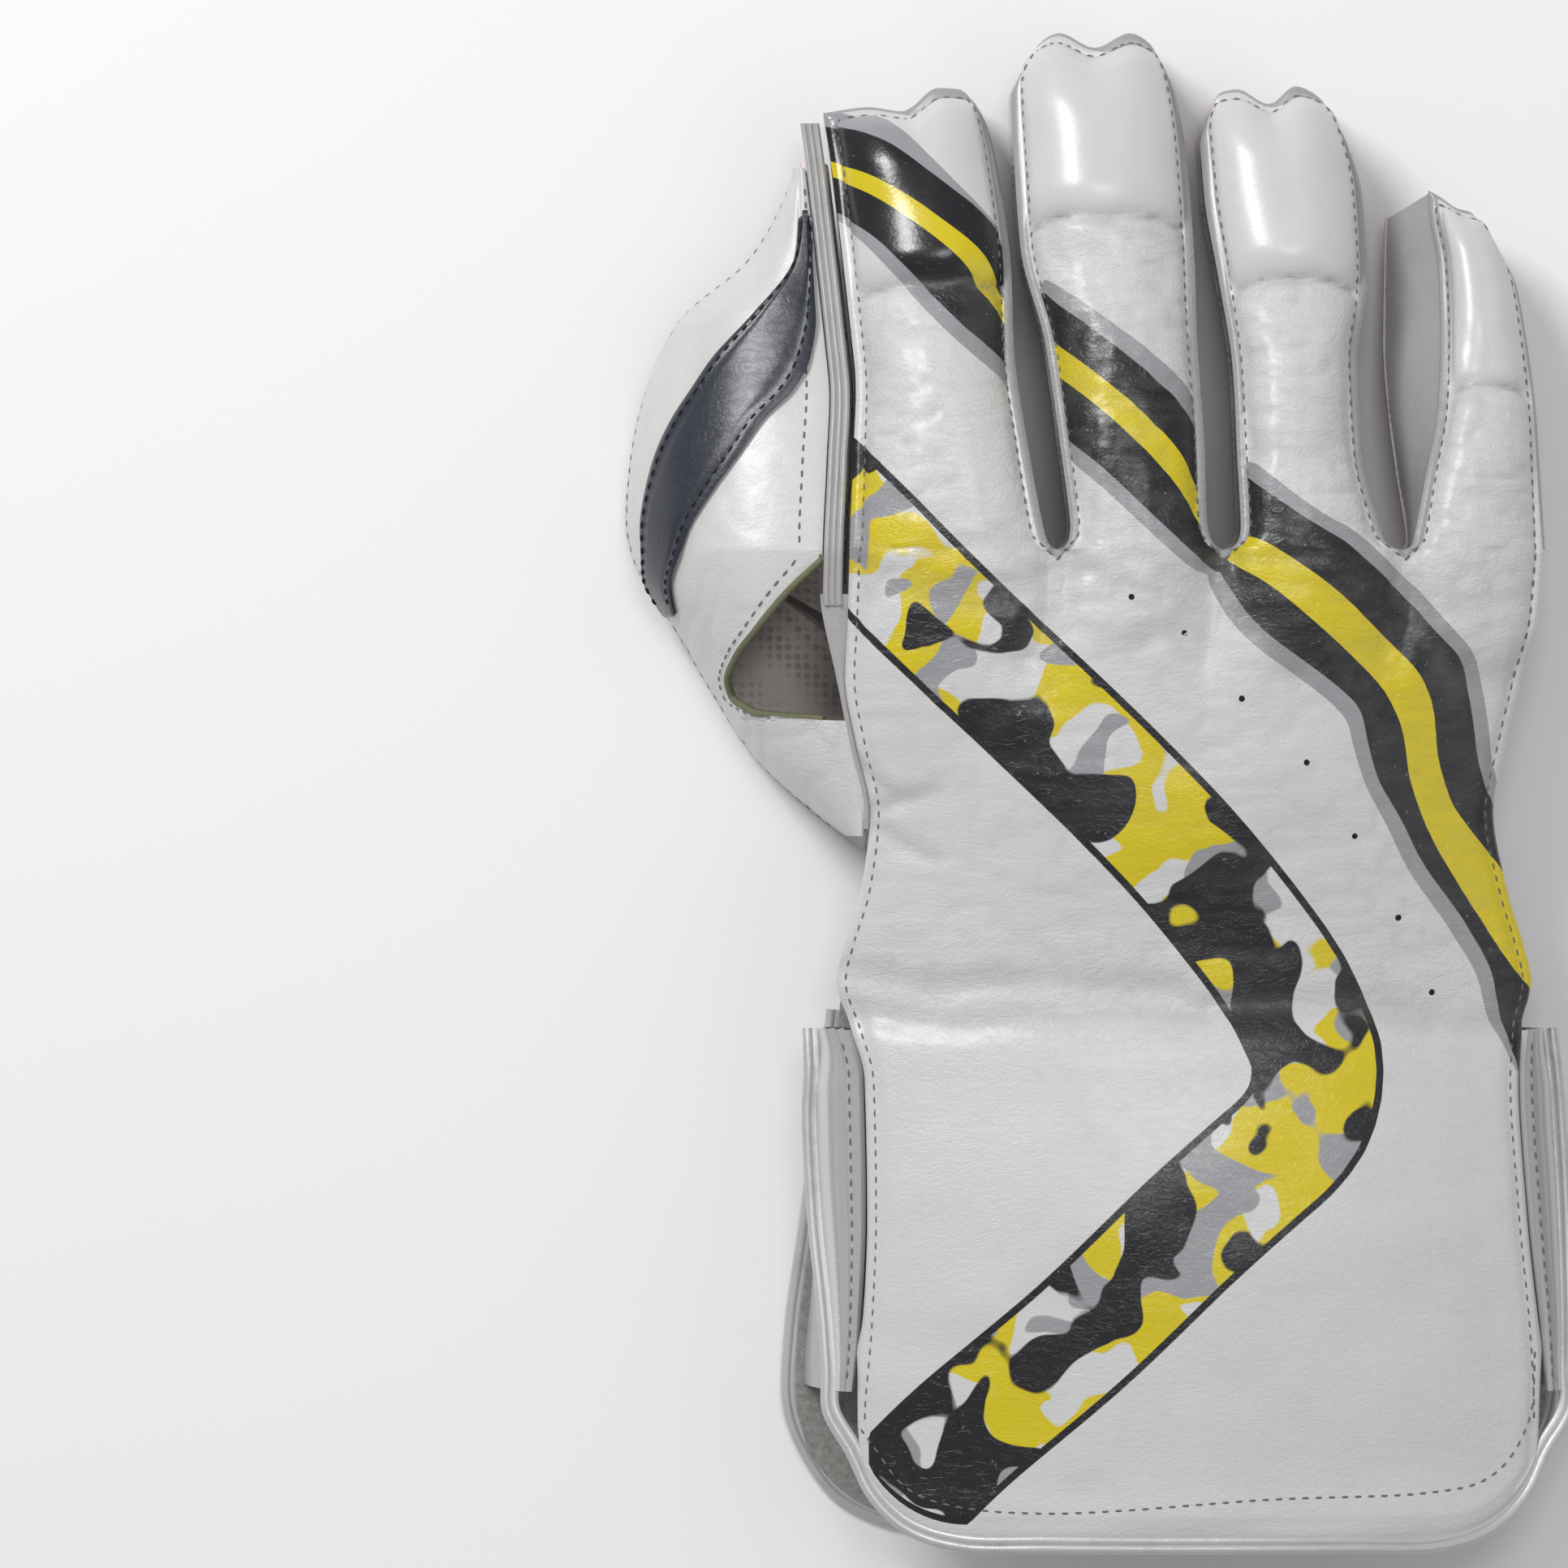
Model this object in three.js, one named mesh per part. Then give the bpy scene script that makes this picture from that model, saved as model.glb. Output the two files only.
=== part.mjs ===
// Wicketkeeping glove for the right hand, lying on its palm with the fingers along +Y and the thumb at -X
import * as THREE from 'three';

// Overall sizes, in millimetres
const CUFF_LENGTH = 113;
const HAND_LENGTH = 103;
const CUFF_WIDTH = 150;
const PALM_WIDTH = 150;
const BACK_HEIGHT = 52;
const THUMB_REACH = 50;
const HEM_CORNER = 24;
const CUFF_BAND_WIDTH = 9.5;
const CROTCH_LIFT = 18;
const PALM_BELLY = 7.3;
const SLIT_LENGTH_SHARE = 0.55;

// Layers and seams, in millimetres
const BACK_WALL = 2.2;
const GUSSET_WALL = 1.3;
const WEB_WALL = 1.4;
const RUBBER_WALL = 2.2;
const WEB_RUBBER_WALL = 1.8;
const CUFF_PALM_WALL = 2.2;
const CUFF_SIDE_WALL = 1.5;
const LINING_WALL = 1.6;
const INSERT_WALL = 0.9;
const SEAM_GAP = 0.35;
const FLANGE = 2.2;
const GUSSET_INSET = 0.6;
const SEAM_STRIP_WIDTH = 4.2;
const SEAM_RIB = 0.7;
const PIPING_RADIUS = 1.2;
const LINING_INSET = 2.6;
const INSERT_LIFT = 0.25;
const FLOOR_LIFT = 0.4;

// Room between curved pieces whose flat facets don't share corners
const CHORD_GAP = 0.5;

// Thumb and palm rubber, in millimetres: rise of the rows that fan out to the thumb tip, lowest line of
// the rubber under the web, and how far the rubber's lower outer corner is tucked in
const SLANT_RISE = 33;
const WEB_RUBBER_REST = 0.6;
const RUBBER_TUCK = 5;

// Cuff, in millimetres: lift of the palm panel's sides, height of its thumb-side shoulder, the ribbed
// band's width and fall at the hem corner, its fall higher up, its ribs and the side wall's inward bow
const CUFF_LIFT = 1.2;
const CUFF_PALM_SHOULDER = 14;
const BAND_END_WIDTH = 2.4;
const BAND_END_FALL = 2;
const BAND_FALL = 13;
const BAND_RIB = 0.8;
const SIDE_BOW = 1.5;

// Shares: shoulder of the cuff's palm panel, its lifted sides, the outer band's width beside the thumb-side
// one, the band's narrowing near the wrist, and the rubber's hollow on the thumb side
const SHOULDER_SHARE = 0.22;
const LIFTED_SHARE = 0.2;
const OUTER_BAND_SHARE = 0.7;
const BAND_NARROWING = 0.35;
const THUMB_SIDE_BOWL = 0.04;
const TIP_DROP_POWER = 3;
const ROLLED_DROP_SHARE = 0.6;

// Where one form passes into the next: first station, and how many stations the change takes
const WRIST_BLEND = { from: -1.2, over: 0.4 };
const CORNER_BLEND = { from: -2, over: 0.5 };
const KNUCKLE_BLEND = { from: -0.45, over: 0.45 };
const PALM_BLEND = { from: -0.4, over: 0.4 };
const TUCK_BLEND = { from: -1, over: 0.08 };
const THUMB_BOWL_BLEND = { from: -0.19, over: 0.19 };
const BAND_BLEND = { from: -1.85, over: 0.6 };
const NARROWING_BLEND = { from: -1.14, over: 0.12 };
const STRIP_BLEND = { from: 0.2, over: 0.15 };
const WEB_RUBBER_BLEND = { from: 0, over: 0.2 };

// Crotches between neighbouring fingers, as shares of the palm width from its thumb side
const CROTCHES = [{ across: 0.298 }, { across: 0.541 }, { across: 0.805 }];

// Each finger's edges at stations from crotch (0) to tip (1), as shares of its width beside its own axis;
// roll moves the palm edge on the thumb side, and tip rows give how far the end line drops below the tip
const FINGERS = [
  {
    name: 'index', length: 103, width: 37, lean: -10,
    sections: [
      { at: 0.05, left: -0.596, right: 0.545, roll: 0 },
      { at: 0.2, left: -0.536, right: 0.51, roll: 0 },
      { at: 0.4, left: -0.472, right: 0.482, roll: 0 },
      { at: 0.65, left: -0.475, right: 0.523, roll: 0 },
      { at: 0.85, left: -0.48, right: 0.507, roll: 0 },
      { at: 0.95, left: -0.488, right: 0.474, roll: 0 },
      { at: 1, left: -0.493, right: 0.42, roll: 0 },
    ],
    tip: [
      { across: 0, drop: 0.16 }, { across: 0.3, drop: 0.125 }, { across: 0.52, drop: 0.15 },
      { across: 0.75, drop: 0.01 }, { across: 0.9, drop: 0.02 }, { across: 1, drop: 0.1 },
    ],
  },
  {
    name: 'middle', length: 114.7, width: 38, lean: -9.5,
    sections: [
      { at: 0.05, left: -0.392, right: 0.397, roll: 0 },
      { at: 0.2, left: -0.409, right: 0.422, roll: 0 },
      { at: 0.4, left: -0.441, right: 0.438, roll: 0 },
      { at: 0.6, left: -0.533, right: 0.475, roll: 0 },
      { at: 0.8, left: -0.52, right: 0.488, roll: 0 },
      { at: 0.93, left: -0.503, right: 0.471, roll: 0 },
      { at: 1, left: -0.407, right: 0.42, roll: 0 },
    ],
    tip: [
      { across: 0, drop: 0.2 }, { across: 0.12, drop: 0.05 }, { across: 0.25, drop: 0 },
      { across: 0.5, drop: 0.085 }, { across: 0.75, drop: 0 }, { across: 0.88, drop: 0.05 },
      { across: 1, drop: 0.2 },
    ],
  },
  {
    name: 'ring', length: 103, width: 36, lean: -7.5,
    sections: [
      { at: 0.05, left: -0.436, right: 0.42, roll: 0 },
      { at: 0.2, left: -0.422, right: 0.342, roll: 0 },
      { at: 0.4, left: -0.403, right: 0.361, roll: 0 },
      { at: 0.6, left: -0.442, right: 0.475, roll: 0 },
      { at: 0.8, left: -0.483, right: 0.495, roll: 0 },
      { at: 0.93, left: -0.481, right: 0.42, roll: 0 },
      { at: 1, left: -0.431, right: 0.32, roll: 0 },
    ],
    tip: [
      { across: 0, drop: 0.2 }, { across: 0.12, drop: 0.04 }, { across: 0.25, drop: 0.02 },
      { across: 0.5, drop: 0.11 }, { across: 0.7, drop: 0 }, { across: 0.88, drop: 0.08 },
      { across: 1, drop: 0.28 },
    ],
  },
  {
    name: 'little', length: 80, width: 30, lean: 2,
    sections: [
      { at: 0.05, left: -0.443, right: 0.51, roll: 0.03 },
      { at: 0.2, left: -0.373, right: 0.48, roll: 0.17 },
      { at: 0.4, left: -0.28, right: 0.443, roll: 0.34 },
      { at: 0.6, left: -0.26, right: 0.38, roll: 0.4 },
      { at: 0.8, left: -0.28, right: 0.293, roll: 0.38 },
      { at: 0.93, left: -0.343, right: 0.157, roll: 0.32 },
      { at: 1, left: -0.36, right: 0.06, roll: 0.3 },
    ],
    tip: [
      { across: 0, drop: 0 }, { across: 0.25, drop: 0.06 }, { across: 0.5, drop: 0.13 },
      { across: 0.75, drop: 0.16 }, { across: 1, drop: 0.3 },
    ],
  },
];

// Stations along the hand and cuff run from the hem (-2) by the wrist (-1) to the finger crotches (0)
const BACK_SIDES = [
  { at: -2, left: -0.99, right: 1.02 },
  { at: -1.78, left: -0.993, right: 1.027 },
  { at: -1.6, left: -0.973, right: 1.013 },
  { at: -1.38, left: -0.96, right: 0.981 },
  { at: -1.115, left: -0.967, right: 0.957 },
  { at: -1.01, left: -1.01, right: 0.97 },
  { at: -0.92, left: -1.05, right: 0.999 },
  { at: -0.835, left: -1.024, right: 0.973 },
  { at: -0.728, left: -0.979, right: 0.928 },
  { at: -0.553, left: -0.952, right: 0.883 },
  { at: -0.417, left: -0.992, right: 0.917 },
  { at: -0.272, left: -1.024, right: 0.963 },
  { at: -0.155, left: -1.016, right: 1.008 },
  { at: 0, left: -1.01, right: 1.027 },
];

// Height of the back's side seams and its arch above them, as shares of the back height
const BACK_LEVELS = [
  { at: -2, edge: 0.66, arch: 0.28 },
  { at: -1.45, edge: 0.7, arch: 0.29 },
  { at: -1.1, edge: 0.66, arch: 0.26 },
  { at: -0.93, edge: 0.59, arch: 0.26 },
  { at: -0.55, edge: 0.68, arch: 0.27 },
  { at: -0.2, edge: 0.76, arch: 0.2 },
  { at: 0, edge: 0.79, arch: 0.14 },
];
const BACK_TILT = 0.04;
const ARCH_POWER = 2.4;

// Along a finger: drop of the back seam as a share of the back height, arch kept, padding as a share of
// the finger's width, how far the palm seam has come down from the crotch, and the share of the belly
const FINGER_LEVELS = [
  { at: 0, drop: 0, arch: 1, pad: 0.1, lowering: 0, belly: 0.9 },
  { at: 0.2, drop: 0.07, arch: 0.8, pad: 0.17, lowering: 0.1, belly: 1 },
  { at: 0.42, drop: 0.17, arch: 0.6, pad: 0.2, lowering: 0.35, belly: 1 },
  { at: 0.54, drop: 0.23, arch: 0.5, pad: 0.165, lowering: 0.5, belly: 1 },
  { at: 0.66, drop: 0.29, arch: 0.4, pad: 0.22, lowering: 0.75, belly: 1 },
  { at: 0.85, drop: 0.36, arch: 0.2, pad: 0.21, lowering: 1, belly: 1 },
  { at: 0.93, drop: 0.385, arch: 0.1, pad: 0.14, lowering: 1, belly: 0.8 },
  { at: 0.975, drop: 0.395, arch: 0.05, pad: 0, lowering: 1, belly: 0 },
  { at: 1, drop: 0.4, arch: 0.05, pad: 0, lowering: 1, belly: 0 },
];

// The palm's outer edges and lowest line, as shares of the crotch lift
const PALM_LEVELS = [
  { at: -1.09, edge: 0.14, lowest: 0 },
  { at: -0.835, edge: 0.36, lowest: 0 },
  { at: -0.544, edge: 0.44, lowest: 0 },
  { at: -0.252, edge: 0.66, lowest: 0.12 },
  { at: 0, edge: 1, lowest: 0.62 },
];

// The rubber's thumb-side edge below the thumb, as shares of half the palm width
const RUBBER_NOTCH = [
  { at: -1.09, left: -0.48 },
  { at: -0.92, left: -0.49 },
  { at: -0.885, left: -0.6 },
  { at: -0.845, left: -0.8 },
  { at: -0.77, left: -0.91 },
  { at: -0.67, left: -0.955 },
  { at: -0.6, left: -0.955 },
];

// Outer edge of web and thumb from the thumb's root (0) to the index tip (1), as shares of the reach
const WEB_OUTLINE = [
  { at: 0, out: -0.06 },
  { at: 0.05, out: 0.16 },
  { at: 0.13, out: 0.44 },
  { at: 0.21, out: 0.61 },
  { at: 0.3, out: 0.78 },
  { at: 0.4, out: 0.97 },
  { at: 0.45, out: 1 },
  { at: 0.51, out: 0.99 },
  { at: 0.58, out: 0.955 },
  { at: 0.66, out: 0.87 },
  { at: 0.72, out: 0.765 },
  { at: 0.8, out: 0.46 },
  { at: 0.86, out: 0.335 },
  { at: 0.92, out: 0.265 },
  { at: 1, out: 0.25 },
];

// The open hole at the thumb's root: its far edge, as shares of the reach
const THUMB_HOLE = [
  { at: 0.175, out: 0 },
  { at: 0.182, out: 0.38 },
  { at: 0.191, out: 0.47 },
  { at: 0.207, out: 0.54 },
  { at: 0.23, out: 0.558 },
  { at: 0.26, out: 0.52 },
  { at: 0.3, out: 0.42 },
  { at: 0.35, out: 0.28 },
  { at: 0.4, out: 0.1 },
];

// How far the web's outer edge has risen from the floor to the index seam
const WEB_EDGE_RISE = [
  { at: 0, rise: 0 },
  { at: 0.5, rise: 0 },
  { at: 0.66, rise: 0.12 },
  { at: 0.8, rise: 0.38 },
  { at: 0.9, rise: 0.65 },
  { at: 1, rise: 0.95 },
];

// The dark wave's two edges across the web, from its seam (0) to its outer edge (1)
const INSERT_EDGES = [
  { at: 0.32, inner: 0.92, outer: 0.985 },
  { at: 0.36, inner: 0.84, outer: 0.975 },
  { at: 0.4, inner: 0.73, outer: 0.93 },
  { at: 0.44, inner: 0.65, outer: 0.905 },
  { at: 0.49, inner: 0.54, outer: 0.885 },
  { at: 0.535, inner: 0.43, outer: 0.85 },
  { at: 0.58, inner: 0.33, outer: 0.8 },
  { at: 0.62, inner: 0.19, outer: 0.735 },
  { at: 0.665, inner: 0.09, outer: 0.65 },
  { at: 0.725, inner: 0.04, outer: 0.47 },
  { at: 0.8, inner: 0.04, outer: 0.29 },
  { at: 0.865, inner: 0.08, outer: 0.2 },
];

// The cuff's palm panel: its side edges as shares of half the cuff width
const CUFF_PALM_SIDES = [
  { at: -2, left: -1.13, right: 1.02 },
  { at: -1.7, left: -1.165, right: 1.065 },
  { at: -1.38, left: -1.11, right: 1.055 },
  { at: -1.03, left: -1.04, right: 1.0 },
  { at: -0.95, left: -1.03, right: 0.99 },
];

// Rows and columns of the sheets
const PAD_COLUMNS = [0, 0.25, 0.5, 0.75, 1];
const FINGER_ROWS = [0.05, 0.13, 0.23, 0.34, 0.45, 0.54, 0.63, 0.74, 0.85, 0.93, 0.975, 1];
const BACK_ROWS = [
  -2, -1.93, -1.84, -1.72, -1.55, -1.36, -1.18, -1.06, -0.99, -0.92, -0.84, -0.73, -0.6, -0.45, -0.3, -0.17,
  -0.07, 0,
];
const RUBBER_ROWS = [
  -1.09, -1, -0.92, -0.885, -0.845, -0.77, -0.67, -0.58, -0.48, -0.38, -0.28, -0.19, -0.14, -0.06, 0,
];
const THUMB_ROOT_ROW = 7;
const SLIT_ROW = 11;
const WEB_ROWS = [
  0.02, 0.05, 0.09, 0.13, 0.168, 0.175, 0.182, 0.191, 0.207, 0.23, 0.26, 0.3, 0.35, 0.4, 0.405, 0.45, 0.51,
  0.58, 0.64, 0.7, 0.76, 0.82, 0.88, 0.925,
];
const CUFF_COLUMNS = [0, 0.025, 0.06, 0.11, 0.2, 0.3, 0.5, 0.7, 0.8, 0.89, 0.94, 0.975, 1];

// Highest share of the web that its rubber reaches, and the step at which the web's slope is measured
const WEB_RUBBER_END = 0.985;
const NORMAL_STEP = 0.004;

// Lines that several pieces share
const BODY_LENGTH = CUFF_LENGTH + HAND_LENGTH;
const THUMB_ROOT_STATION = -0.64;
const THUMB_ROOT = CUFF_LENGTH + (1 + THUMB_ROOT_STATION) * HAND_LENGTH;
const INDEX = FINGERS[0];
const LITTLE = FINGERS[3];
const INDEX_CORNER = BODY_LENGTH + INDEX.length - INDEX.tip[0].drop * INDEX.width;
const WEB_LENGTH = INDEX_CORNER - THUMB_ROOT;
const HAND_LINE = -PALM_WIDTH / 2;

function mix(a, b, share) {
  return a + (b - a) * share;
}

// Passes smoothly from 0 to 1 over a blend's stations
function ease(station, blend) {
  const held = Math.min(1, Math.max(0, (station - blend.from) / blend.over));
  return held * held * (3 - 2 * held);
}

// A smooth curve through one column of a table, without overshoot between its rows
function curveThrough(rows, input, output) {
  const slope = (before, after) => (after[output] - before[output]) / (after[input] - before[input]);
  const slopes = rows.slice(1).map((row, i) => slope(rows[i], row));
  const tangents = rows.map((_, i) => {
    const before = slopes[Math.max(0, i - 1)];
    const after = slopes[Math.min(slopes.length - 1, i)];
    return before * after <= 0 ? 0 : (2 * before * after) / (before + after);
  });
  return (value) => {
    const next = rows.findIndex((row, i) => i > 0 && value <= row[input]);
    const high = next < 0 ? rows.length - 1 : next;
    const low = high - 1;
    const span = rows[high][input] - rows[low][input];
    const t = Math.min(1, Math.max(0, (value - rows[low][input]) / span));
    const rise = rows[high][output] - rows[low][output];
    const start = tangents[low] * span;
    const end = tangents[high] * span;
    const bend = 3 * rise - 2 * start - end + t * (start + end - 2 * rise);
    return rows[low][output] + t * (start + t * bend);
  };
}

const backLeft = curveThrough(BACK_SIDES, 'at', 'left');
const backRight = curveThrough(BACK_SIDES, 'at', 'right');
const backEdge = curveThrough(BACK_LEVELS, 'at', 'edge');
const backArch = curveThrough(BACK_LEVELS, 'at', 'arch');
const fingerDrop = curveThrough(FINGER_LEVELS, 'at', 'drop');
const fingerArch = curveThrough(FINGER_LEVELS, 'at', 'arch');
const fingerPad = curveThrough(FINGER_LEVELS, 'at', 'pad');
const fingerLowering = curveThrough(FINGER_LEVELS, 'at', 'lowering');
const fingerBelly = curveThrough(FINGER_LEVELS, 'at', 'belly');
const palmEdge = curveThrough(PALM_LEVELS, 'at', 'edge');
const palmLowest = curveThrough(PALM_LEVELS, 'at', 'lowest');
const rubberNotch = curveThrough(RUBBER_NOTCH, 'at', 'left');
const webOut = curveThrough(WEB_OUTLINE, 'at', 'out');
const holeOut = curveThrough(THUMB_HOLE, 'at', 'out');
const webEdgeRise = curveThrough(WEB_EDGE_RISE, 'at', 'rise');
const insertInner = curveThrough(INSERT_EDGES, 'at', 'inner');
const insertOuter = curveThrough(INSERT_EDGES, 'at', 'outer');
const cuffPalmLeft = curveThrough(CUFF_PALM_SIDES, 'at', 'left');
const cuffPalmRight = curveThrough(CUFF_PALM_SIDES, 'at', 'right');

// Distance from the hem of a station on the cuff or hand, and back
function alongBody(station) {
  return station < -1 ? (station + 2) * CUFF_LENGTH : CUFF_LENGTH + (station + 1) * HAND_LENGTH;
}

function stationAt(along) {
  return along < CUFF_LENGTH ? along / CUFF_LENGTH - 2 : (along - CUFF_LENGTH) / HAND_LENGTH - 1;
}

function halfWidthAt(station) {
  return mix(CUFF_WIDTH, PALM_WIDTH, ease(station, WRIST_BLEND)) / 2;
}

function bodyEdge(side, station) {
  return halfWidthAt(station) * (side < 0 ? backLeft(station) : backRight(station));
}

// The finger edges at the crotch line follow the palm width
const ROOT_LEFT = bodyEdge(-1, 0);
const ROOT_RIGHT = bodyEdge(1, 0);
const rootLines = [ROOT_LEFT, ...CROTCHES.map((crotch) => (crotch.across - 0.5) * PALM_WIDTH), ROOT_RIGHT];
FINGERS.forEach((finger, i) => {
  finger.rootLeft = rootLines[i];
  finger.rootRight = rootLines[i + 1];
  finger.axis = (finger.rootLeft + finger.rootRight) / 2;
  const root = {
    at: 0,
    left: (finger.rootLeft - finger.axis) / finger.width,
    right: (finger.rootRight - finger.axis) / finger.width,
    roll: 0,
  };
  const sections = [root, ...finger.sections];
  finger.leftAt = curveThrough(sections, 'at', 'left');
  finger.rightAt = curveThrough(sections, 'at', 'right');
  finger.rollAt = curveThrough(sections, 'at', 'roll');
  finger.dropAt = curveThrough(finger.tip, 'across', 'drop');
});

// Shares across a finger: a flat seam flange, the padded columns and the other flange
function fingerColumns(width) {
  const flange = FLANGE / width;
  return [0, ...PAD_COLUMNS.map((pad) => mix(flange, 1 - flange, pad)), 1];
}

const LAST_COLUMN = PAD_COLUMNS.length + 1;
const MIDDLE_COLUMN = LAST_COLUMN / 2;

// Rounded padding across a finger, zero on both flanges
function padShape(column) {
  const held = Math.min(PAD_COLUMNS.length - 1, Math.max(0, column - 1));
  const pad = PAD_COLUMNS[held];
  return 1 - Math.pow(Math.abs(2 * pad - 1), ARCH_POWER);
}

function archShape(across) {
  return 1 - Math.pow(Math.abs(2 * across - 1), ARCH_POWER);
}

// Share from the hand's thumb side to its outer side of a finger column at the crotch line
function acrossBody(finger, column) {
  const share = fingerColumns(finger.rootRight - finger.rootLeft)[column];
  return (mix(finger.rootLeft, finger.rootRight, share) - ROOT_LEFT) / (ROOT_RIGHT - ROOT_LEFT);
}

// The hem line rises round the cuff's two corners
function hemRise(across, width) {
  const edge = Math.min(across, 1 - across) * width;
  if (edge >= HEM_CORNER) {
    return 0;
  }
  const inward = 1 - edge / HEM_CORNER;
  return HEM_CORNER * (1 - Math.sqrt(1 - inward * inward));
}

function seamLevel(across, station) {
  const fingerAt = Math.max(0, station);
  const edge = backEdge(station) - fingerDrop(fingerAt);
  const arch = backArch(station) * archShape(across) * fingerArch(fingerAt);
  const tilt = BACK_TILT * (1 - 2 * across) * fingerArch(fingerAt);
  return BACK_HEIGHT * (edge + arch + tilt);
}

function fingerPlace(finger, column, station) {
  const axis = finger.axis + finger.lean * station;
  const share = fingerColumns(finger.width)[column];
  const left = axis + finger.width * finger.leftAt(station);
  const right = axis + finger.width * finger.rightAt(station);
  const drop = finger.dropAt(share) * finger.width * Math.pow(station, TIP_DROP_POWER);
  return { left, right, share, y: BODY_LENGTH + station * finger.length - drop };
}

// Outer face of the back, on the cuff and hand below the crotches or on one finger above them
function backPoint(finger, column, station) {
  const across = acrossBody(finger, column);
  if (station > 0) {
    const place = fingerPlace(finger, column, station);
    const pad = finger.width * fingerPad(station) * padShape(column);
    return [mix(place.left, place.right, place.share), place.y, seamLevel(across, station) + pad];
  }
  const left = bodyEdge(-1, station);
  const right = bodyEdge(1, station);
  const corner = 1 - ease(station, CORNER_BLEND);
  const y = alongBody(station) + hemRise(across, right - left) * corner;
  const pad = finger.width * fingerPad(0) * padShape(column) * ease(station, KNUCKLE_BLEND);
  return [mix(left, right, across), y, seamLevel(across, station) + pad];
}

// Outer face of the palm rubber, which looks down
function palmPoint(finger, column, station) {
  if (station > 0) {
    const place = fingerPlace(finger, column, station);
    const roll = finger.width * finger.rollAt(station);
    const seam = mix(CROTCH_LIFT, PALM_BELLY, fingerLowering(station));
    const y = place.y - ROLLED_DROP_SHARE * roll * (1 - place.share) * Math.pow(station, TIP_DROP_POWER);
    const z = seam - PALM_BELLY * fingerBelly(station) * padShape(column);
    return [mix(place.left - roll, place.right, place.share), y, z];
  }
  const across = acrossBody(finger, column);
  const notched = station < THUMB_ROOT_STATION;
  const left = notched ? (PALM_WIDTH / 2) * rubberNotch(station) : bodyEdge(-1, station);
  const right = bodyEdge(1, station) - RUBBER_TUCK * (1 - ease(station, TUCK_BLEND));
  const thumbSide = across < 0.5 ? mix(THUMB_SIDE_BOWL, 1, ease(station, THUMB_BOWL_BLEND)) : 1;
  const bowl = Math.pow(Math.abs(2 * across - 1), ARCH_POWER) * thumbSide;
  const z = CROTCH_LIFT * mix(palmLowest(station), palmEdge(station), bowl);
  const fingered = CROTCH_LIFT - PALM_BELLY * fingerBelly(0) * padShape(column);
  return [mix(left, right, across), alongBody(station), mix(z, fingered, ease(station, PALM_BLEND) ** 2)];
}

// A sheet of four-sided cells between named corners
class Sheet {
  constructor() {
    this.points = [];
    this.cells = [];
    this.places = new Map();
  }

  corner(key, point) {
    if (!this.places.has(key)) {
      this.places.set(key, this.points.length);
      this.points.push(point);
    }
    return this.places.get(key);
  }

  cell(a, b, c, d) {
    this.cells.push([a, b, c, d]);
  }
}

// Adds the cell above and right of a row and column; its outer face looks along (next column) x (next row),
// or the other way when turned
function addCell(sheet, at, row, column, turned) {
  const corners = [at(row, column), at(row, column + 1), at(row + 1, column + 1), at(row + 1, column)];
  sheet.cell(...(turned ? corners.reverse() : corners));
}

function gridSheet(rowCount, columnCount, place, turned) {
  const sheet = new Sheet();
  const at = (row, column) => sheet.corner(`${row},${column}`, place(row, column));
  for (let row = 0; row + 1 < rowCount; row += 1) {
    for (let column = 0; column + 1 < columnCount; column += 1) {
      addCell(sheet, at, row, column, turned);
    }
  }
  return sheet;
}

function vertexNormals(sheet) {
  const normals = sheet.points.map(() => new THREE.Vector3());
  sheet.cells.forEach((cell) => {
    const [a, b, c, d] = cell.map((corner) => new THREE.Vector3(...sheet.points[corner]));
    const normal = c.clone().sub(a).cross(d.clone().sub(b));
    cell.forEach((corner) => normals[corner].add(normal));
  });
  return normals.map((normal) => normal.normalize());
}

// A closed wall: the outer face, the inner face behind it and a rim along every open edge
function thicken(sheet, wall) {
  const count = sheet.points.length;
  const normals = vertexNormals(sheet);
  const behind = (point, i) => new THREE.Vector3(...point).addScaledVector(normals[i], -wall);
  const inner = sheet.points.map(behind);
  const positions = [...sheet.points.flat(), ...inner.flatMap((point) => point.toArray())];
  const triangles = [];
  const edges = new Set();
  sheet.cells.forEach((cell) => {
    const [a, b, c, d] = cell;
    triangles.push(a, b, c, a, c, d);
    triangles.push(count + a, count + c, count + b, count + a, count + d, count + c);
    cell.forEach((corner, i) => edges.add(`${corner},${cell[(i + 1) % cell.length]}`));
  });
  edges.forEach((edge) => {
    const [from, to] = edge.split(',').map(Number);
    if (!edges.has(`${to},${from}`)) {
      triangles.push(to, from, count + from, to, count + from, count + to);
    }
  });
  const geometry = new THREE.BufferGeometry();
  geometry.setAttribute('position', new THREE.Float32BufferAttribute(positions, 3));
  geometry.setIndex(triangles);
  geometry.computeVertexNormals();
  return geometry;
}

// Key of a corner of the hand: neighbouring fingers share their crotch line below the crotches
function handKey(fingerIndex, column, station) {
  const shared = station <= 0 && column === LAST_COLUMN && fingerIndex < FINGERS.length - 1;
  return shared ? `${fingerIndex + 1},0,${station}` : `${fingerIndex},${column},${station}`;
}

// Sheet of cuff or palm and four fingers; cells for which isOpen says yes are left out
function handSheet(rows, place, turned, isOpen) {
  const sheet = new Sheet();
  const stations = [...rows, ...FINGER_ROWS];
  FINGERS.forEach((finger, index) => {
    const at = (row, column) =>
      sheet.corner(handKey(index, column, stations[row]), place(finger, column, stations[row]));
    for (let row = 0; row + 1 < stations.length; row += 1) {
      for (let column = 0; column < LAST_COLUMN; column += 1) {
        if (!isOpen(index, column, row)) {
          addCell(sheet, at, row, column, turned);
        }
      }
    }
  });
  return sheet;
}

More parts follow.
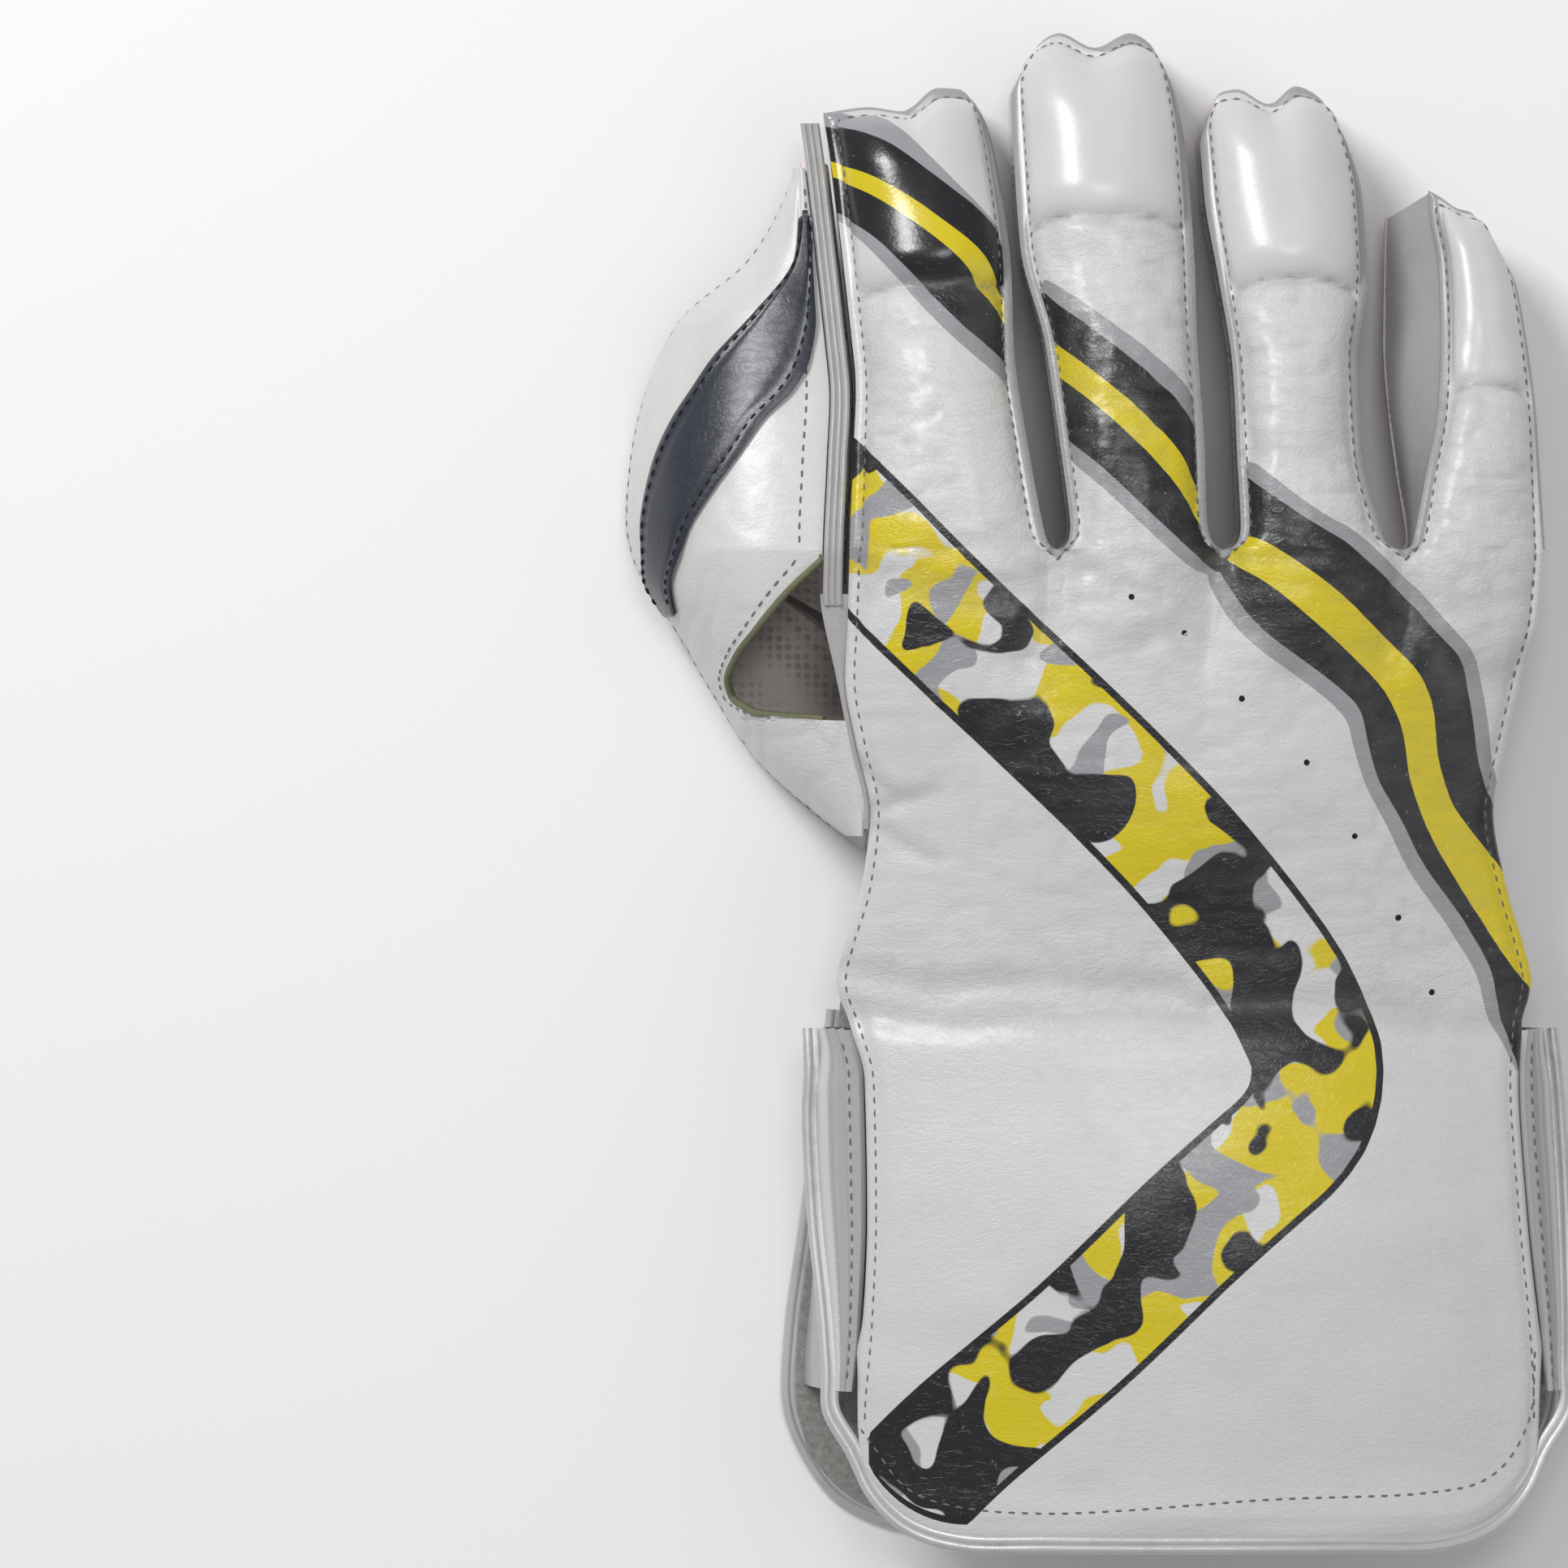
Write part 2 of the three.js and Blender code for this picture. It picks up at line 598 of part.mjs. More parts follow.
function backPanel() {
  return thicken(handSheet(BACK_ROWS, backPoint, false, () => false), BACK_WALL);
}

// Point on the web's side of the index seam, at a share of the web's length
function webSeam(at) {
  const along = THUMB_ROOT + at * WEB_LENGTH;
  const strip = (SEAM_STRIP_WIDTH + 2 * SEAM_GAP) * ease(at, STRIP_BLEND) + CHORD_GAP + SEAM_GAP;
  if (along < BODY_LENGTH) {
    const station = stationAt(along);
    return { x: bodyEdge(-1, station) - strip, y: along, z: seamLevel(0, station) };
  }
  const station = (along - BODY_LENGTH) / (INDEX_CORNER - BODY_LENGTH);
  const place = fingerPlace(INDEX, 0, station);
  return { x: place.left - strip, y: along, z: seamLevel(0, station) };
}

const WEB_EDGE_REST = FLOOR_LIFT + RUBBER_WALL + SEAM_GAP;

// Outer face of the web leather; turn runs from the seam (0) to the outer edge (1) like a quarter circle
function webPoint(at, turn) {
  const seam = webSeam(at);
  const out = HAND_LINE - webOut(at) * THUMB_REACH;
  const angle = (turn * Math.PI) / 2;
  const across = Math.pow(Math.sin(angle), 2 / ARCH_POWER);
  const top = seam.z - SEAM_GAP;
  const edge = mix(WEB_EDGE_REST, top, webEdgeRise(at));
  return new THREE.Vector3(mix(seam.x, out, across), seam.y, mix(edge, top, Math.cos(angle)));
}

// The turn at which the web reaches a share of its width
function turnAt(across) {
  return (Math.asin(Math.pow(across, ARCH_POWER / 2)) * 2) / Math.PI;
}

function webNormal(at, turn) {
  const step = NORMAL_STEP;
  const along = webPoint(Math.min(1, at + step), turn).sub(webPoint(Math.max(0, at - step), turn));
  const side = webPoint(at, Math.min(1, turn + step)).sub(webPoint(at, Math.max(0, turn - step)));
  return along.cross(side).normalize();
}

function holeTurn(at) {
  const first = THUMB_HOLE[0].at;
  const last = THUMB_HOLE[THUMB_HOLE.length - 1].at;
  if (at <= first || at > last) {
    return 0;
  }
  const seam = webSeam(at).x;
  const out = HAND_LINE - webOut(at) * THUMB_REACH;
  const edge = HAND_LINE - holeOut(at) * THUMB_REACH;
  return turnAt(Math.max(0, (seam - edge) / (seam - out)));
}

function webThumbBack() {
  const turns = [0, 0.16, 0.34, 0.52, 0.7, 0.86, 1];
  const place = (row, column) => {
    const at = WEB_ROWS[row];
    return webPoint(at, mix(holeTurn(at), 1, turns[column])).toArray();
  };
  return thicken(gridSheet(WEB_ROWS.length, turns.length, place, true), WEB_WALL);
}

function navyInsert() {
  const turns = [0, 1 / 3, 2 / 3, 1];
  const lift = INSERT_WALL + SEAM_GAP + INSERT_LIFT;
  const place = (row, column) => {
    const { at } = INSERT_EDGES[row];
    const turn = mix(turnAt(insertInner(at)), turnAt(insertOuter(at)), turns[column]);
    return webPoint(at, turn).addScaledVector(webNormal(at, turn), lift).toArray();
  };
  return thicken(gridSheet(INSERT_EDGES.length, turns.length, place, true), INSERT_WALL);
}

// The thumb's share of the palm rubber: rows fan out from the palm to the thumb tip
function slantAt(station) {
  const root = RUBBER_ROWS[THUMB_ROOT_ROW];
  const share = (station - root) / (RUBBER_ROWS[SLIT_ROW] - root);
  return SLANT_RISE * share * share;
}

function thumbRubberPoint(station, across) {
  const start = palmPoint(INDEX, 0, station);
  const y = alongBody(station) + slantAt(station) * across;
  const out = HAND_LINE - webOut((y - THUMB_ROOT) / WEB_LENGTH) * THUMB_REACH;
  return [mix(start[0], out, across), y, mix(start[2], FLOOR_LIFT, across)];
}

function palmRubber() {
  const slitEnd = (column) => fingerColumns(1)[column] < SLIT_LENGTH_SHARE && column < MIDDLE_COLUMN;
  const isOpen = (index, column, row) => index === 0 && row === SLIT_ROW && slitEnd(column);
  const sheet = handSheet(RUBBER_ROWS, palmPoint, true, isOpen);
  const shares = [0, 0.15, 0.35, 0.6, 0.84, 1];
  const at = (row, column) => {
    const station = RUBBER_ROWS[row];
    const key = column === 0 ? handKey(0, 0, station) : `thumb,${column},${row}`;
    return sheet.corner(key, thumbRubberPoint(station, shares[column]));
  };
  for (let row = THUMB_ROOT_ROW; row < SLIT_ROW; row += 1) {
    for (let column = 0; column + 1 < shares.length; column += 1) {
      sheet.cell(at(row, column), at(row, column + 1), at(row + 1, column + 1), at(row + 1, column));
    }
  }
  return thicken(sheet, RUBBER_WALL);
}

// Palm-side seam of the index finger at a distance from the hem
function indexPalmSeam(along) {
  if (along < BODY_LENGTH) {
    return palmPoint(INDEX, 0, stationAt(along));
  }
  return palmPoint(INDEX, 0, (along - BODY_LENGTH) / (INDEX_CORNER - BODY_LENGTH));
}

// Under the web leather: near the crotch slit the rubber lies low, further up it follows the leather
function webRubberPoint(share, turn, slant, lowZ) {
  const start = alongBody(RUBBER_ROWS[SLIT_ROW + 1]) + SEAM_GAP;
  const along = mix(start, INDEX_CORNER, share) + SLANT_RISE * (1 - share) ** 2 * slant;
  const at = Math.min(WEB_RUBBER_END, (along - THUMB_ROOT) / WEB_LENGTH);
  const depth = WEB_WALL + SEAM_GAP + WEB_RUBBER_WALL;
  const under = webPoint(at, turn).addScaledVector(webNormal(at, turn), -depth);
  const low = new THREE.Vector3(under.x, under.y, lowZ);
  return low.lerp(under, ease(share, WEB_RUBBER_BLEND));
}

// Rubber under the web: two columns climb from the index's palm seam, the others run to the outer edge
function webRubber() {
  const rows = [0, 0.05, 0.1, 0.16, 0.24, 0.36, 0.48, 0.6, 0.72, 0.82, 0.9];
  const turns = [0.2, 0.34, 0.5, 0.66, 0.82, 1];
  const climbs = [0, 0.5];
  const start = alongBody(RUBBER_ROWS[SLIT_ROW + 1]) + SEAM_GAP;
  const place = (row, column) => {
    const seamAlong = mix(start, INDEX_CORNER, rows[row]);
    const [seamX, , seamZ] = indexPalmSeam(seamAlong);
    const climb = climbs[column];
    const turn = turns[Math.max(0, column - climbs.length)];
    const slant = climb === undefined ? Math.sin((turn * Math.PI) / 2) : 0;
    const lowZ = mix(seamZ, WEB_RUBBER_REST, ease(column, { from: 0, over: climbs.length * 2 }));
    const point = webRubberPoint(rows[row], turn, slant, lowZ);
    if (climb === undefined) {
      return point.toArray();
    }
    const x = seamX - SEAM_GAP - WEB_RUBBER_WALL - FLOOR_LIFT * climb;
    return [x, mix(seamAlong, point.y, climb), mix(seamZ, point.z, climb)];
  };
  return thicken(gridSheet(rows.length, turns.length + climbs.length, place, false), WEB_RUBBER_WALL);
}

// Corner line of a finger from the middle of its tip down one side to the root, on the back or palm face
function fingerOutline(finger, side, place) {
  const lastPad = side > 0 ? LAST_COLUMN - 1 : 1;
  const tipColumns = [MIDDLE_COLUMN, MIDDLE_COLUMN + side, lastPad];
  const edgeColumn = side > 0 ? LAST_COLUMN : 0;
  const tip = tipColumns.map((column) => place(finger, column, 1));
  const edge = [...FINGER_ROWS].reverse().map((station) => place(finger, edgeColumn, station));
  return [...tip, ...edge];
}

function bodyOutline(side, stations, place) {
  const finger = side > 0 ? LITTLE : INDEX;
  return stations.map((station) => place(finger, side > 0 ? LAST_COLUMN : 0, station));
}

// The way inward from a line of points in plan, to the right of its direction
function inwardAt(points, i) {
  const before = points[Math.max(0, i - 1)];
  const after = points[Math.min(points.length - 1, i + 1)];
  return new THREE.Vector2(after[1] - before[1], before[0] - after[0]).normalize();
}

function insetLine(points, inset) {
  return points.map(([x, y, z], i) => {
    const inward = inwardAt(points, i);
    return [x + inward.x * inset, y + inward.y * inset, z];
  });
}

// A side wall between a seam of the back and the seam of the palm below it
function gussetBetween(backLine, palmLine) {
  const heights = [0, 0.5, 1];
  const top = insetLine(backLine, GUSSET_INSET);
  const bottom = insetLine(palmLine, GUSSET_INSET);
  const place = (row, column) => {
    const height = heights[row];
    const under = top[column][2] - BACK_WALL - SEAM_GAP;
    const seat = bottom[column][2] + RUBBER_WALL + SEAM_GAP;
    const apart = new THREE.Vector2(top[column][0] - bottom[column][0], top[column][1] - bottom[column][1]);
    const lean = apart.dot(inwardAt(backLine, column));
    const tilt = (GUSSET_WALL * lean) / Math.hypot(lean, under - seat);
    const low = seat + Math.max(0, tilt);
    const high = under + Math.min(0, tilt);
    return [
      mix(bottom[column][0], top[column][0], height),
      mix(bottom[column][1], top[column][1], height),
      mix(low, high, height),
    ];
  };
  return thicken(gridSheet(heights.length, top.length, place, true), GUSSET_WALL);
}

function notchInset(line) {
  const [first, second] = line;
  const share = (GUSSET_WALL + SEAM_GAP) / Math.hypot(second[0] - first[0], second[1] - first[1]);
  return [first.map((value, i) => mix(value, second[i], share)), ...line.slice(1)];
}

function gussetLine(left, right, place) {
  const down = notchInset(fingerOutline(left, 1, place));
  const up = notchInset(fingerOutline(right, -1, place)).reverse();
  return [...down, place(right, 0, 0), ...up];
}

function fingerGusset(index) {
  const left = FINGERS[index];
  const right = FINGERS[index + 1];
  return gussetBetween(gussetLine(left, right, backPoint), gussetLine(left, right, palmPoint));
}

function indexSideGusset() {
  const line = (place) =>
    [...notchInset(fingerOutline(INDEX, -1, place)), ...bodyOutline(-1, [0, -0.05, -0.1], place)].reverse();
  return gussetBetween(line(backPoint), line(palmPoint));
}

function littleSideGusset() {
  const stations = [0, -0.09, -0.2, -0.33, -0.46, -0.6, -0.74, -0.86, -0.96];
  const tipLine = (place) => notchInset(fingerOutline(LITTLE, 1, place));
  const line = (place) => [...tipLine(place), ...bodyOutline(1, stations, place)];
  return gussetBetween(line(backPoint), line(palmPoint));
}

// Ribbed strip that lies in the seam between the index finger's back and the web
function indexSeamStrip() {
  const ridges = [0, 1, 0.15, 1, 0.15, 1, 0];
  const rows = [0.33, 0.37, 0.41, 0.47, 0.55, 0.63, 0.71, 0.79, 0.87, 0.94, 0.985];
  const place = (row, column) => {
    const seam = webSeam(rows[row]);
    const across = SEAM_GAP + (column / (ridges.length - 1)) * SEAM_STRIP_WIDTH;
    return [seam.x + across, seam.y, seam.z - SEAM_GAP + SEAM_RIB * ridges[column]];
  };
  return thicken(gridSheet(rows.length, ridges.length, place, false), GUSSET_WALL);
}

// Grey fleece across the palm side of the wrist and up its thumb side
function wristLining() {
  const stations = [-1.16, -1.06, -0.98, -0.9, -0.82, -0.74, -0.66];
  const floorShares = [0.42, 0.6, 0.8, 0.95];
  const wallShares = [0.1, 0.3, 0.6, 1];
  const rest = CUFF_PALM_WALL + CUFF_LIFT + SEAM_GAP;
  const place = (row, column) => {
    const station = stations[row];
    const side = bodyEdge(-1, station) + LINING_INSET;
    const top = seamLevel(0, station) - BACK_WALL - SEAM_GAP;
    const y = alongBody(station);
    if (column < floorShares.length) {
      return [side * floorShares[column], y, rest];
    }
    const climb = wallShares[column - floorShares.length];
    return [side, y, mix(rest, top, climb)];
  };
  const columnCount = floorShares.length + wallShares.length;
  return thicken(gridSheet(stations.length, columnCount, place, false), LINING_WALL);
}

const CUFF_PALM_TOP = alongBody(RUBBER_ROWS[0]) - SEAM_GAP;

// Outer face of the cuff's palm panel, flat on the floor but for its lifted sides
function cuffPalmPoint(across, share) {
  const top = CUFF_PALM_TOP + CUFF_PALM_SHOULDER * Math.max(0, 1 - across / SHOULDER_SHARE);
  const bottom = PIPING_RADIUS + hemRise(across, CUFF_WIDTH);
  const y = mix(bottom, top, share);
  const station = stationAt(y);
  const x = mix(cuffPalmLeft(station), cuffPalmRight(station), across) * (CUFF_WIDTH / 2);
  const lifted = ease(Math.abs(2 * across - 1), { from: 1 - LIFTED_SHARE, over: LIFTED_SHARE });
  return [x, y, CUFF_LIFT * lifted];
}

function cuffPalmPanel() {
  const rows = [0, 0.2, 0.4, 0.6, 0.8, 1];
  const place = (row, column) => cuffPalmPoint(CUFF_COLUMNS[column], rows[row]);
  return thicken(gridSheet(rows.length, CUFF_COLUMNS.length, place, true), CUFF_PALM_WALL);
}

// Width and fall of the ribbed band beside the cuff front, both run out at the hem corner
function cuffBand(side, station) {
  const fullness = ease(station, BAND_BLEND);
  const narrowed = 1 - BAND_NARROWING * ease(station, NARROWING_BLEND);
  const full = CUFF_BAND_WIDTH * (side > 0 ? OUTER_BAND_SHARE : 1);
  return {
    width: mix(BAND_END_WIDTH, full, fullness) * narrowed,
    fall: mix(BAND_END_FALL, BAND_FALL, fullness),
    edge: bodyEdge(side, station) + side * 2 * CHORD_GAP,
    level: seamLevel(side < 0 ? 0 : 1, station) - CHORD_GAP,
  };
}

// The side wall's foot, on the inside of the palm panel's edge
function cuffSideFoot(side, y) {
  const share = (y - HEM_CORNER) / (CUFF_PALM_TOP - HEM_CORNER);
  const [x, , z] = cuffPalmPoint(side < 0 ? 0 : 1, share);
  return { x: x - side * (CUFF_SIDE_WALL + CHORD_GAP), z: z + CUFF_PALM_WALL + SEAM_GAP + CHORD_GAP };
}

function cuffSide(side) {
  const stations = [-1.72, -1.65, -1.55, -1.42, -1.28, -1.14, -1.02];
  const ribs = [0, 1, -0.4, 1, -0.4, 1, -0.4];
  const lower = [0.3, 0.65, 1];
  const place = (row, column) => {
    const y = alongBody(stations[row]);
    const band = cuffBand(side, stations[row]);
    if (column < ribs.length) {
      const share = column / (ribs.length - 1);
      const rib = (BAND_RIB * ribs[column]) / Math.SQRT2;
      return [band.edge + side * (band.width * share + rib), y, band.level - band.fall * share + rib];
    }
    const share = lower[column - ribs.length];
    const foot = cuffSideFoot(side, y);
    const bow = side * SIDE_BOW * Math.sin(share * Math.PI);
    const x = mix(band.edge + side * band.width, foot.x, share) - bow;
    return [x, y, mix(band.level - band.fall, foot.z, share)];
  };
  const sheet = gridSheet(stations.length, ribs.length + lower.length, place, side < 0);
  return thicken(sheet, CUFF_SIDE_WALL);
}

// A round cord swept along a line of points
function pipingAlong(points) {
  const path = new THREE.CatmullRomCurve3(points.map((point) => new THREE.Vector3(...point)));
  const section = new THREE.Shape(
    Array.from({ length: 6 }, (_, i) => {
      const angle = (i * Math.PI) / 3;
      return new THREE.Vector2(PIPING_RADIUS * Math.cos(angle), PIPING_RADIUS * Math.sin(angle));
    })
  );
  return new THREE.ExtrudeGeometry(section, { steps: 60, extrudePath: path });
}

function hemPipingFront() {
  const away = PIPING_RADIUS + SEAM_GAP + CHORD_GAP;
  const sideLine = (side, stations) =>
    stations.map((station) => {
      const band = cuffBand(side, station);
      return [band.edge + side * (band.width + away), alongBody(station), band.level - band.fall];
    });
  const down = [-1.02, -1.1, -1.2, -1.38, -1.56, -1.68, -1.76];
  const shares = [0.004, 0.03, 0.07, 0.12, 0.2, 0.35, 0.5, 0.65, 0.8, 0.88, 0.93, 0.97, 0.996];
  const left = bodyEdge(-1, -2);
  const right = bodyEdge(1, -2);
  const hem = shares.map((across) => {
    const rise = hemRise(across, right - left);
    const outward = (across - 0.5) * 2 * (rise / HEM_CORNER) * away;
    const z = seamLevel(across, -2) - BACK_WALL / 2;
    return [mix(left, right, across) + outward, rise - away * (1 - rise / HEM_CORNER), z];
  });
  return pipingAlong([...sideLine(-1, down), ...hem, ...sideLine(1, down).reverse()]);
}

function hemPipingPalm() {
  const away = PIPING_RADIUS + SEAM_GAP + CHORD_GAP / 2;
  const sideLine = (across) =>
    [0.98, 0.8, 0.6, 0.4, 0.2].map((share) => {
      const point = cuffPalmPoint(across, share);
      return [point[0] + (across - 0.5) * 2 * away, point[1], point[2] + PIPING_RADIUS];
    });
  const hem = CUFF_COLUMNS.map((across) => {
    const point = cuffPalmPoint(across, 0);
    const rise = hemRise(across, CUFF_WIDTH) / HEM_CORNER;
    const x = point[0] + (across - 0.5) * 2 * rise * away;
    return [x, point[1] - (1 - rise) * away, point[2] + PIPING_RADIUS];
  });
  return pipingAlong([...sideLine(0), ...hem, ...sideLine(1).reverse()]);
}

function whiteLeather() {
  return new THREE.MeshStandardMaterial({ color: 0xd6d6d0, roughness: 0.42, metalness: 0 });
}

function greyLeather() {
  return new THREE.MeshStandardMaterial({ color: 0x9c9c9c, roughness: 0.45, metalness: 0 });
}

function pinkRubber() {
  return new THREE.MeshStandardMaterial({ color: 0xb0a0a0, roughness: 0.85, metalness: 0 });
}

function navyLeather() {
  return new THREE.MeshStandardMaterial({ color: 0x1d1f2c, roughness: 0.4, metalness: 0 });
}

function silverPiping() {
  return new THREE.MeshStandardMaterial({ color: 0xb4b4b8, roughness: 0.35, metalness: 0.3 });
}

function greyFleece() {
  return new THREE.MeshStandardMaterial({ color: 0x9aa09a, roughness: 0.95, metalness: 0 });
}

function piece(name, geometry, material) {
  const mesh = new THREE.Mesh(geometry, material);
  mesh.name = name;
  return mesh;
}

// The origin is the middle of the footprint, on the surface that the glove lies on
function centred(group) {
  const box = new THREE.Box3().setFromObject(group);
  const middle = box.getCenter(new THREE.Vector3());
  group.position.set(-middle.x, -middle.y, -box.min.z);
  return group;
}

const glove = new THREE.Group();
glove.add(piece('back_panel', backPanel(), whiteLeather()));
glove.add(piece('palm_rubber', palmRubber(), pinkRubber()));
glove.add(piece('index_side_gusset', indexSideGusset(), greyLeather()));
FINGERS.slice(1).forEach((finger, index) => {
  const name = `gusset_${FINGERS[index].name}_${finger.name}`;
  glove.add(piece(name, fingerGusset(index), greyLeather()));
});
glove.add(piece('little_side_gusset', littleSideGusset(), greyLeather()));
glove.add(piece('index_seam_strip', indexSeamStrip(), greyLeather()));
glove.add(piece('web_thumb_back', webThumbBack(), whiteLeather()));
glove.add(piece('navy_insert', navyInsert(), navyLeather()));
glove.add(piece('web_rubber', webRubber(), pinkRubber()));
glove.add(piece('wrist_lining', wristLining(), greyFleece()));
glove.add(piece('cuff_palm_panel', cuffPalmPanel(), whiteLeather()));
glove.add(piece('cuff_side_left', cuffSide(-1), greyLeather()));
glove.add(piece('cuff_side_right', cuffSide(1), greyLeather()));
glove.add(piece('hem_piping_front', hemPipingFront(), silverPiping()));
glove.add(piece('hem_piping_palm', hemPipingPalm(), silverPiping()));

export default centred(glove);
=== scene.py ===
"""Dress of a wicketkeeping glove: leather, pimpled rubber, fleece, piping and stitches over a fixed frame.

Shapes are worked out in millimetres from the middle of the cuff's hem, with the fingers along +Y, and are
moved into the frame, in metres, when a piece is made.
"""

import logging
import math
from collections.abc import Callable, Iterable, Sequence
from dataclasses import dataclass, field
from enum import Enum

import bpy
import numpy as np
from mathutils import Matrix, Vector
from mathutils.bvhtree import BVHTree
from mathutils.kdtree import KDTree


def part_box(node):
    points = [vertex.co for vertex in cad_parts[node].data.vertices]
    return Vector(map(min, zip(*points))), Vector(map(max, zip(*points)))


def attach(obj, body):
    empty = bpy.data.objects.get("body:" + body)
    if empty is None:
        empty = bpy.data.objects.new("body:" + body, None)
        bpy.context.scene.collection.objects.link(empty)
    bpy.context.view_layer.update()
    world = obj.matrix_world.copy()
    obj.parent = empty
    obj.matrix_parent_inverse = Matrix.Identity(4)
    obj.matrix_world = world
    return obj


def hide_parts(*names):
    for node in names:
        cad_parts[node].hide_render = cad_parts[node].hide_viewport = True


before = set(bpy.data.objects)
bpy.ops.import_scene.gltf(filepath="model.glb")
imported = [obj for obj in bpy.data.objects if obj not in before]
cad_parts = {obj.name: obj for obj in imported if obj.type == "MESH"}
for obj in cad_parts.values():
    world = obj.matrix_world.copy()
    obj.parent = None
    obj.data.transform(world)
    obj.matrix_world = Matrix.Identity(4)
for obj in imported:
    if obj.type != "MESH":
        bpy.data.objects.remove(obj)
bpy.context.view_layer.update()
log = logging.getLogger("glove")
Array = np.ndarray
Line = list[tuple[float, float]]
Colour = tuple[float, float, float]
Socket = bpy.types.NodeSocket
Material = bpy.types.Material
Piece = bpy.types.Object

# Overall sizes, in millimetres
CUFF_LENGTH = 113.0
HAND_LENGTH = 103.0
CUFF_WIDTH = 150.0
PALM_WIDTH = 150.0
BACK_HEIGHT = 52.0
THUMB_REACH = 50.0
HEM_CORNER = 24.0
CUFF_BAND_WIDTH = 9.5
CROTCH_LIFT = 18.0
PALM_BELLY = 7.3
BODY_LENGTH = CUFF_LENGTH + HAND_LENGTH

# Layers and seams, in millimetres
BACK_WALL = 2.2
GUSSET_WALL = 1.3
WEB_WALL = 1.4
RUBBER_WALL = 2.2
WEB_RUBBER_WALL = 1.8
CUFF_PALM_WALL = 2.2
CUFF_SIDE_WALL = 1.5
LINING_WALL = 1.6
INSERT_WALL = 0.9
SEAM_GAP = 0.35
CHORD_GAP = 0.5
FLANGE = 2.2
GUSSET_INSET = 0.6
SEAM_STRIP_WIDTH = 4.2
SEAM_RIB = 0.7
PIPING_RADIUS = 1.2
LINING_INSET = 2.6
INSERT_LIFT = 0.25
FLOOR_LIFT = 0.4
SLANT_RISE = 33.0
WEB_RUBBER_REST = 0.6
RUBBER_TUCK = 5.0
CUFF_LIFT = 1.2
CUFF_PALM_SHOULDER = 14.0
BAND_END_WIDTH = 2.4
BAND_END_FALL = 2.0
BAND_FALL = 13.0
BAND_RIB = 0.8
SIDE_BOW = 1.5
SHOULDER_SHARE = 0.22
LIFTED_SHARE = 0.2
OUTER_BAND_SHARE = 0.7
BAND_NARROWING = 0.35
THUMB_SIDE_BOWL = 0.04
ROLLED_DROP_SHARE = 0.6
BACK_TILT = 0.04
ARCH_POWER = 2.4
LAST_COLUMN = 6.0
THUMB_ROOT_STATION = -0.64
WEB_RUBBER_END = 0.985
PALM_START = -1.09
THUMB_BLOCK = (-0.58, -0.19)
SLIT = (-0.19, -0.14)
SLIT_COLUMNS = 3.0
NORMAL_STEP = 0.004

# Making of the meshes
LATTICE = 256
SHARP_ANGLE = 50.0
TINY = 1e-12
SEARCH_HEIGHT = 200.0
STITCH_SIDES = 6
# Place along, thickness and rise of each ring of a stitch, as shares of its length and radius
STITCH_RINGS = ((-0.42, 0.75, -0.35), (-0.2, 1.0, 0.35), (0.2, 1.0, 0.35), (0.42, 0.75, -0.35))
STITCH_FLATNESS = 0.8
PIMPLE_HEIGHT = 0.52
PIMPLE_PITCH = 3.3
PIMPLE_RADIUS = 0.9
PIMPLE_SHOULDER = 0.72
PIMPLE_SIDES = 7
PIMPLE_CLEARANCE = 1.7
PIMPLE_STEEPEST = -0.35

# Scale of the picture, in millimetres per pixel, and the pixel of the hem's middle
PIXEL = 0.1784
PHOTO_HEM = (1470, 1890)

CROTCHES = (0.298, 0.541, 0.805)


@dataclass(frozen=True)
class Finger:
    """One finger's plan: length, width, lean, edges beside its axis, palm roll, tip line and pad's end."""

    length: float
    width: float
    lean: float
    left: Line
    right: Line
    roll: Line
    tip: Line
    pad_end: float


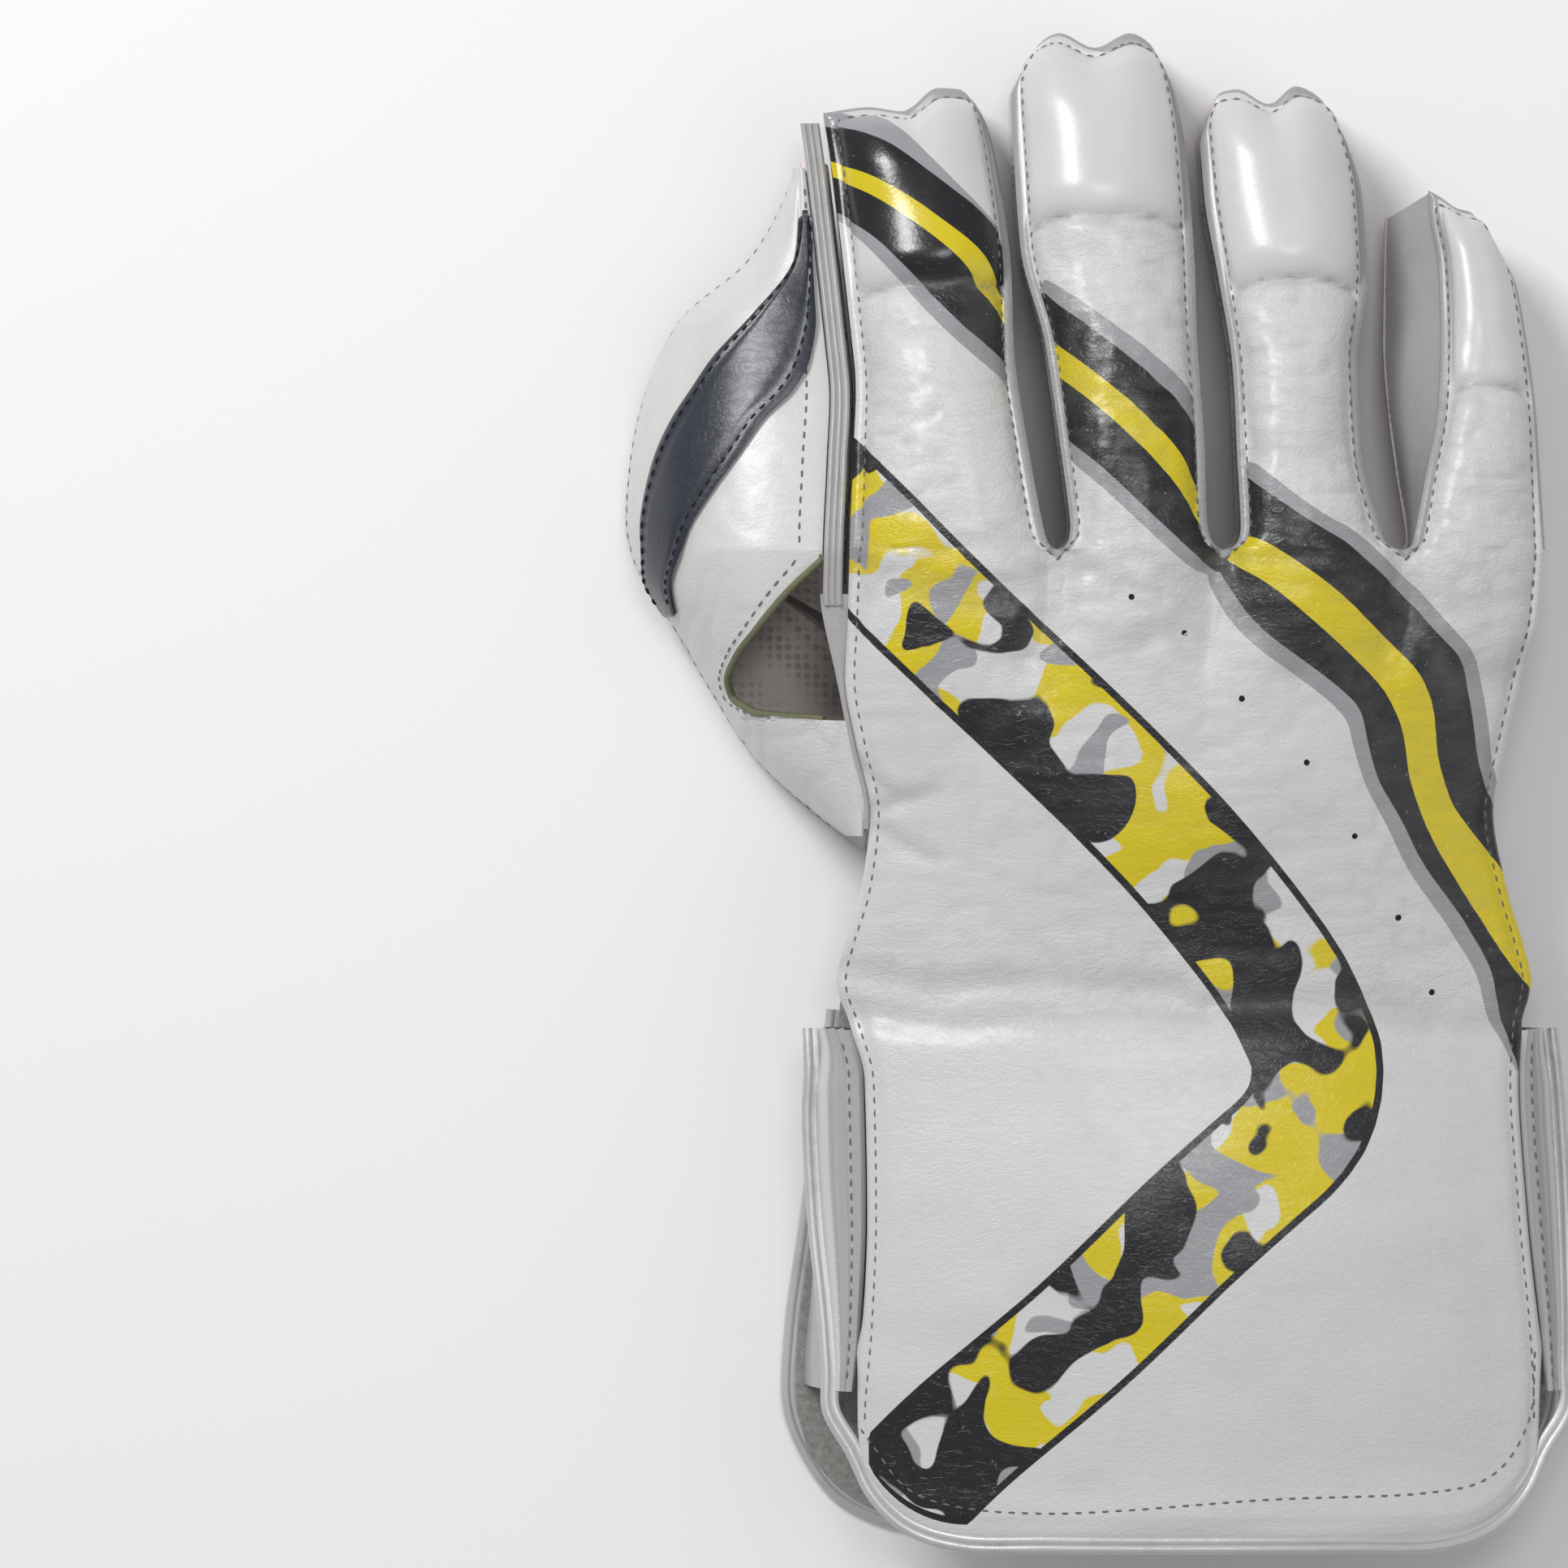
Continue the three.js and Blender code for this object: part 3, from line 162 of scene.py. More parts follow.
# Index, middle, ring and little finger
FINGERS = (
    Finger(
        103.0, 37.0, -10.0,
        [
            (0.05, -0.596), (0.2, -0.536), (0.4, -0.472), (0.65, -0.475), (0.85, -0.48), (0.95, -0.488),
            (1, -0.493),
        ],
        [(0.05, 0.545), (0.2, 0.51), (0.4, 0.482), (0.65, 0.523), (0.85, 0.507), (0.95, 0.474), (1, 0.42)],
        [(0.05, 0), (1, 0)],
        [(0, 0.16), (0.3, 0.125), (0.52, 0.15), (0.75, 0.01), (0.9, 0.02), (1, 0.1)],
        0.565,
    ),
    Finger(
        114.7, 38.0, -9.5,
        [
            (0.05, -0.392), (0.2, -0.409), (0.4, -0.441), (0.6, -0.533), (0.8, -0.52), (0.93, -0.503),
            (1, -0.407),
        ],
        [(0.05, 0.397), (0.2, 0.422), (0.4, 0.438), (0.6, 0.475), (0.8, 0.488), (0.93, 0.471), (1, 0.42)],
        [(0.05, 0), (1, 0)],
        [(0, 0.2), (0.12, 0.05), (0.25, 0), (0.5, 0.085), (0.75, 0), (0.88, 0.05), (1, 0.2)],
        0.635,
    ),
    Finger(
        103.0, 36.0, -7.5,
        [
            (0.05, -0.436), (0.2, -0.422), (0.4, -0.403), (0.6, -0.442), (0.8, -0.483), (0.93, -0.481),
            (1, -0.431),
        ],
        [(0.05, 0.42), (0.2, 0.342), (0.4, 0.361), (0.6, 0.475), (0.8, 0.495), (0.93, 0.44), (1, 0.365)],
        [(0.05, 0), (1, 0)],
        [(0, 0.2), (0.12, 0.04), (0.25, 0.02), (0.5, 0.11), (0.7, 0), (0.88, 0.06), (1, 0.19)],
        0.57,
    ),
    Finger(
        80.0, 30.0, 2.0,
        [(0.05, -0.443), (0.2, -0.373), (0.4, -0.28), (0.6, -0.26), (0.8, -0.28), (0.93, -0.343), (1, -0.36)],
        [(0.05, 0.51), (0.2, 0.48), (0.4, 0.443), (0.6, 0.38), (0.8, 0.293), (0.93, 0.157), (1, 0.06)],
        [(0.05, 0.03), (0.2, 0.17), (0.4, 0.34), (0.6, 0.4), (0.8, 0.38), (0.93, 0.32), (1, 0.3)],
        [(0, 0), (0.25, 0.06), (0.5, 0.13), (0.75, 0.16), (1, 0.3)], 0.45,
    ),
)

BACK_LEFT = [
    (-2, -0.99), (-1.78, -0.993), (-1.6, -0.973), (-1.38, -0.96), (-1.115, -0.967), (-1.01, -1.01),
    (-0.92, -1.05), (-0.835, -1.024), (-0.728, -0.979), (-0.553, -0.952), (-0.417, -0.992), (-0.272, -1.024),
    (-0.155, -1.016), (0, -1.01),
]
BACK_RIGHT = [
    (-2, 1.02), (-1.78, 1.027), (-1.6, 1.013), (-1.38, 0.981), (-1.115, 0.957), (-1.01, 0.97), (-0.92, 0.999),
    (-0.835, 0.973), (-0.728, 0.928), (-0.553, 0.883), (-0.417, 0.917), (-0.272, 0.963), (-0.155, 1.008),
    (0, 1.027),
]
BACK_EDGE = [(-2, 0.66), (-1.45, 0.7), (-1.1, 0.66), (-0.93, 0.59), (-0.55, 0.68), (-0.2, 0.76), (0, 0.79)]
BACK_ARCH = [(-2, 0.28), (-1.45, 0.29), (-1.1, 0.26), (-0.93, 0.26), (-0.55, 0.27), (-0.2, 0.2), (0, 0.14)]
FINGER_AT = (0, 0.2, 0.42, 0.54, 0.66, 0.85, 0.93, 0.975, 1)
FINGER_DROP = (0, 0.07, 0.17, 0.23, 0.29, 0.36, 0.385, 0.395, 0.4)
FINGER_ARCH = (1, 0.8, 0.6, 0.5, 0.4, 0.2, 0.1, 0.05, 0.05)
FINGER_PAD = (0.1, 0.17, 0.2, 0.165, 0.22, 0.21, 0.14, 0, 0)
FINGER_LOWERING = (0, 0.1, 0.35, 0.5, 0.75, 1, 1, 1, 1)
FINGER_BELLY = (0.9, 1, 1, 1, 1, 1, 0.8, 0, 0)
PALM_EDGE = [(-1.09, 0.14), (-0.835, 0.36), (-0.544, 0.44), (-0.252, 0.66), (0, 1)]
PALM_LOWEST = [(-1.09, 0), (-0.835, 0), (-0.544, 0), (-0.252, 0.12), (0, 0.62)]
RUBBER_NOTCH = [
    (-1.09, -0.48), (-0.92, -0.49), (-0.885, -0.6), (-0.845, -0.8), (-0.77, -0.91), (-0.67, -0.955),
    (-0.6, -0.955),
]
WEB_OUTLINE = [
    (0, -0.06), (0.05, 0.16), (0.13, 0.44), (0.21, 0.61), (0.3, 0.78), (0.4, 0.97), (0.45, 1), (0.51, 0.99),
    (0.58, 0.955), (0.66, 0.87), (0.72, 0.765), (0.8, 0.46), (0.86, 0.335), (0.92, 0.265), (1, 0.25),
]
THUMB_HOLE = [
    (0.175, 0), (0.182, 0.38), (0.191, 0.47), (0.207, 0.54), (0.23, 0.558), (0.26, 0.52), (0.3, 0.42),
    (0.35, 0.28), (0.4, 0.1),
]
WEB_EDGE_RISE = [(0, 0), (0.5, 0), (0.66, 0.12), (0.8, 0.38), (0.9, 0.65), (1, 0.95)]
INSERT_INNER = [
    (0.32, 0.92), (0.36, 0.84), (0.4, 0.73), (0.44, 0.65), (0.49, 0.54), (0.535, 0.43), (0.58, 0.33),
    (0.62, 0.19), (0.665, 0.09), (0.725, 0.04), (0.8, 0.04), (0.865, 0.08),
]
INSERT_OUTER = [
    (0.32, 0.985), (0.36, 0.975), (0.4, 0.93), (0.44, 0.905), (0.49, 0.885), (0.535, 0.85), (0.58, 0.8),
    (0.62, 0.735), (0.665, 0.65), (0.725, 0.47), (0.8, 0.29), (0.865, 0.2),
]
CUFF_PALM_LEFT = [(-2, -1.13), (-1.7, -1.165), (-1.38, -1.11), (-1.03, -1.04), (-0.95, -1.03)]
CUFF_PALM_RIGHT = [(-2, 1.02), (-1.7, 1.065), (-1.38, 1.055), (-1.03, 1.0), (-0.95, 0.99)]


def mix(a: Array | float, b: Array | float, share: Array | float) -> Array:
    """Blend of a and b at a share."""
    return a + (b - a) * share


def ease(value: Array | float, start: float, over: float) -> Array:
    """Smooth passage from 0 to 1.

    Args:
        value: Where to look.
        start: Where the passage starts.
        over: How long it takes.

    Returns:
        The share passed.
    """
    held = np.clip((np.asarray(value, float) - start) / over, 0.0, 1.0)
    return held * held * (3.0 - 2.0 * held)


def bump(value: Array, width: float) -> Array:
    """A rounded hump, 1 at zero and gone at about twice the width."""
    return np.exp(-((value / width) ** 2))


def unit(vectors: Array) -> Array:
    """Vectors brought to a length of one."""
    return vectors / np.maximum(np.linalg.norm(vectors, axis=-1, keepdims=True), TINY)


def circle(up: Array, toward: tuple[float, float, float], sides: int) -> Array:
    """Corners of a circle of radius one.

    Args:
        up: The direction that it faces.
        toward: Any direction across that one, which says where the first corner lies.
        sides: Number of corners.

    Returns:
        The corners, one row each.
    """
    side = unit(np.cross(up, toward))
    turns = np.arange(sides) * 2 * math.pi / sides
    return side * np.cos(turns)[:, None] + np.cross(up, side) * np.sin(turns)[:, None]


class Curve:
    """A smooth curve through a table of points, without overshoot between them."""

    def __init__(self, rows: Iterable[tuple[float, float]]) -> None:
        """Set up the curve.

        Args:
            rows: Pairs of input and output, with rising inputs.
        """
        table = np.array(list(rows), float)
        self.x, self.y = table[:, 0], table[:, 1]
        slope = np.diff(self.y) / np.diff(self.x)
        before, after = np.append(slope[:1], slope), np.append(slope, slope[-1:])
        total = np.where(before + after == 0, 1.0, before + after)
        self.tangent = np.where(before * after <= 0, 0.0, 2 * before * after / total)

    def __call__(self, value: Array | float) -> Array:
        """The curve's output at a value, held at its ends.

        Args:
            value: Where to look.

        Returns:
            The output there.
        """
        value = np.asarray(value, float)
        high = np.clip(np.searchsorted(self.x, value), 1, len(self.x) - 1)
        low = high - 1
        span = self.x[high] - self.x[low]
        t = np.clip((value - self.x[low]) / span, 0.0, 1.0)
        rise = self.y[high] - self.y[low]
        start, end = self.tangent[low] * span, self.tangent[high] * span
        return self.y[low] + t * (start + t * (3 * rise - 2 * start - end + t * (start + end - 2 * rise)))


class SoftNoise:
    """Smooth seeded noise in the plan, from 0 to 1."""

    def __init__(self, seed: int) -> None:
        """Draw the noise's lattice from a seed."""
        self.lattice = np.random.default_rng(seed).random((LATTICE, LATTICE))

    def __call__(self, x: Array, y: Array) -> Array:
        """Noise at points whose unit is one lattice cell.

        Args:
            x: Places in the plan, in lattice cells.
            y: The same along the other axis.

        Returns:
            The noise, from 0 to 1.
        """
        column, row = np.floor(x).astype(int), np.floor(y).astype(int)
        u, v = x - column, y - row
        u, v = u * u * (3 - 2 * u), v * v * (3 - 2 * v)
        low, high = (mix(self.at(column, row + up), self.at(column + 1, row + up), u) for up in (0, 1))
        return mix(low, high, v)

    def at(self, column: Array, row: Array) -> Array:
        """The lattice at whole places; it repeats beyond its edges."""
        return self.lattice[row % LATTICE, column % LATTICE]

    def layered(self, x: Array, y: Array, layers: int = 3) -> Array:
        """Several octaves of the noise, each half as strong as the one before.

        Args:
            x: Places in the plan, in lattice cells.
            y: The same along the other axis.
            layers: Number of octaves.

        Returns:
            The noise, from 0 to 1.
        """
        total, strength, reach = 0.0, 0.0, 1.0
        for layer in range(layers):
            total = total + reach * self(x * 2**layer + 17 * layer, y * 2**layer + 31 * layer)
            strength += reach
            reach *= 0.5
        return total / strength

    def creased(self, x: Array, y: Array) -> Array:
        """Narrow lines of 1 on 0, where the noise passes its middle."""
        return np.clip(1 - np.abs(2 * self(x, y) - 1) * 2.2, 0, 1) ** 1.5


def to_line(points: Array, line: Line) -> Array:
    """Distance in the plan from points to an open line.

    Args:
        points: One row of x and y for each point.
        line: The line's corners.

    Returns:
        The distance of each point.
    """
    corners = np.array(line, float)
    best = np.full(len(points), 1e9)
    for start, end in zip(corners[:-1], corners[1:], strict=True):
        way = end - start
        t = np.clip(((points - start) @ way) / max(way @ way, 1e-9), 0, 1)
        best = np.minimum(best, np.linalg.norm(points - start - t[:, None] * way, axis=1))
    return best


def within(points: Array, outline: Line) -> Array:
    """How far inside a closed outline each point lies, in millimetres, and below zero outside it.

    Args:
        points: One row of x and y for each point.
        outline: The outline's corners.

    Returns:
        The distances.
    """
    corners = np.array(outline, float)
    inside = np.zeros(len(points), bool)
    x, y = points[:, 0], points[:, 1]
    for (x0, y0), (x1, y1) in zip(corners, np.roll(corners, -1, 0), strict=True):
        if y0 != y1:
            crosses = (y0 > y) != (y1 > y)
            inside ^= crosses & (x < (x1 - x0) * (y - y0) / (y1 - y0) + x0)
    distance = to_line(points, [*outline, outline[0]])
    return np.where(inside, distance, -distance)


def spaced(start: float, end: float, step: float) -> Array:
    """Evenly spaced values from start to end, about a step apart."""
    return np.linspace(start, end, max(2, round(abs(end - start) / step) + 1))


class GloveShape:
    """The glove's form: every seam and face as a function, in millimetres from the middle of the hem."""

    def __init__(self) -> None:
        """Turn the tables into curves and set out the finger roots."""
        self.back_left, self.back_right = Curve(BACK_LEFT), Curve(BACK_RIGHT)
        self.back_edge, self.back_arch = Curve(BACK_EDGE), Curve(BACK_ARCH)
        self.drop, self.arch, self.pad, self.lowering, self.belly = (
            Curve(zip(FINGER_AT, values, strict=True))
            for values in (FINGER_DROP, FINGER_ARCH, FINGER_PAD, FINGER_LOWERING, FINGER_BELLY)
        )
        self.palm_edge, self.palm_lowest, self.notch = map(Curve, (PALM_EDGE, PALM_LOWEST, RUBBER_NOTCH))
        self.web_out, self.hole_out, self.web_rise = map(Curve, (WEB_OUTLINE, THUMB_HOLE, WEB_EDGE_RISE))
        self.insert_inner, self.insert_outer = Curve(INSERT_INNER), Curve(INSERT_OUTER)
        self.cuff_palm_left, self.cuff_palm_right = Curve(CUFF_PALM_LEFT), Curve(CUFF_PALM_RIGHT)
        self.root_left, self.root_right = float(self.body_edge(-1, 0)), float(self.body_edge(1, 0))
        roots = [self.root_left, *[(share - 0.5) * PALM_WIDTH for share in CROTCHES], self.root_right]
        self.roots = list(zip(roots[:-1], roots[1:], strict=True))
        self.axes = [(left + right) / 2 for left, right in self.roots]
        self.edges: list[tuple[Curve, Curve, Curve, Curve]] = []
        for i, finger in enumerate(FINGERS):
            (left, right), axis = self.roots[i], self.axes[i]
            self.edges.append((
                Curve(self.rounded_start((left - axis) / finger.width, finger.left, i > 0)),
                Curve(self.rounded_start((right - axis) / finger.width, finger.right, i < len(FINGERS) - 1)),
                Curve([(0, 0), *finger.roll]),
                Curve(finger.tip),
            ))
        index = FINGERS[0]
        self.index_corner = BODY_LENGTH + index.length - index.tip[0][1] * index.width
        self.thumb_root = CUFF_LENGTH + (1 + THUMB_ROOT_STATION) * HAND_LENGTH
        self.web_length = self.index_corner - self.thumb_root
        self.hand_line = -PALM_WIDTH / 2
        self.web_edge_rest = FLOOR_LIFT + RUBBER_WALL + SEAM_GAP
        self.cuff_palm_top = float(self.along(PALM_START)) - SEAM_GAP

    def rounded_start(self, root: float, line: Line, between: bool) -> Line:
        """A finger's edge from its root; between two fingers it starts like one side of a U."""
        first = line[0][1]
        rounding = [(0.008, mix(root, first, 0.5)), (0.024, mix(root, first, 0.83))] if between else []
        return [(0, root), *rounding, *line]

    def along(self, station: Array | float) -> Array:
        """Distance from the hem of a station: -2 at the hem, -1 at the wrist, 0 at the finger crotches."""
        station = np.asarray(station, float)
        return np.where(station < -1, (station + 2) * CUFF_LENGTH, CUFF_LENGTH + (station + 1) * HAND_LENGTH)

    def station(self, along: Array | float) -> Array:
        """Station at a distance from the hem."""
        along = np.asarray(along, float)
        return np.where(along < CUFF_LENGTH, along / CUFF_LENGTH - 2, (along - CUFF_LENGTH) / HAND_LENGTH - 1)

    def body_edge(self, side: int, station: Array | float) -> Array:
        """Side seam of the cuff and hand, on the thumb side (-1) or the outer side (1)."""
        half = mix(CUFF_WIDTH, PALM_WIDTH, ease(station, -1.2, 0.4)) / 2
        return half * (self.back_left(station) if side < 0 else self.back_right(station))

    def finger_share(self, width: float, column: Array) -> Array:
        """Share across a finger of a column, with a flat flange at each edge.

        Args:
            width: The finger's width.
            column: Columns across the finger.

        Returns:
            The shares.
        """
        flange = FLANGE / width
        pads = mix(flange, 1 - flange, np.clip((column - 1) / 4, 0, 1))
        outer = mix(1 - flange, 1.0, column - 5)
        return np.where(column < 1, flange * column, np.where(column > 5, outer, pads))

    def rounded(self, column: Array) -> Array:
        """Padding across a finger, zero on both flanges."""
        return 1 - np.abs(2 * np.clip((column - 1) / 4, 0, 1) - 1) ** ARCH_POWER

    def across_body(self, finger: int, column: Array) -> Array:
        """Share across the hand of a finger's column at the crotch line."""
        left, right = self.roots[finger]
        share = self.finger_share(right - left, column)
        return (mix(left, right, share) - self.root_left) / (self.root_right - self.root_left)

    def hem_rise(self, across: Array, width: Array | float) -> Array:
        """How far the hem has risen round the cuff's corners."""
        edge = np.minimum(across, 1 - across) * width
        inward = np.clip(1 - edge / HEM_CORNER, 0, 1)
        return HEM_CORNER * (1 - np.sqrt(1 - inward * inward))

    def seam_level(self, across: Array | float, station: Array | float) -> Array:
        """Height of the back without its padding.

        Args:
            across: Shares across, from the thumb side.
            station: Stations along the glove.

        Returns:
            The heights.
        """
        fingered = np.maximum(0, station)
        edge = self.back_edge(station) - self.drop(fingered)
        centred = 2 * np.asarray(across) - 1
        arch = self.back_arch(station) * (1 - np.abs(centred) ** ARCH_POWER) * self.arch(fingered)
        return BACK_HEIGHT * (edge + arch + BACK_TILT * -centred * self.arch(fingered))

    def finger_plan(self, finger: int, column: Array, station: Array) -> tuple[Array, Array, Array, Array]:
        """Left edge, right edge, share across and distance from the hem of a place on a finger.

        Args:
            finger: Number of the finger, from 0 at the index finger.
            column: Columns across the finger.
            station: Stations along the glove.

        Returns:
            The four values at each place.
        """
        form = FINGERS[finger]
        left_at, right_at, _, tip = self.edges[finger]
        axis = self.axes[finger] + form.lean * station
        share = self.finger_share(form.width, column)
        drop = tip(share) * form.width * station**3
        left, right = axis + form.width * left_at(station), axis + form.width * right_at(station)
        return left, right, share, BODY_LENGTH + station * form.length - drop

    def back(self, finger: int, column: Array, station: Array) -> Array:
        """Outer face of the back, on the cuff and hand or on one finger.

        Args:
            finger: Number of the finger, from 0 at the index finger.
            column: Columns across the finger.
            station: Stations along the glove.

        Returns:
            The points, one row each.
        """
        width = FINGERS[finger].width
        across = self.across_body(finger, column)
        up = np.maximum(station, 0)
        left, right, share, y = self.finger_plan(finger, column, up)
        level = self.seam_level(across, station)
        pad = width * self.pad(up) * self.rounded(column)
        body_left, body_right = self.body_edge(-1, station), self.body_edge(1, station)
        corner = self.hem_rise(across, body_right - body_left) * (1 - ease(station, -2, 0.5))
        on_body = np.stack([
            mix(body_left, body_right, across),
            self.along(station) + corner,
            level + pad * ease(station, -0.45, 0.45),
        ], -1)
        on_finger = np.stack([mix(left, right, share), y, level + pad], -1)
        return np.where((station > 0)[..., None], on_finger, on_body)

    def palm(self, finger: int, column: Array, station: Array) -> Array:
        """Outer face of the palm rubber, which looks down.

        Args:
            finger: Number of the finger, from 0 at the index finger.
            column: Columns across the finger.
            station: Stations along the glove.

        Returns:
            The points, one row each.
        """
        width = FINGERS[finger].width
        up = np.maximum(station, 0)
        left, right, share, y = self.finger_plan(finger, column, up)
        roll = width * self.edges[finger][2](up)
        round_shape = self.rounded(column)
        seam = mix(CROTCH_LIFT, PALM_BELLY, self.lowering(up))
        on_finger = np.stack([
            mix(left - roll, right, share),
            y - ROLLED_DROP_SHARE * roll * (1 - share) * up**3,
            seam - PALM_BELLY * self.belly(up) * round_shape,
        ], -1)
        across = self.across_body(finger, column)
        notched = (PALM_WIDTH / 2) * self.notch(station)
        body_left = np.where(station < THUMB_ROOT_STATION, notched, self.body_edge(-1, station))
        body_right = self.body_edge(1, station) - RUBBER_TUCK * (1 - ease(station, -1, 0.08))
        thumb_side = np.where(across < 0.5, mix(THUMB_SIDE_BOWL, 1, ease(station, -0.19, 0.19)), 1)
        bowl = np.abs(2 * across - 1) ** ARCH_POWER * thumb_side
        z = CROTCH_LIFT * mix(self.palm_lowest(station), self.palm_edge(station), bowl)
        fingered = CROTCH_LIFT - PALM_BELLY * self.belly(0) * round_shape
        on_body = np.stack([
            mix(body_left, body_right, across),
            self.along(station),
            mix(z, fingered, ease(station, -0.4, 0.4) ** 2),
        ], -1)
        return np.where((station > 0)[..., None], on_finger, on_body)

    def web_seam(self, at: Array | float) -> Array:
        """The web's side of the index seam, at a share of the web's length.

        Args:
            at: Shares of the web's length.

        Returns:
            The points, one row each.
        """
        along = self.thumb_root + np.asarray(at, float) * self.web_length
        strip = (SEAM_STRIP_WIDTH + 2 * SEAM_GAP) * ease(at, 0.2, 0.15) + CHORD_GAP + SEAM_GAP
        below = self.station(np.minimum(along, BODY_LENGTH))
        above = np.clip((along - BODY_LENGTH) / (self.index_corner - BODY_LENGTH), 0, None)
        left = self.finger_plan(0, np.zeros_like(above), above)[0]
        on_hand = along < BODY_LENGTH
        x = np.where(on_hand, self.body_edge(-1, below), left) - strip
        z = np.where(on_hand, self.seam_level(0.0, below), self.seam_level(0.0, above))
        return np.stack([x, along, z], -1)

    def web(self, at: Array, turn: Array) -> Array:
        """Outer face of the web leather; turn runs from the seam (0) to the outer edge (1).

        Args:
            at: Shares of the web's length.
            turn: 0 at the seam, 1 at the outer edge.

        Returns:
            The points, one row each.
        """
        seam = self.web_seam(at)
        out = self.hand_line - self.web_out(at) * THUMB_REACH
        angle = np.asarray(turn) * math.pi / 2
        across = np.sin(angle) ** (2 / ARCH_POWER)
        top = seam[..., 2] - SEAM_GAP
        edge = mix(self.web_edge_rest, top, self.web_rise(at))
        return np.stack([mix(seam[..., 0], out, across), seam[..., 1], mix(edge, top, np.cos(angle))], -1)

    def turn_at(self, across: Array) -> Array:
        """The turn at which the web reaches a share of its width."""
        return np.arcsin(np.clip(across, 0, 1) ** (ARCH_POWER / 2)) * 2 / math.pi

    def web_normal(self, at: Array, turn: Array) -> Array:
        """Outward direction of the web's face.

        Args:
            at: Shares of the web's length.
            turn: 0 at the seam, 1 at the outer edge.

        Returns:
            The directions, of length one.
        """
        step = NORMAL_STEP
        way = self.web(np.minimum(1, at + step), turn) - self.web(np.maximum(0, at - step), turn)
        side = self.web(at, np.minimum(1, turn + step)) - self.web(at, np.maximum(0, turn - step))
        return unit(np.cross(way, side))

    def hole_turn(self, at: Array) -> Array:
        """The turn at which the open hole at the thumb's root ends, and 0 beside it.

        Args:
            at: Shares of the web's length.

        Returns:
            The turns.
        """
        seam = self.web_seam(at)[..., 0]
        out = self.hand_line - self.web_out(at) * THUMB_REACH
        edge = self.hand_line - self.hole_out(at) * THUMB_REACH
        turn = self.turn_at(np.maximum(0, (seam - edge) / (seam - out)))
        return np.where((at <= THUMB_HOLE[0][0]) | (at > THUMB_HOLE[-1][0]), 0, turn)

    def thumb_rubber(self, station: Array, across: Array) -> Array:
        """Outer face of the rubber from the palm's edge out to the thumb tip.

        Args:
            station: Stations along the glove.
            across: 0 at the palm's edge, 1 at the thumb's outer edge.

        Returns:
            The points, one row each.
        """
        start = self.palm(0, np.zeros_like(station), station)
        share = np.clip((station - THUMB_BLOCK[0]) / (THUMB_BLOCK[1] - THUMB_BLOCK[0]), 0, 1)
        y = self.along(station) + SLANT_RISE * share**2 * across
        out = self.hand_line - self.web_out((y - self.thumb_root) / self.web_length) * THUMB_REACH
        return np.stack([mix(start[..., 0], out, across), y, mix(start[..., 2], FLOOR_LIFT, across)], -1)

    def index_palm_seam(self, along: Array) -> Array:
        """Palm-side seam of the index finger at a distance from the hem."""
        below = self.station(np.minimum(along, BODY_LENGTH))
        above = (along - BODY_LENGTH) / (self.index_corner - BODY_LENGTH)
        return self.palm(0, np.zeros_like(along), np.where(along < BODY_LENGTH, below, above))

    def web_rubber(self, share: Array, column: Array) -> Array:
        """Rubber under the web: two columns climb from the palm's seam, five more run to the outer edge.

        Args:
            share: Shares of the seam, from the slit to the fingertip.
            column: 0 to 7, from the seam to the outer edge.

        Returns:
            The points, one row each.
        """
        climbing = column < 2
        turn = 0.2 + (np.clip(column, 2, 7) - 2) / 5 * 0.8
        start = float(self.along(SLIT[1])) + SEAM_GAP
        seam_along = mix(start, self.index_corner, share)
        seam = self.index_palm_seam(seam_along)
        slant = np.where(climbing, 0, np.sin(turn * math.pi / 2))
        along = seam_along + SLANT_RISE * (1 - share) ** 2 * slant
        at = np.minimum(WEB_RUBBER_END, (along - self.thumb_root) / self.web_length)
        depth = WEB_WALL + SEAM_GAP + WEB_RUBBER_WALL
        under = self.web(at, turn) - self.web_normal(at, turn) * depth
        low = under.copy()
        low[..., 2] = mix(seam[..., 2], WEB_RUBBER_REST, ease(column, 0, 4))
        point = mix(low, under, ease(share, 0, 0.2)[..., None])
        climb = np.clip(column / 2, 0, 1)
        x = seam[..., 0] - SEAM_GAP - WEB_RUBBER_WALL - FLOOR_LIFT * climb
        foot = np.stack([
            x, mix(seam_along, point[..., 1], climb), mix(seam[..., 2], point[..., 2], climb)
        ], -1)
        return np.where(climbing[..., None], foot, point)

    def cuff_palm(self, across: Array, share: Array) -> Array:
        """Outer face of the cuff's palm panel, flat on the ground but for its lifted sides.

        Args:
            across: Shares across, from the thumb side.
            share: Shares of the length, from the hem.

        Returns:
            The points, one row each.
        """
        top = self.cuff_palm_top + CUFF_PALM_SHOULDER * np.maximum(0, 1 - across / SHOULDER_SHARE)
        y = mix(PIPING_RADIUS + self.hem_rise(across, CUFF_WIDTH), top, share)
        station = self.station(y)
        x = mix(self.cuff_palm_left(station), self.cuff_palm_right(station), across) * (CUFF_WIDTH / 2)
        lifted = ease(np.abs(2 * across - 1), 1 - LIFTED_SHARE, LIFTED_SHARE)
        return np.stack([x, y, CUFF_LIFT * lifted + 0 * x], -1)

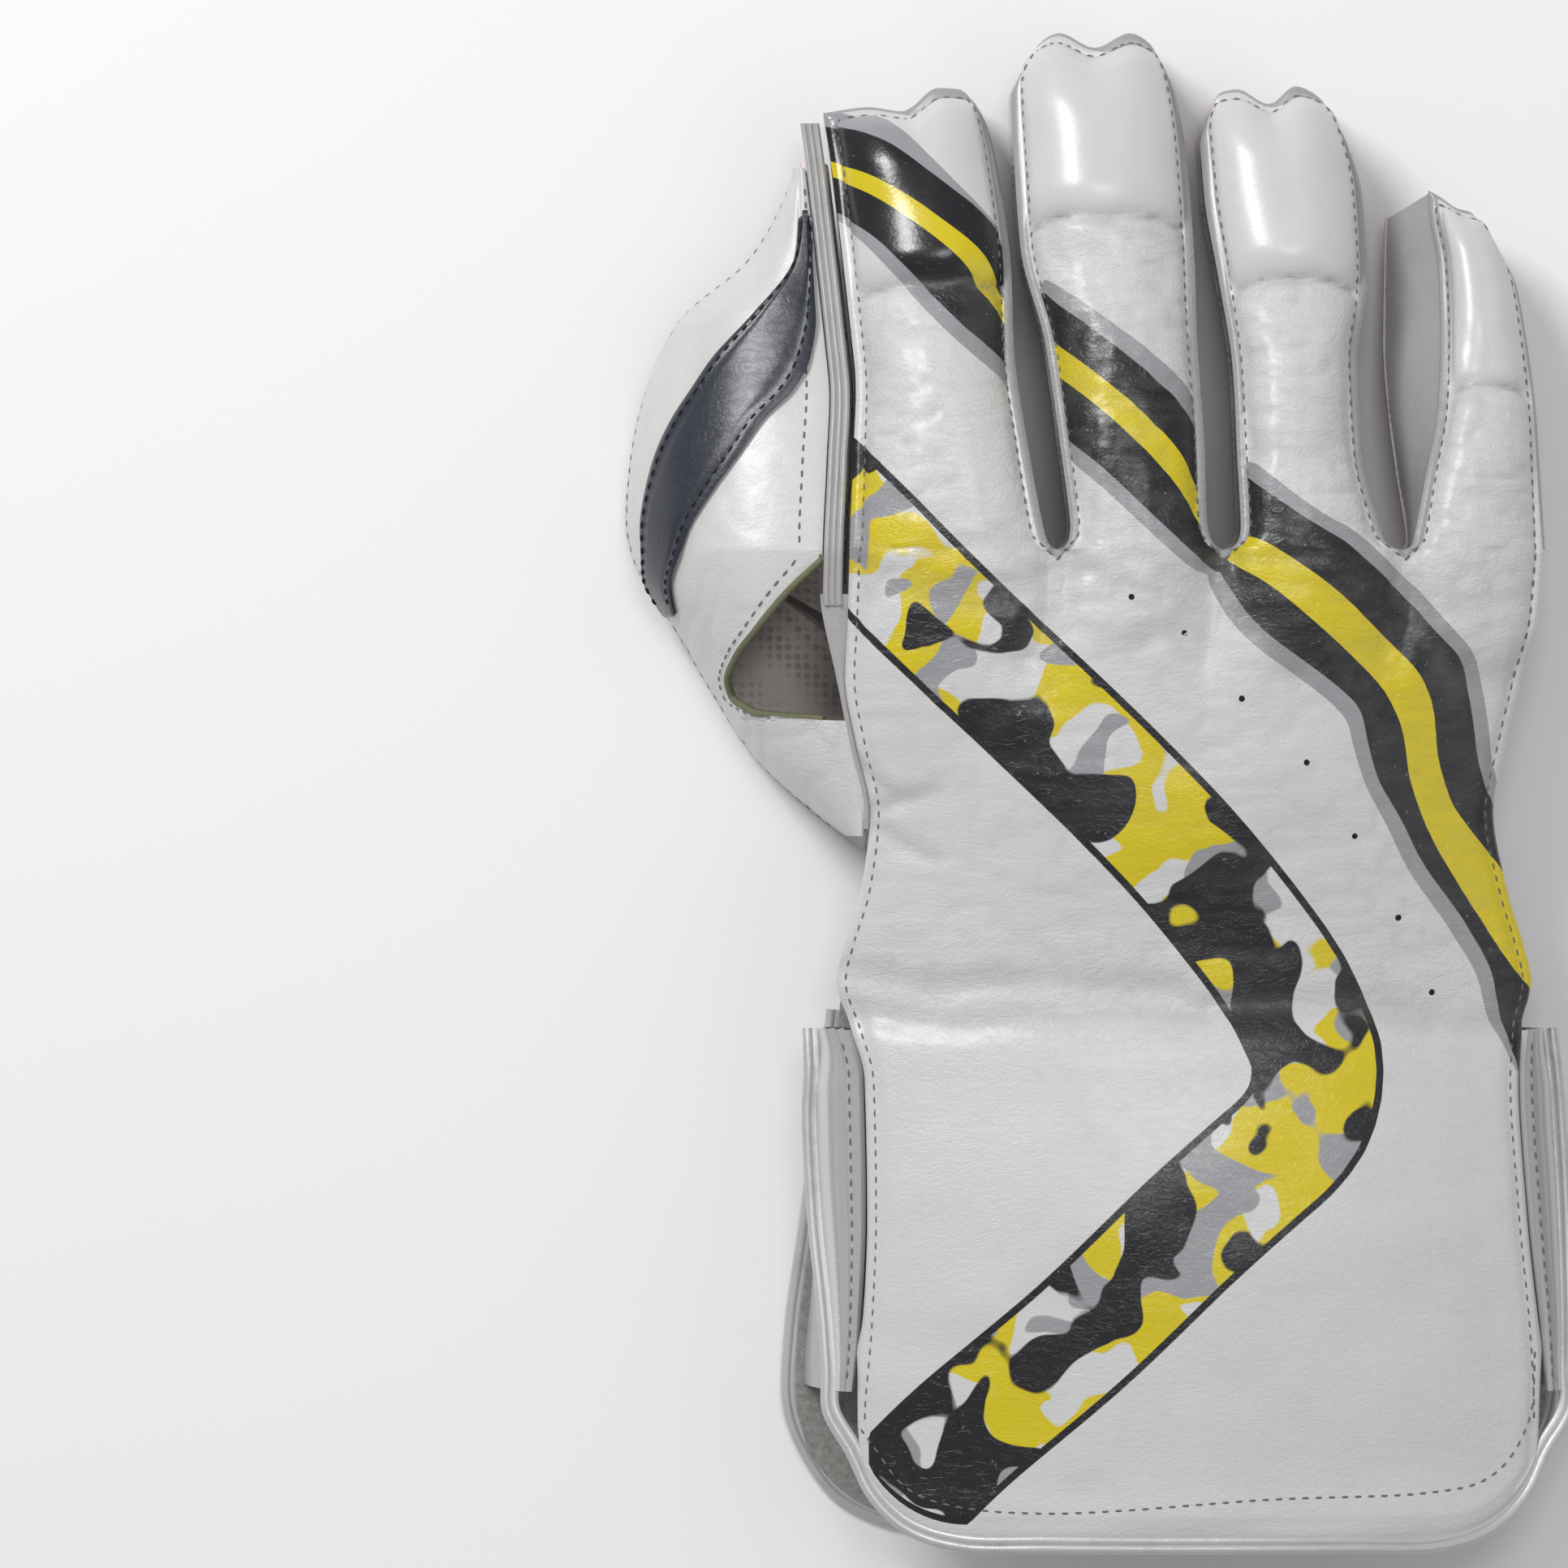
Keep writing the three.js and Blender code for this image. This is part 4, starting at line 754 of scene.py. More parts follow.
    def cuff_band(self, side: int, station: Array) -> tuple[Array, Array, Array, Array]:
        """Width, fall, start and level of the ribbed band beside the cuff front.

        Args:
            side: -1 for the thumb side, 1 for the outer side.
            station: Stations along the glove.

        Returns:
            The four values at each station.
        """
        fullness = ease(station, -1.85, 0.6)
        narrowed = 1 - BAND_NARROWING * ease(station, -1.14, 0.12)
        full = CUFF_BAND_WIDTH * (OUTER_BAND_SHARE if side > 0 else 1)
        width = mix(BAND_END_WIDTH, full, fullness) * narrowed
        fall = mix(BAND_END_FALL, BAND_FALL, fullness)
        edge = self.body_edge(side, station) + side * 2 * CHORD_GAP
        return width, fall, edge, self.seam_level(0.0 if side < 0 else 1.0, station) - CHORD_GAP


SHAPE = GloveShape()


def frame_offset() -> Array:
    """Where the middle of the hem lies in the frame, in millimetres, from the boxes of two fixed nodes."""
    low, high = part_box("back_panel")
    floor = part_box("palm_rubber")[0]
    return np.array([high.x * 1000 - SHAPE.root_right, low.y * 1000, floor.z * 1000])


OFFSET = frame_offset()


class Side(Enum):
    """Which way a seam row or a lattice of pimples is laid on: from above or from below."""

    ABOVE = 1
    BELOW = -1


@dataclass
class Sheet:
    """A sheet of four-sided cells with named values at its points."""

    points: Array
    cells: Array
    values: dict[str, Array] = field(default_factory=dict)

    def normals(self) -> Array:
        """Outward direction at each point.

        Returns:
            The directions, of length one.
        """
        a, b, c, d = (self.points[self.cells[:, i]] for i in range(4))
        facing = np.cross(c - a, d - b)
        total = np.zeros_like(self.points)
        for corner in range(4):
            np.add.at(total, self.cells[:, corner], facing)
        return unit(total)

    def rim(self) -> Array:
        """The open edges, each as a pair of points in the order of its cell."""
        pairs = np.concatenate([self.cells[:, [i, (i + 1) % 4]] for i in range(4)])
        known = {(int(a), int(b)) for a, b in pairs}
        return np.array([pair for pair in known if (pair[1], pair[0]) not in known])

    def pushed(self, amount: Array) -> "Sheet":
        """The same sheet moved along its own normals by an amount at each point."""
        return Sheet(self.points + self.normals() * np.asarray(amount)[:, None], self.cells, self.values)


def grid(rows: Array, columns: Array, place: Callable[[Array, Array], Array], turned: bool) -> Sheet:
    """A plain grid of cells.

    Args:
        rows: The rows' values.
        columns: The columns' values.
        place: Gives points for row and column values.
        turned: True where the outer face looks the other way than next column by next row.

    Returns:
        The sheet, with its row and column values kept.
    """
    row, column = np.meshgrid(rows, columns, indexing="ij")
    points = place(row.ravel(), column.ravel())
    index = np.arange(row.size).reshape(row.shape)
    cells = np.stack([index[:-1, :-1], index[:-1, 1:], index[1:, 1:], index[1:, :-1]], -1).reshape(-1, 4)
    if turned:
        cells = cells[:, ::-1]
    return Sheet(points, cells, {"row": row.ravel(), "column": column.ravel()})


def flat_size(sheet: Sheet) -> tuple[float, float]:
    """Size of a grid laid flat.

    Args:
        sheet: A grid's sheet.

    Returns:
        Its mean width and length in metres.
    """
    points = sheet.points.reshape(len(np.unique(sheet.values["row"])), -1, 3)
    width = np.linalg.norm(np.diff(points, axis=1), axis=2).sum(1).mean()
    length = np.linalg.norm(np.diff(points, axis=0), axis=2).sum(0).mean()
    return float(width) / 1000, float(length) / 1000


def hand(rows: Array, columns: Array, place: Callable[[int, Array, Array], Array], turned: bool,
         is_open: Callable[[int, Array, Array], Array] | None = None) -> Sheet:
    """A sheet over the cuff or palm and the four fingers, joined below the crotches.

    Args:
        rows: Stations from the lowest to the fingertips, with 0 among them.
        columns: Columns across each finger, from 0 to the last.
        place: Gives points of a finger for its columns and stations.
        turned: True where the outer face looks down.
        is_open: Says which cells of a finger, by column and station, are left out.

    Returns:
        The sheet, with finger, column and station kept at its points.
    """
    count = len(rows) * len(columns)
    station, column = np.meshgrid(rows, columns, indexing="ij")
    indices, points, fingers = [], [], []
    for finger in range(len(FINGERS)):
        index = np.arange(count).reshape(station.shape) + finger * count
        points.append(place(finger, column.ravel(), station.ravel()))
        fingers.append(np.full(count, finger))
        indices.append(index)
    for finger in range(len(FINGERS) - 1):
        shared = rows <= 0
        indices[finger][shared, -1] = indices[finger + 1][shared, 0]
    cells = []
    for finger, index in enumerate(indices):
        quads = np.stack([index[:-1, :-1], index[:-1, 1:], index[1:, 1:], index[1:, :-1]], -1).reshape(-1, 4)
        if is_open is not None:
            middle_column = (column[:-1, :-1] + column[1:, 1:]).ravel() / 2
            middle_station = (station[:-1, :-1] + station[1:, 1:]).ravel() / 2
            quads = quads[~is_open(finger, middle_column, middle_station)]
        cells.append(quads[:, ::-1] if turned else quads)
    values = {
        "finger": np.concatenate(fingers),
        "column": np.tile(column.ravel(), len(FINGERS)),
        "station": np.tile(station.ravel(), len(FINGERS)),
    }
    return tidied(Sheet(np.concatenate(points), np.concatenate(cells), values))


def tidied(sheet: Sheet) -> Sheet:
    """The sheet without points that no cell uses."""
    used, cells = np.unique(sheet.cells, return_inverse=True)
    return Sheet(sheet.points[used], cells.reshape(-1, 4), {k: v[used] for k, v in sheet.values.items()})


@dataclass
class Solid:
    """Points and faces of a closed piece, with a finish number for each face and values at its points."""

    points: Array
    faces: list[tuple[int, ...]]
    finishes: list[int]
    values: dict[str, Array] = field(default_factory=dict)


def thickened(sheet: Sheet, wall: float, inner: int = 0, rim: int = 0, face: Sheet | None = None) -> Solid:
    """A closed wall: the sheet, the inner face behind it and a rim along every open edge.

    Args:
        sheet: The outer face.
        wall: Its thickness in millimetres.
        inner: Finish number of the inner face.
        rim: Finish number of the rim.
        face: The outer face with its relief, where it has one.

    Returns:
        The closed piece.
    """
    count = len(sheet.points)
    behind = sheet.points - sheet.normals() * wall
    edges = sheet.rim()
    faces = [tuple(cell) for cell in sheet.cells.tolist()]
    faces += [tuple(cell) for cell in (sheet.cells[:, ::-1] + count).tolist()]
    faces += [(b, a, a + count, b + count) for a, b in edges.tolist()]
    finishes = [0] * len(sheet.cells) + [inner] * len(sheet.cells) + [rim] * len(edges)
    values = {name: np.concatenate([value, value]) for name, value in sheet.values.items()}
    return Solid(np.concatenate([(face or sheet).points, behind]), faces, finishes, values)


def joined(solids: Sequence[Solid]) -> Solid:
    """Several pieces as one, without their point values.

    Args:
        solids: The pieces.

    Returns:
        The one piece.
    """
    points, faces, finishes, start = [], [], [], 0
    for solid in solids:
        points.append(solid.points)
        faces += [tuple(corner + start for corner in face) for face in solid.faces]
        finishes += solid.finishes
        start += len(solid.points)
    return Solid(np.concatenate(points), faces, finishes)


def made(name: str, solid: Solid, finishes: Sequence[Material], keep: Sequence[str] = ()) -> Piece:
    """Makes a piece in the frame, in metres.

    Args:
        name: The piece's name.
        solid: Its form.
        finishes: Its materials, in the order of the finish numbers.
        keep: Names of the point values that its materials read.

    Returns:
        The piece, riding on the frame's one body.
    """
    mesh = bpy.data.meshes.new(name)
    mesh.from_pydata(((solid.points + OFFSET) / 1000).tolist(), [], solid.faces)
    for finish in finishes:
        mesh.materials.append(finish)
    mesh.polygons.foreach_set("material_index", solid.finishes)
    for value in keep:
        layer = mesh.attributes.new(value, "FLOAT", "POINT")
        layer.data.foreach_set("value", np.asarray(solid.values[value], np.float32))
    mesh.shade_smooth()
    mesh.set_sharp_from_angle(angle=math.radians(SHARP_ANGLE))
    mesh.update()
    piece = bpy.data.objects.new(name, mesh)
    bpy.context.scene.collection.objects.link(piece)
    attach(piece, "root")
    log.info("%s: %d faces", name, len(solid.faces))
    return piece


class Ground:
    """The outer face of a piece, for finding places on it from above or below."""

    def __init__(self, sheet: Sheet) -> None:
        """Build the search tree of a sheet's cells.

        Args:
            sheet: The face.
        """
        self.tree = BVHTree.FromPolygons(sheet.points.tolist(), sheet.cells.tolist())
        edges = np.unique(sheet.rim())
        self.rims = KDTree(len(edges))
        for corner in edges.tolist():
            self.rims.insert(sheet.points[corner].tolist(), corner)
        self.rims.balance()

    def under(self, x: float, y: float, side: Side) -> tuple[Array, Array] | None:
        """Place and outward direction where a vertical line meets the face, if it does.

        Args:
            x: Place of the line in the plan.
            y: The same along the other axis.
            side: From above or from below.

        Returns:
            The place and the direction, or nothing where the line misses the face.
        """
        start = SEARCH_HEIGHT * side.value
        place, normal, _, _ = self.tree.ray_cast(Vector((x, y, start)), Vector((0, 0, -side.value)))
        if place is None:
            return None
        facing = np.array(normal) * (1 if normal.z * side.value > 0 else -1)
        return np.array(place), facing

    def near(self, point: Array) -> Array:
        """Nearest place on the face."""
        return np.array(self.tree.find_nearest(Vector(point))[0])

    def to_rim(self, point: Array) -> float:
        """Distance to the nearest open edge."""
        return self.rims.find(Vector(point))[2]


def resampled(line: Array, pitch: float) -> tuple[Array, Array]:
    """Points a pitch apart on a line, and the line's direction at each.

    Args:
        line: The line's points.
        pitch: Distance between the new points.

    Returns:
        The points and the directions.
    """
    steps = np.linalg.norm(np.diff(line, axis=0), axis=1)
    along = np.append(0, np.cumsum(steps))
    count = max(2, int(along[-1] / pitch))
    at = (np.arange(count) + 0.5) * along[-1] / count
    points, ahead, behind = (
        np.stack([np.interp(at + shift, along, values) for values in line.T], -1)
        for shift in (0.0, 0.2, -0.2)
    )
    return points, unit(ahead - behind)


@dataclass(frozen=True)
class StitchKind:
    """A seam's thread: pitch, stitch length, thread radius and how far it stands out, in millimetres."""

    pitch: float = 2.9
    length: float = 1.9
    radius: float = 0.24
    lift: float = 0.1

    def sewn(self, rows: Iterable[tuple[Array, Array]]) -> Solid:
        """Stitches along rows.

        Args:
            rows: Each a line of places with the outward direction at each of them.

        Returns:
            All stitches as one piece.
        """
        points, faces = [], []
        for line, facing in rows:
            places, ways = resampled(np.hstack([line, facing]), self.pitch)
            for place, way in zip(places, ways, strict=True):
                self.stitch(place[:3], way[:3], place[3:], points, faces)
        return Solid(np.array(points), faces, [0] * len(faces))

    def stitch(
        self, place: Array, way: Array, up: Array, points: list[Array], faces: list[tuple[int, ...]]
    ) -> None:
        """Adds one stitch.

        Args:
            place: Its middle.
            way: The seam's direction.
            up: The outward direction.
            points: The points so far.
            faces: The faces so far.
        """
        up = unit(up)
        side = unit(np.cross(way, up))
        start, count = len(points), STITCH_SIDES
        for along, thick, rise in STITCH_RINGS:
            middle = place + way * along * self.length + up * (self.lift + rise * self.radius)
            for turn in range(count):
                angle = turn * 2 * math.pi / count
                spoke = side * math.cos(angle) + up * math.sin(angle) * STITCH_FLATNESS
                points.append(middle + spoke * self.radius * thick)
        for ring in range(start, start + (len(STITCH_RINGS) - 1) * count, count):
            for turn in range(count):
                a, b = ring + turn, ring + (turn + 1) % count
                faces.append((a, b, b + count, a + count))
        faces.append(tuple(start + turn for turn in reversed(range(count))))
        faces.append(tuple(start + (len(STITCH_RINGS) - 1) * count + turn for turn in range(count)))


def laid(ground: Ground, line: Line | Array, side: Side, step: float = 1.0) -> list[tuple[Array, Array]]:
    """A plan line laid on a face; where it leaves the face it parts into several rows.

    Args:
        ground: The face.
        line: The line's corners in the plan.
        side: From above or from below.
        step: How closely the face is followed.

    Returns:
        Rows of places and outward directions.
    """
    flat = np.array(line, float)
    steps = np.append(0, np.cumsum(np.linalg.norm(np.diff(flat, axis=0), axis=1)))
    at = spaced(0, steps[-1], step)
    rows, places, facings = [], [], []
    for x, y in zip(np.interp(at, steps, flat[:, 0]), np.interp(at, steps, flat[:, 1]), strict=True):
        found = ground.under(x, y, side)
        if found is None or (places and abs(found[0][2] - places[-1][2]) > 4 * step):
            rows.append((places, facings))
            places, facings = [], []
        if found is not None:
            places.append(found[0])
            facings.append(found[1])
    rows.append((places, facings))
    return [(np.array(places), np.array(facings)) for places, facings in rows if len(places) > 2]


def tube(line: Array, radius: float, sides: int = 10, flat: float = 1.0) -> Solid:
    """A round or flattened cord along a line.

    Args:
        line: Points of its middle.
        radius: Its radius.
        sides: Faces round it.
        flat: Height of its section as a share of its width.

    Returns:
        The cord.
    """
    way = unit(np.vstack([line[1:], line[-1:]]) - np.vstack([line[:1], line[:-1]]))
    side = unit(np.cross(way, (0.0, 0.0, 1.0)))
    up = np.cross(side, way)
    turns = np.arange(sides) * 2 * math.pi / sides
    ring = side[:, None] * np.cos(turns)[None, :, None] + up[:, None] * np.sin(turns)[None, :, None] * flat
    points = (line[:, None] + ring * radius).reshape(-1, 3)
    last = (len(line) - 1) * sides
    faces = []
    for near in range(0, last, sides):
        for j in range(sides):
            k = (j + 1) % sides
            faces.append((near + j, near + k, near + sides + k, near + sides + j))
    faces += [tuple(reversed(range(sides))), tuple(last + j for j in range(sides))]
    return Solid(points, faces, [0] * len(faces))


def smoothed(points: Array, step: float) -> Array:
    """A smooth line through points, about a step between its own.

    Args:
        points: The points.
        step: Distance between two points of the new line.

    Returns:
        The new line's points.
    """
    padded = np.vstack([2 * points[0] - points[1], points, 2 * points[-1] - points[-2]])
    out = []
    for i in range(1, len(padded) - 2):
        p0, p1, p2, p3 = padded[i - 1:i + 3]
        count = max(1, round(float(np.linalg.norm(p2 - p1)) / step))
        t = (np.arange(count) / count)[:, None]
        out.append(0.5 * (2 * p1 + (p2 - p0) * t + (2 * p0 - 5 * p1 + 4 * p2 - p3) * t**2
                          + (3 * p1 - p0 - 3 * p2 + p3) * t**3))
    return np.vstack([*out, points[-1:]])


class Nodes:
    """A node tree with short calls for the nodes that the finishes use."""

    def __init__(self, tree: bpy.types.NodeTree) -> None:
        """Work on a tree."""
        self.tree = tree

    def node(
        self, kind: str, inputs: dict[str | int, object] | None = None, **settings: object
    ) -> bpy.types.Node:
        """Adds a node.

        Args:
            kind: Its type.
            inputs: Constants or sockets for its inputs.
            settings: Its own settings.

        Returns:
            The node.
        """
        made_node = self.tree.nodes.new(kind)
        for name, value in settings.items():
            setattr(made_node, name, value)
        for name, value in (inputs or {}).items():
            self.feed(made_node.inputs[name], value)
        return made_node

    def feed(self, socket: Socket, value: object) -> None:
        """Links a socket to another, or sets its constant.

        Args:
            socket: The socket.
            value: Another socket, or a constant.
        """
        if isinstance(value, Socket):
            self.tree.links.new(value, socket)
        else:
            socket.default_value = value

    def math(self, operation: str, a: object, b: object = 0.0, clamp: bool = False) -> Socket:
        """One sum of two values."""
        return self.node("ShaderNodeMath", {0: a, 1: b}, operation=operation, use_clamp=clamp).outputs[0]

    def mixed(self, share: object, a: object, b: object) -> Socket:
        """Blend of two colours."""
        inputs = {0: share, 6: shade(a), 7: shade(b)}
        return self.node("ShaderNodeMix", inputs, data_type="RGBA").outputs[2]

    def passed(self, value: object, low: float, high: float, start: float = 0.0, end: float = 1.0) -> Socket:
        """A value's way from low to high, as a way from start to end."""
        inputs = {0: value, 1: low, 2: high, 3: start, 4: end}
        return self.node("ShaderNodeMapRange", inputs, clamp=True).outputs[0]

    def noise(
        self, where: Socket, scale: object, detail: float = 2.0, rough: float = 0.5, bent: float = 0.0
    ) -> Socket:
        """Cloudy noise at places in metres."""
        inputs = {"Vector": where, "Scale": scale, "Detail": detail, "Roughness": rough, "Distortion": bent}
        return self.node("ShaderNodeTexNoise", inputs).outputs[0]

    def sharp(self, value: object, start: float = 0.0) -> Socket:
        """A crisp step from 0 to 1 where a distance in millimetres passes a start."""
        return self.passed(value, start - INK_EDGE, start + INK_EDGE)

    def cells(self, where: Socket, scale: object, feature: str = "F1", spread: float = 1.0) -> Socket:
        """Distance to the nearest cell middle; the lower the spread is, the more even are the cells."""
        inputs = {"Vector": where, "Scale": scale, "Randomness": spread}
        return self.node("ShaderNodeTexVoronoi", inputs, feature=feature).outputs["Distance"]

    def stretched(self, where: Socket, scale: tuple[float, float, float]) -> Socket:
        """Places scaled by their own amount along each axis."""
        return self.node("ShaderNodeMapping", {"Vector": where, "Scale": scale}).outputs[0]

    def kept(self, name: str) -> Socket:
        """A value kept at the piece's points."""
        return self.node("ShaderNodeAttribute", attribute_name=name).outputs["Fac"]

    def where(self) -> Socket:
        """Places on the piece, in metres."""
        return self.node("ShaderNodeTexCoord").outputs["Object"]


def shade(value: object) -> object:
    """A colour with full alpha; anything else as it is."""
    return (*value, 1.0) if isinstance(value, tuple) and len(value) == 3 else value


def dimmed(colour: Colour, share: float) -> Colour:
    """A darker colour, at a share of each channel."""
    return tuple(channel * share for channel in colour)


class Effect(Enum):
    """The effects that several finishes share, each a node group."""

    GRAIN = "leather_grain"
    SOILING = "soft_soiling"
    PATCHES = "patchwork_camouflage"
    PRINTED = "printed_back"
    SKIN = "rubber_skin"
    PILE = "cloth_pile"


class Effects:
    """Builds each node group once and places it in the finishes."""

    def __init__(self) -> None:
        """Start with no group."""
        self.trees: dict[Effect, bpy.types.NodeTree] = {}

    def start(
        self, effect: Effect, inputs: dict[str, str], outputs: dict[str, str]
    ) -> tuple[Nodes, dict[str, Socket], bpy.types.Node]:
        """Starts a group with named sockets.

        Args:
            effect: Which effect.
            inputs: Socket types by name.
            outputs: Socket types by name.

        Returns:
            The group's nodes, its input sockets by name and its output node.
        """
        tree = bpy.data.node_groups.new(effect.value, "ShaderNodeTree")
        for way, sockets in (("INPUT", inputs), ("OUTPUT", outputs)):
            for name, kind in sockets.items():
                tree.interface.new_socket(name, in_out=way, socket_type=f"NodeSocket{kind}")
        nodes = Nodes(tree)
        given = nodes.node("NodeGroupInput").outputs
        self.trees[effect] = tree
        return nodes, {name: given[name] for name in inputs}, nodes.node("NodeGroupOutput")

    def placed(self, nodes: Nodes, effect: Effect, inputs: dict[str, object]) -> dict[str, Socket]:
        """Places a group in a finish.

        Args:
            nodes: The finish's nodes.
            effect: Which effect.
            inputs: Its constants and sockets by name.

        Returns:
            The group's outputs by name.
        """
        if effect not in self.trees:
            {
                Effect.GRAIN: self.grain, Effect.SOILING: self.soiling, Effect.PATCHES: self.patches,
                Effect.PRINTED: self.printed, Effect.SKIN: self.skin, Effect.PILE: self.pile,
            }[effect]()
        node = nodes.node("ShaderNodeGroup", node_tree=self.trees[effect])
        for name, value in inputs.items():
            nodes.feed(node.inputs[name], shade(value))
        return {socket.name: socket for socket in node.outputs}

    def grain(self) -> None:
        """Leather grain: pebbles, pores and the fine wrinkles of worked leather."""
        nodes, given, out = self.start(
            Effect.GRAIN,
            {"Where": "Vector", "Scale": "Float", "Wrinkling": "Float"},
            {"Height": "Float", "Shine": "Float"},
        )
        pebbles = nodes.cells(given["Where"], given["Scale"], "SMOOTH_F1")
        pores = nodes.noise(given["Where"], nodes.math("MULTIPLY", given["Scale"], 2.3), 3.0, 0.6)
        bent = nodes.noise(nodes.stretched(given["Where"], (230.0, 470.0, 320.0)), 1.0, 3.0, 0.6, 0.9)
        folds = nodes.passed(nodes.math("ABSOLUTE", nodes.math("SUBTRACT", bent, 0.5)), 0.0, 0.09)
        worked = nodes.math("MULTIPLY", nodes.math("SUBTRACT", folds, 1.0), given["Wrinkling"])
        fine = nodes.math("ADD", nodes.math("MULTIPLY", pebbles, 0.5), nodes.math("MULTIPLY", pores, 0.35))
        nodes.feed(out.inputs["Height"], nodes.math("ADD", fine, nodes.math("MULTIPLY", worked, 1.6)))
        nodes.feed(out.inputs["Shine"], nodes.passed(pores, 0.35, 0.7))

    def soiling(self) -> None:
        """Faint smudges and handling marks."""
        nodes, given, out = self.start(
            Effect.SOILING, {"Where": "Vector", "Amount": "Float"}, {"Mask": "Float"}
        )
        broad = nodes.noise(given["Where"], 26.0, 4.0, 0.6, 0.4)
        small = nodes.noise(given["Where"], 210.0, 3.0, 0.65)
        marks = nodes.math("MULTIPLY", nodes.passed(broad, 0.42, 0.72), nodes.passed(small, 0.35, 0.7))
        nodes.feed(out.inputs["Mask"], nodes.math("MULTIPLY", marks, given["Amount"]))

    def patches(self) -> None:
        """Rounded camouflage patches in four colours."""
        nodes, given, out = self.start(Effect.PATCHES, {"Where": "Vector"}, {"Colour": "Color"})
        colour: object = INK_YELLOW
        for tone, shift, scale, edge in (
            (INK_WHITE, 0.31, 58.0, 0.54), (INK_SILVER, 0.77, 62.0, 0.57), (INK_BLACK, 0.16, 56.0, 0.545),
        ):
            place = {"Vector": given["Where"], "Location": (shift, 2 * shift, 0.0)}
            moved = nodes.node("ShaderNodeMapping", place).outputs[0]
            blobs = nodes.noise(moved, scale, detail=1.4, rough=0.4, bent=0.35)
            colour = nodes.mixed(nodes.passed(blobs, edge - 0.006, edge + 0.006), colour, tone)
        nodes.feed(out.inputs["Colour"], colour)

    def printed(self) -> None:
        """Stripes and the patterned sash over a plain colour, each with a crisp edge at its line of zero."""
        nodes, given, out = self.start(
            Effect.PRINTED,
            {"Plain": "Color", "Where": "Vector", "Silver": "Float", "Black": "Float", "Yellow": "Float",
             "Sash": "Float"},
            {"Colour": "Color", "Ink": "Float"},
        )
        colour: object = given["Plain"]
        patches = self.placed(nodes, Effect.PATCHES, {"Where": given["Where"]})["Colour"]
        for area, start, tone in (
            ("Silver", 0.0, INK_SILVER), ("Black", 0.0, INK_BLACK), ("Yellow", 0.0, INK_YELLOW),
            ("Sash", 0.0, INK_BLACK), ("Sash", SASH_BORDER, patches),
        ):
            colour = nodes.mixed(nodes.sharp(given[area], start), colour, tone)
        ink = nodes.math("MAXIMUM", nodes.sharp(given["Silver"]), nodes.sharp(given["Sash"]))
        worn = nodes.passed(nodes.noise(given["Where"], 700.0, 4.0, 0.7), 0.66, 0.72)
        worn = nodes.math("MULTIPLY", worn, 0.35)
        nodes.feed(out.inputs["Colour"], nodes.mixed(worn, colour, given["Plain"]))
        nodes.feed(out.inputs["Ink"], ink)

    def skin(self) -> None:
        """Dusty rubber: cloudy tone and a fine mould texture."""
        nodes, given, out = self.start(Effect.SKIN, {"Where": "Vector"}, {"Dust": "Float", "Height": "Float"})
        dust = nodes.passed(nodes.noise(given["Where"], 48.0, 5.0, 0.65), 0.38, 0.66)
        fine = nodes.noise(given["Where"], 2600.0, 2.0, 0.6)
        nodes.feed(out.inputs["Dust"], dust)
        nodes.feed(out.inputs["Height"], nodes.math("MULTIPLY", fine, 0.5))

    def pile(self) -> None:
        """Brushed cloth: short fibres that lie in tufts."""
        nodes, given, out = self.start(
            Effect.PILE, {"Where": "Vector", "Scale": "Float"}, {"Tuft": "Float", "Height": "Float"}
        )
        tufts = nodes.noise(given["Where"], given["Scale"], 4.0, 0.7, 0.6)
        fibres = nodes.noise(nodes.stretched(given["Where"], (3.0, 0.8, 1.6)), 2400.0, 2.0, 0.6, 0.5)
        nodes.feed(out.inputs["Tuft"], nodes.passed(tufts, 0.35, 0.65))
        nodes.feed(out.inputs["Height"], nodes.math("ADD", tufts, nodes.math("MULTIPLY", fibres, 0.6)))


EFFECTS = Effects()
INK_WHITE: Colour = (0.66, 0.66, 0.66)
INK_SILVER: Colour = (0.33, 0.33, 0.35)
INK_BLACK: Colour = (0.012, 0.012, 0.016)
INK_YELLOW: Colour = (0.68, 0.55, 0.01)
WHITE: Colour = (0.66, 0.655, 0.65)
GREY: Colour = (0.42, 0.42, 0.42)
LIP_GREY: Colour = (0.36, 0.36, 0.365)
BAND_GREY: Colour = (0.62, 0.62, 0.61)
# Painted shade: the dark tone laid into the leather's creases and folds.
CREASE_PAINTED_SHADE: Colour = (0.2, 0.19, 0.18)
SCUFFED: Colour = (0.3, 0.3, 0.32)
INK_EDGE = 0.05
LIP_EDGE = 0.08
SASH_BORDER = 1.6


def surfaced(name: str, constants: dict[str, object]) -> tuple[Material, Nodes, bpy.types.Node]:
    """Starts a finish.

    Args:
        name: Its name.
        constants: What is the same all over it, set on the shader itself.

    Returns:
        The material, its nodes and its shader.
    """
    material = bpy.data.materials.new(name)
    material.use_nodes = True
    nodes = Nodes(material.node_tree)
    shader = material.node_tree.nodes["Principled BSDF"]
    for socket, value in constants.items():
        shader.inputs[socket].default_value = shade(value)
    return material, nodes, shader


def dressed(nodes: Nodes, shader: bpy.types.Node, colour: object, rough: object,
            relief: tuple[object, float, float]) -> None:
    """Feeds a finish's colour, roughness and relief.

    Args:
        nodes: The finish's nodes.
        shader: Its shader.
        colour: Its colour.
        rough: Its roughness.
        relief: The relief's height, strength and depth in metres.
    """
    bumps = nodes.node("ShaderNodeBump", dict(zip(("Height", "Strength", "Distance"), relief, strict=True)))
    nodes.feed(shader.inputs["Base Color"], colour)
    nodes.feed(shader.inputs["Roughness"], rough)
    nodes.feed(shader.inputs["Normal"], bumps.outputs[0])


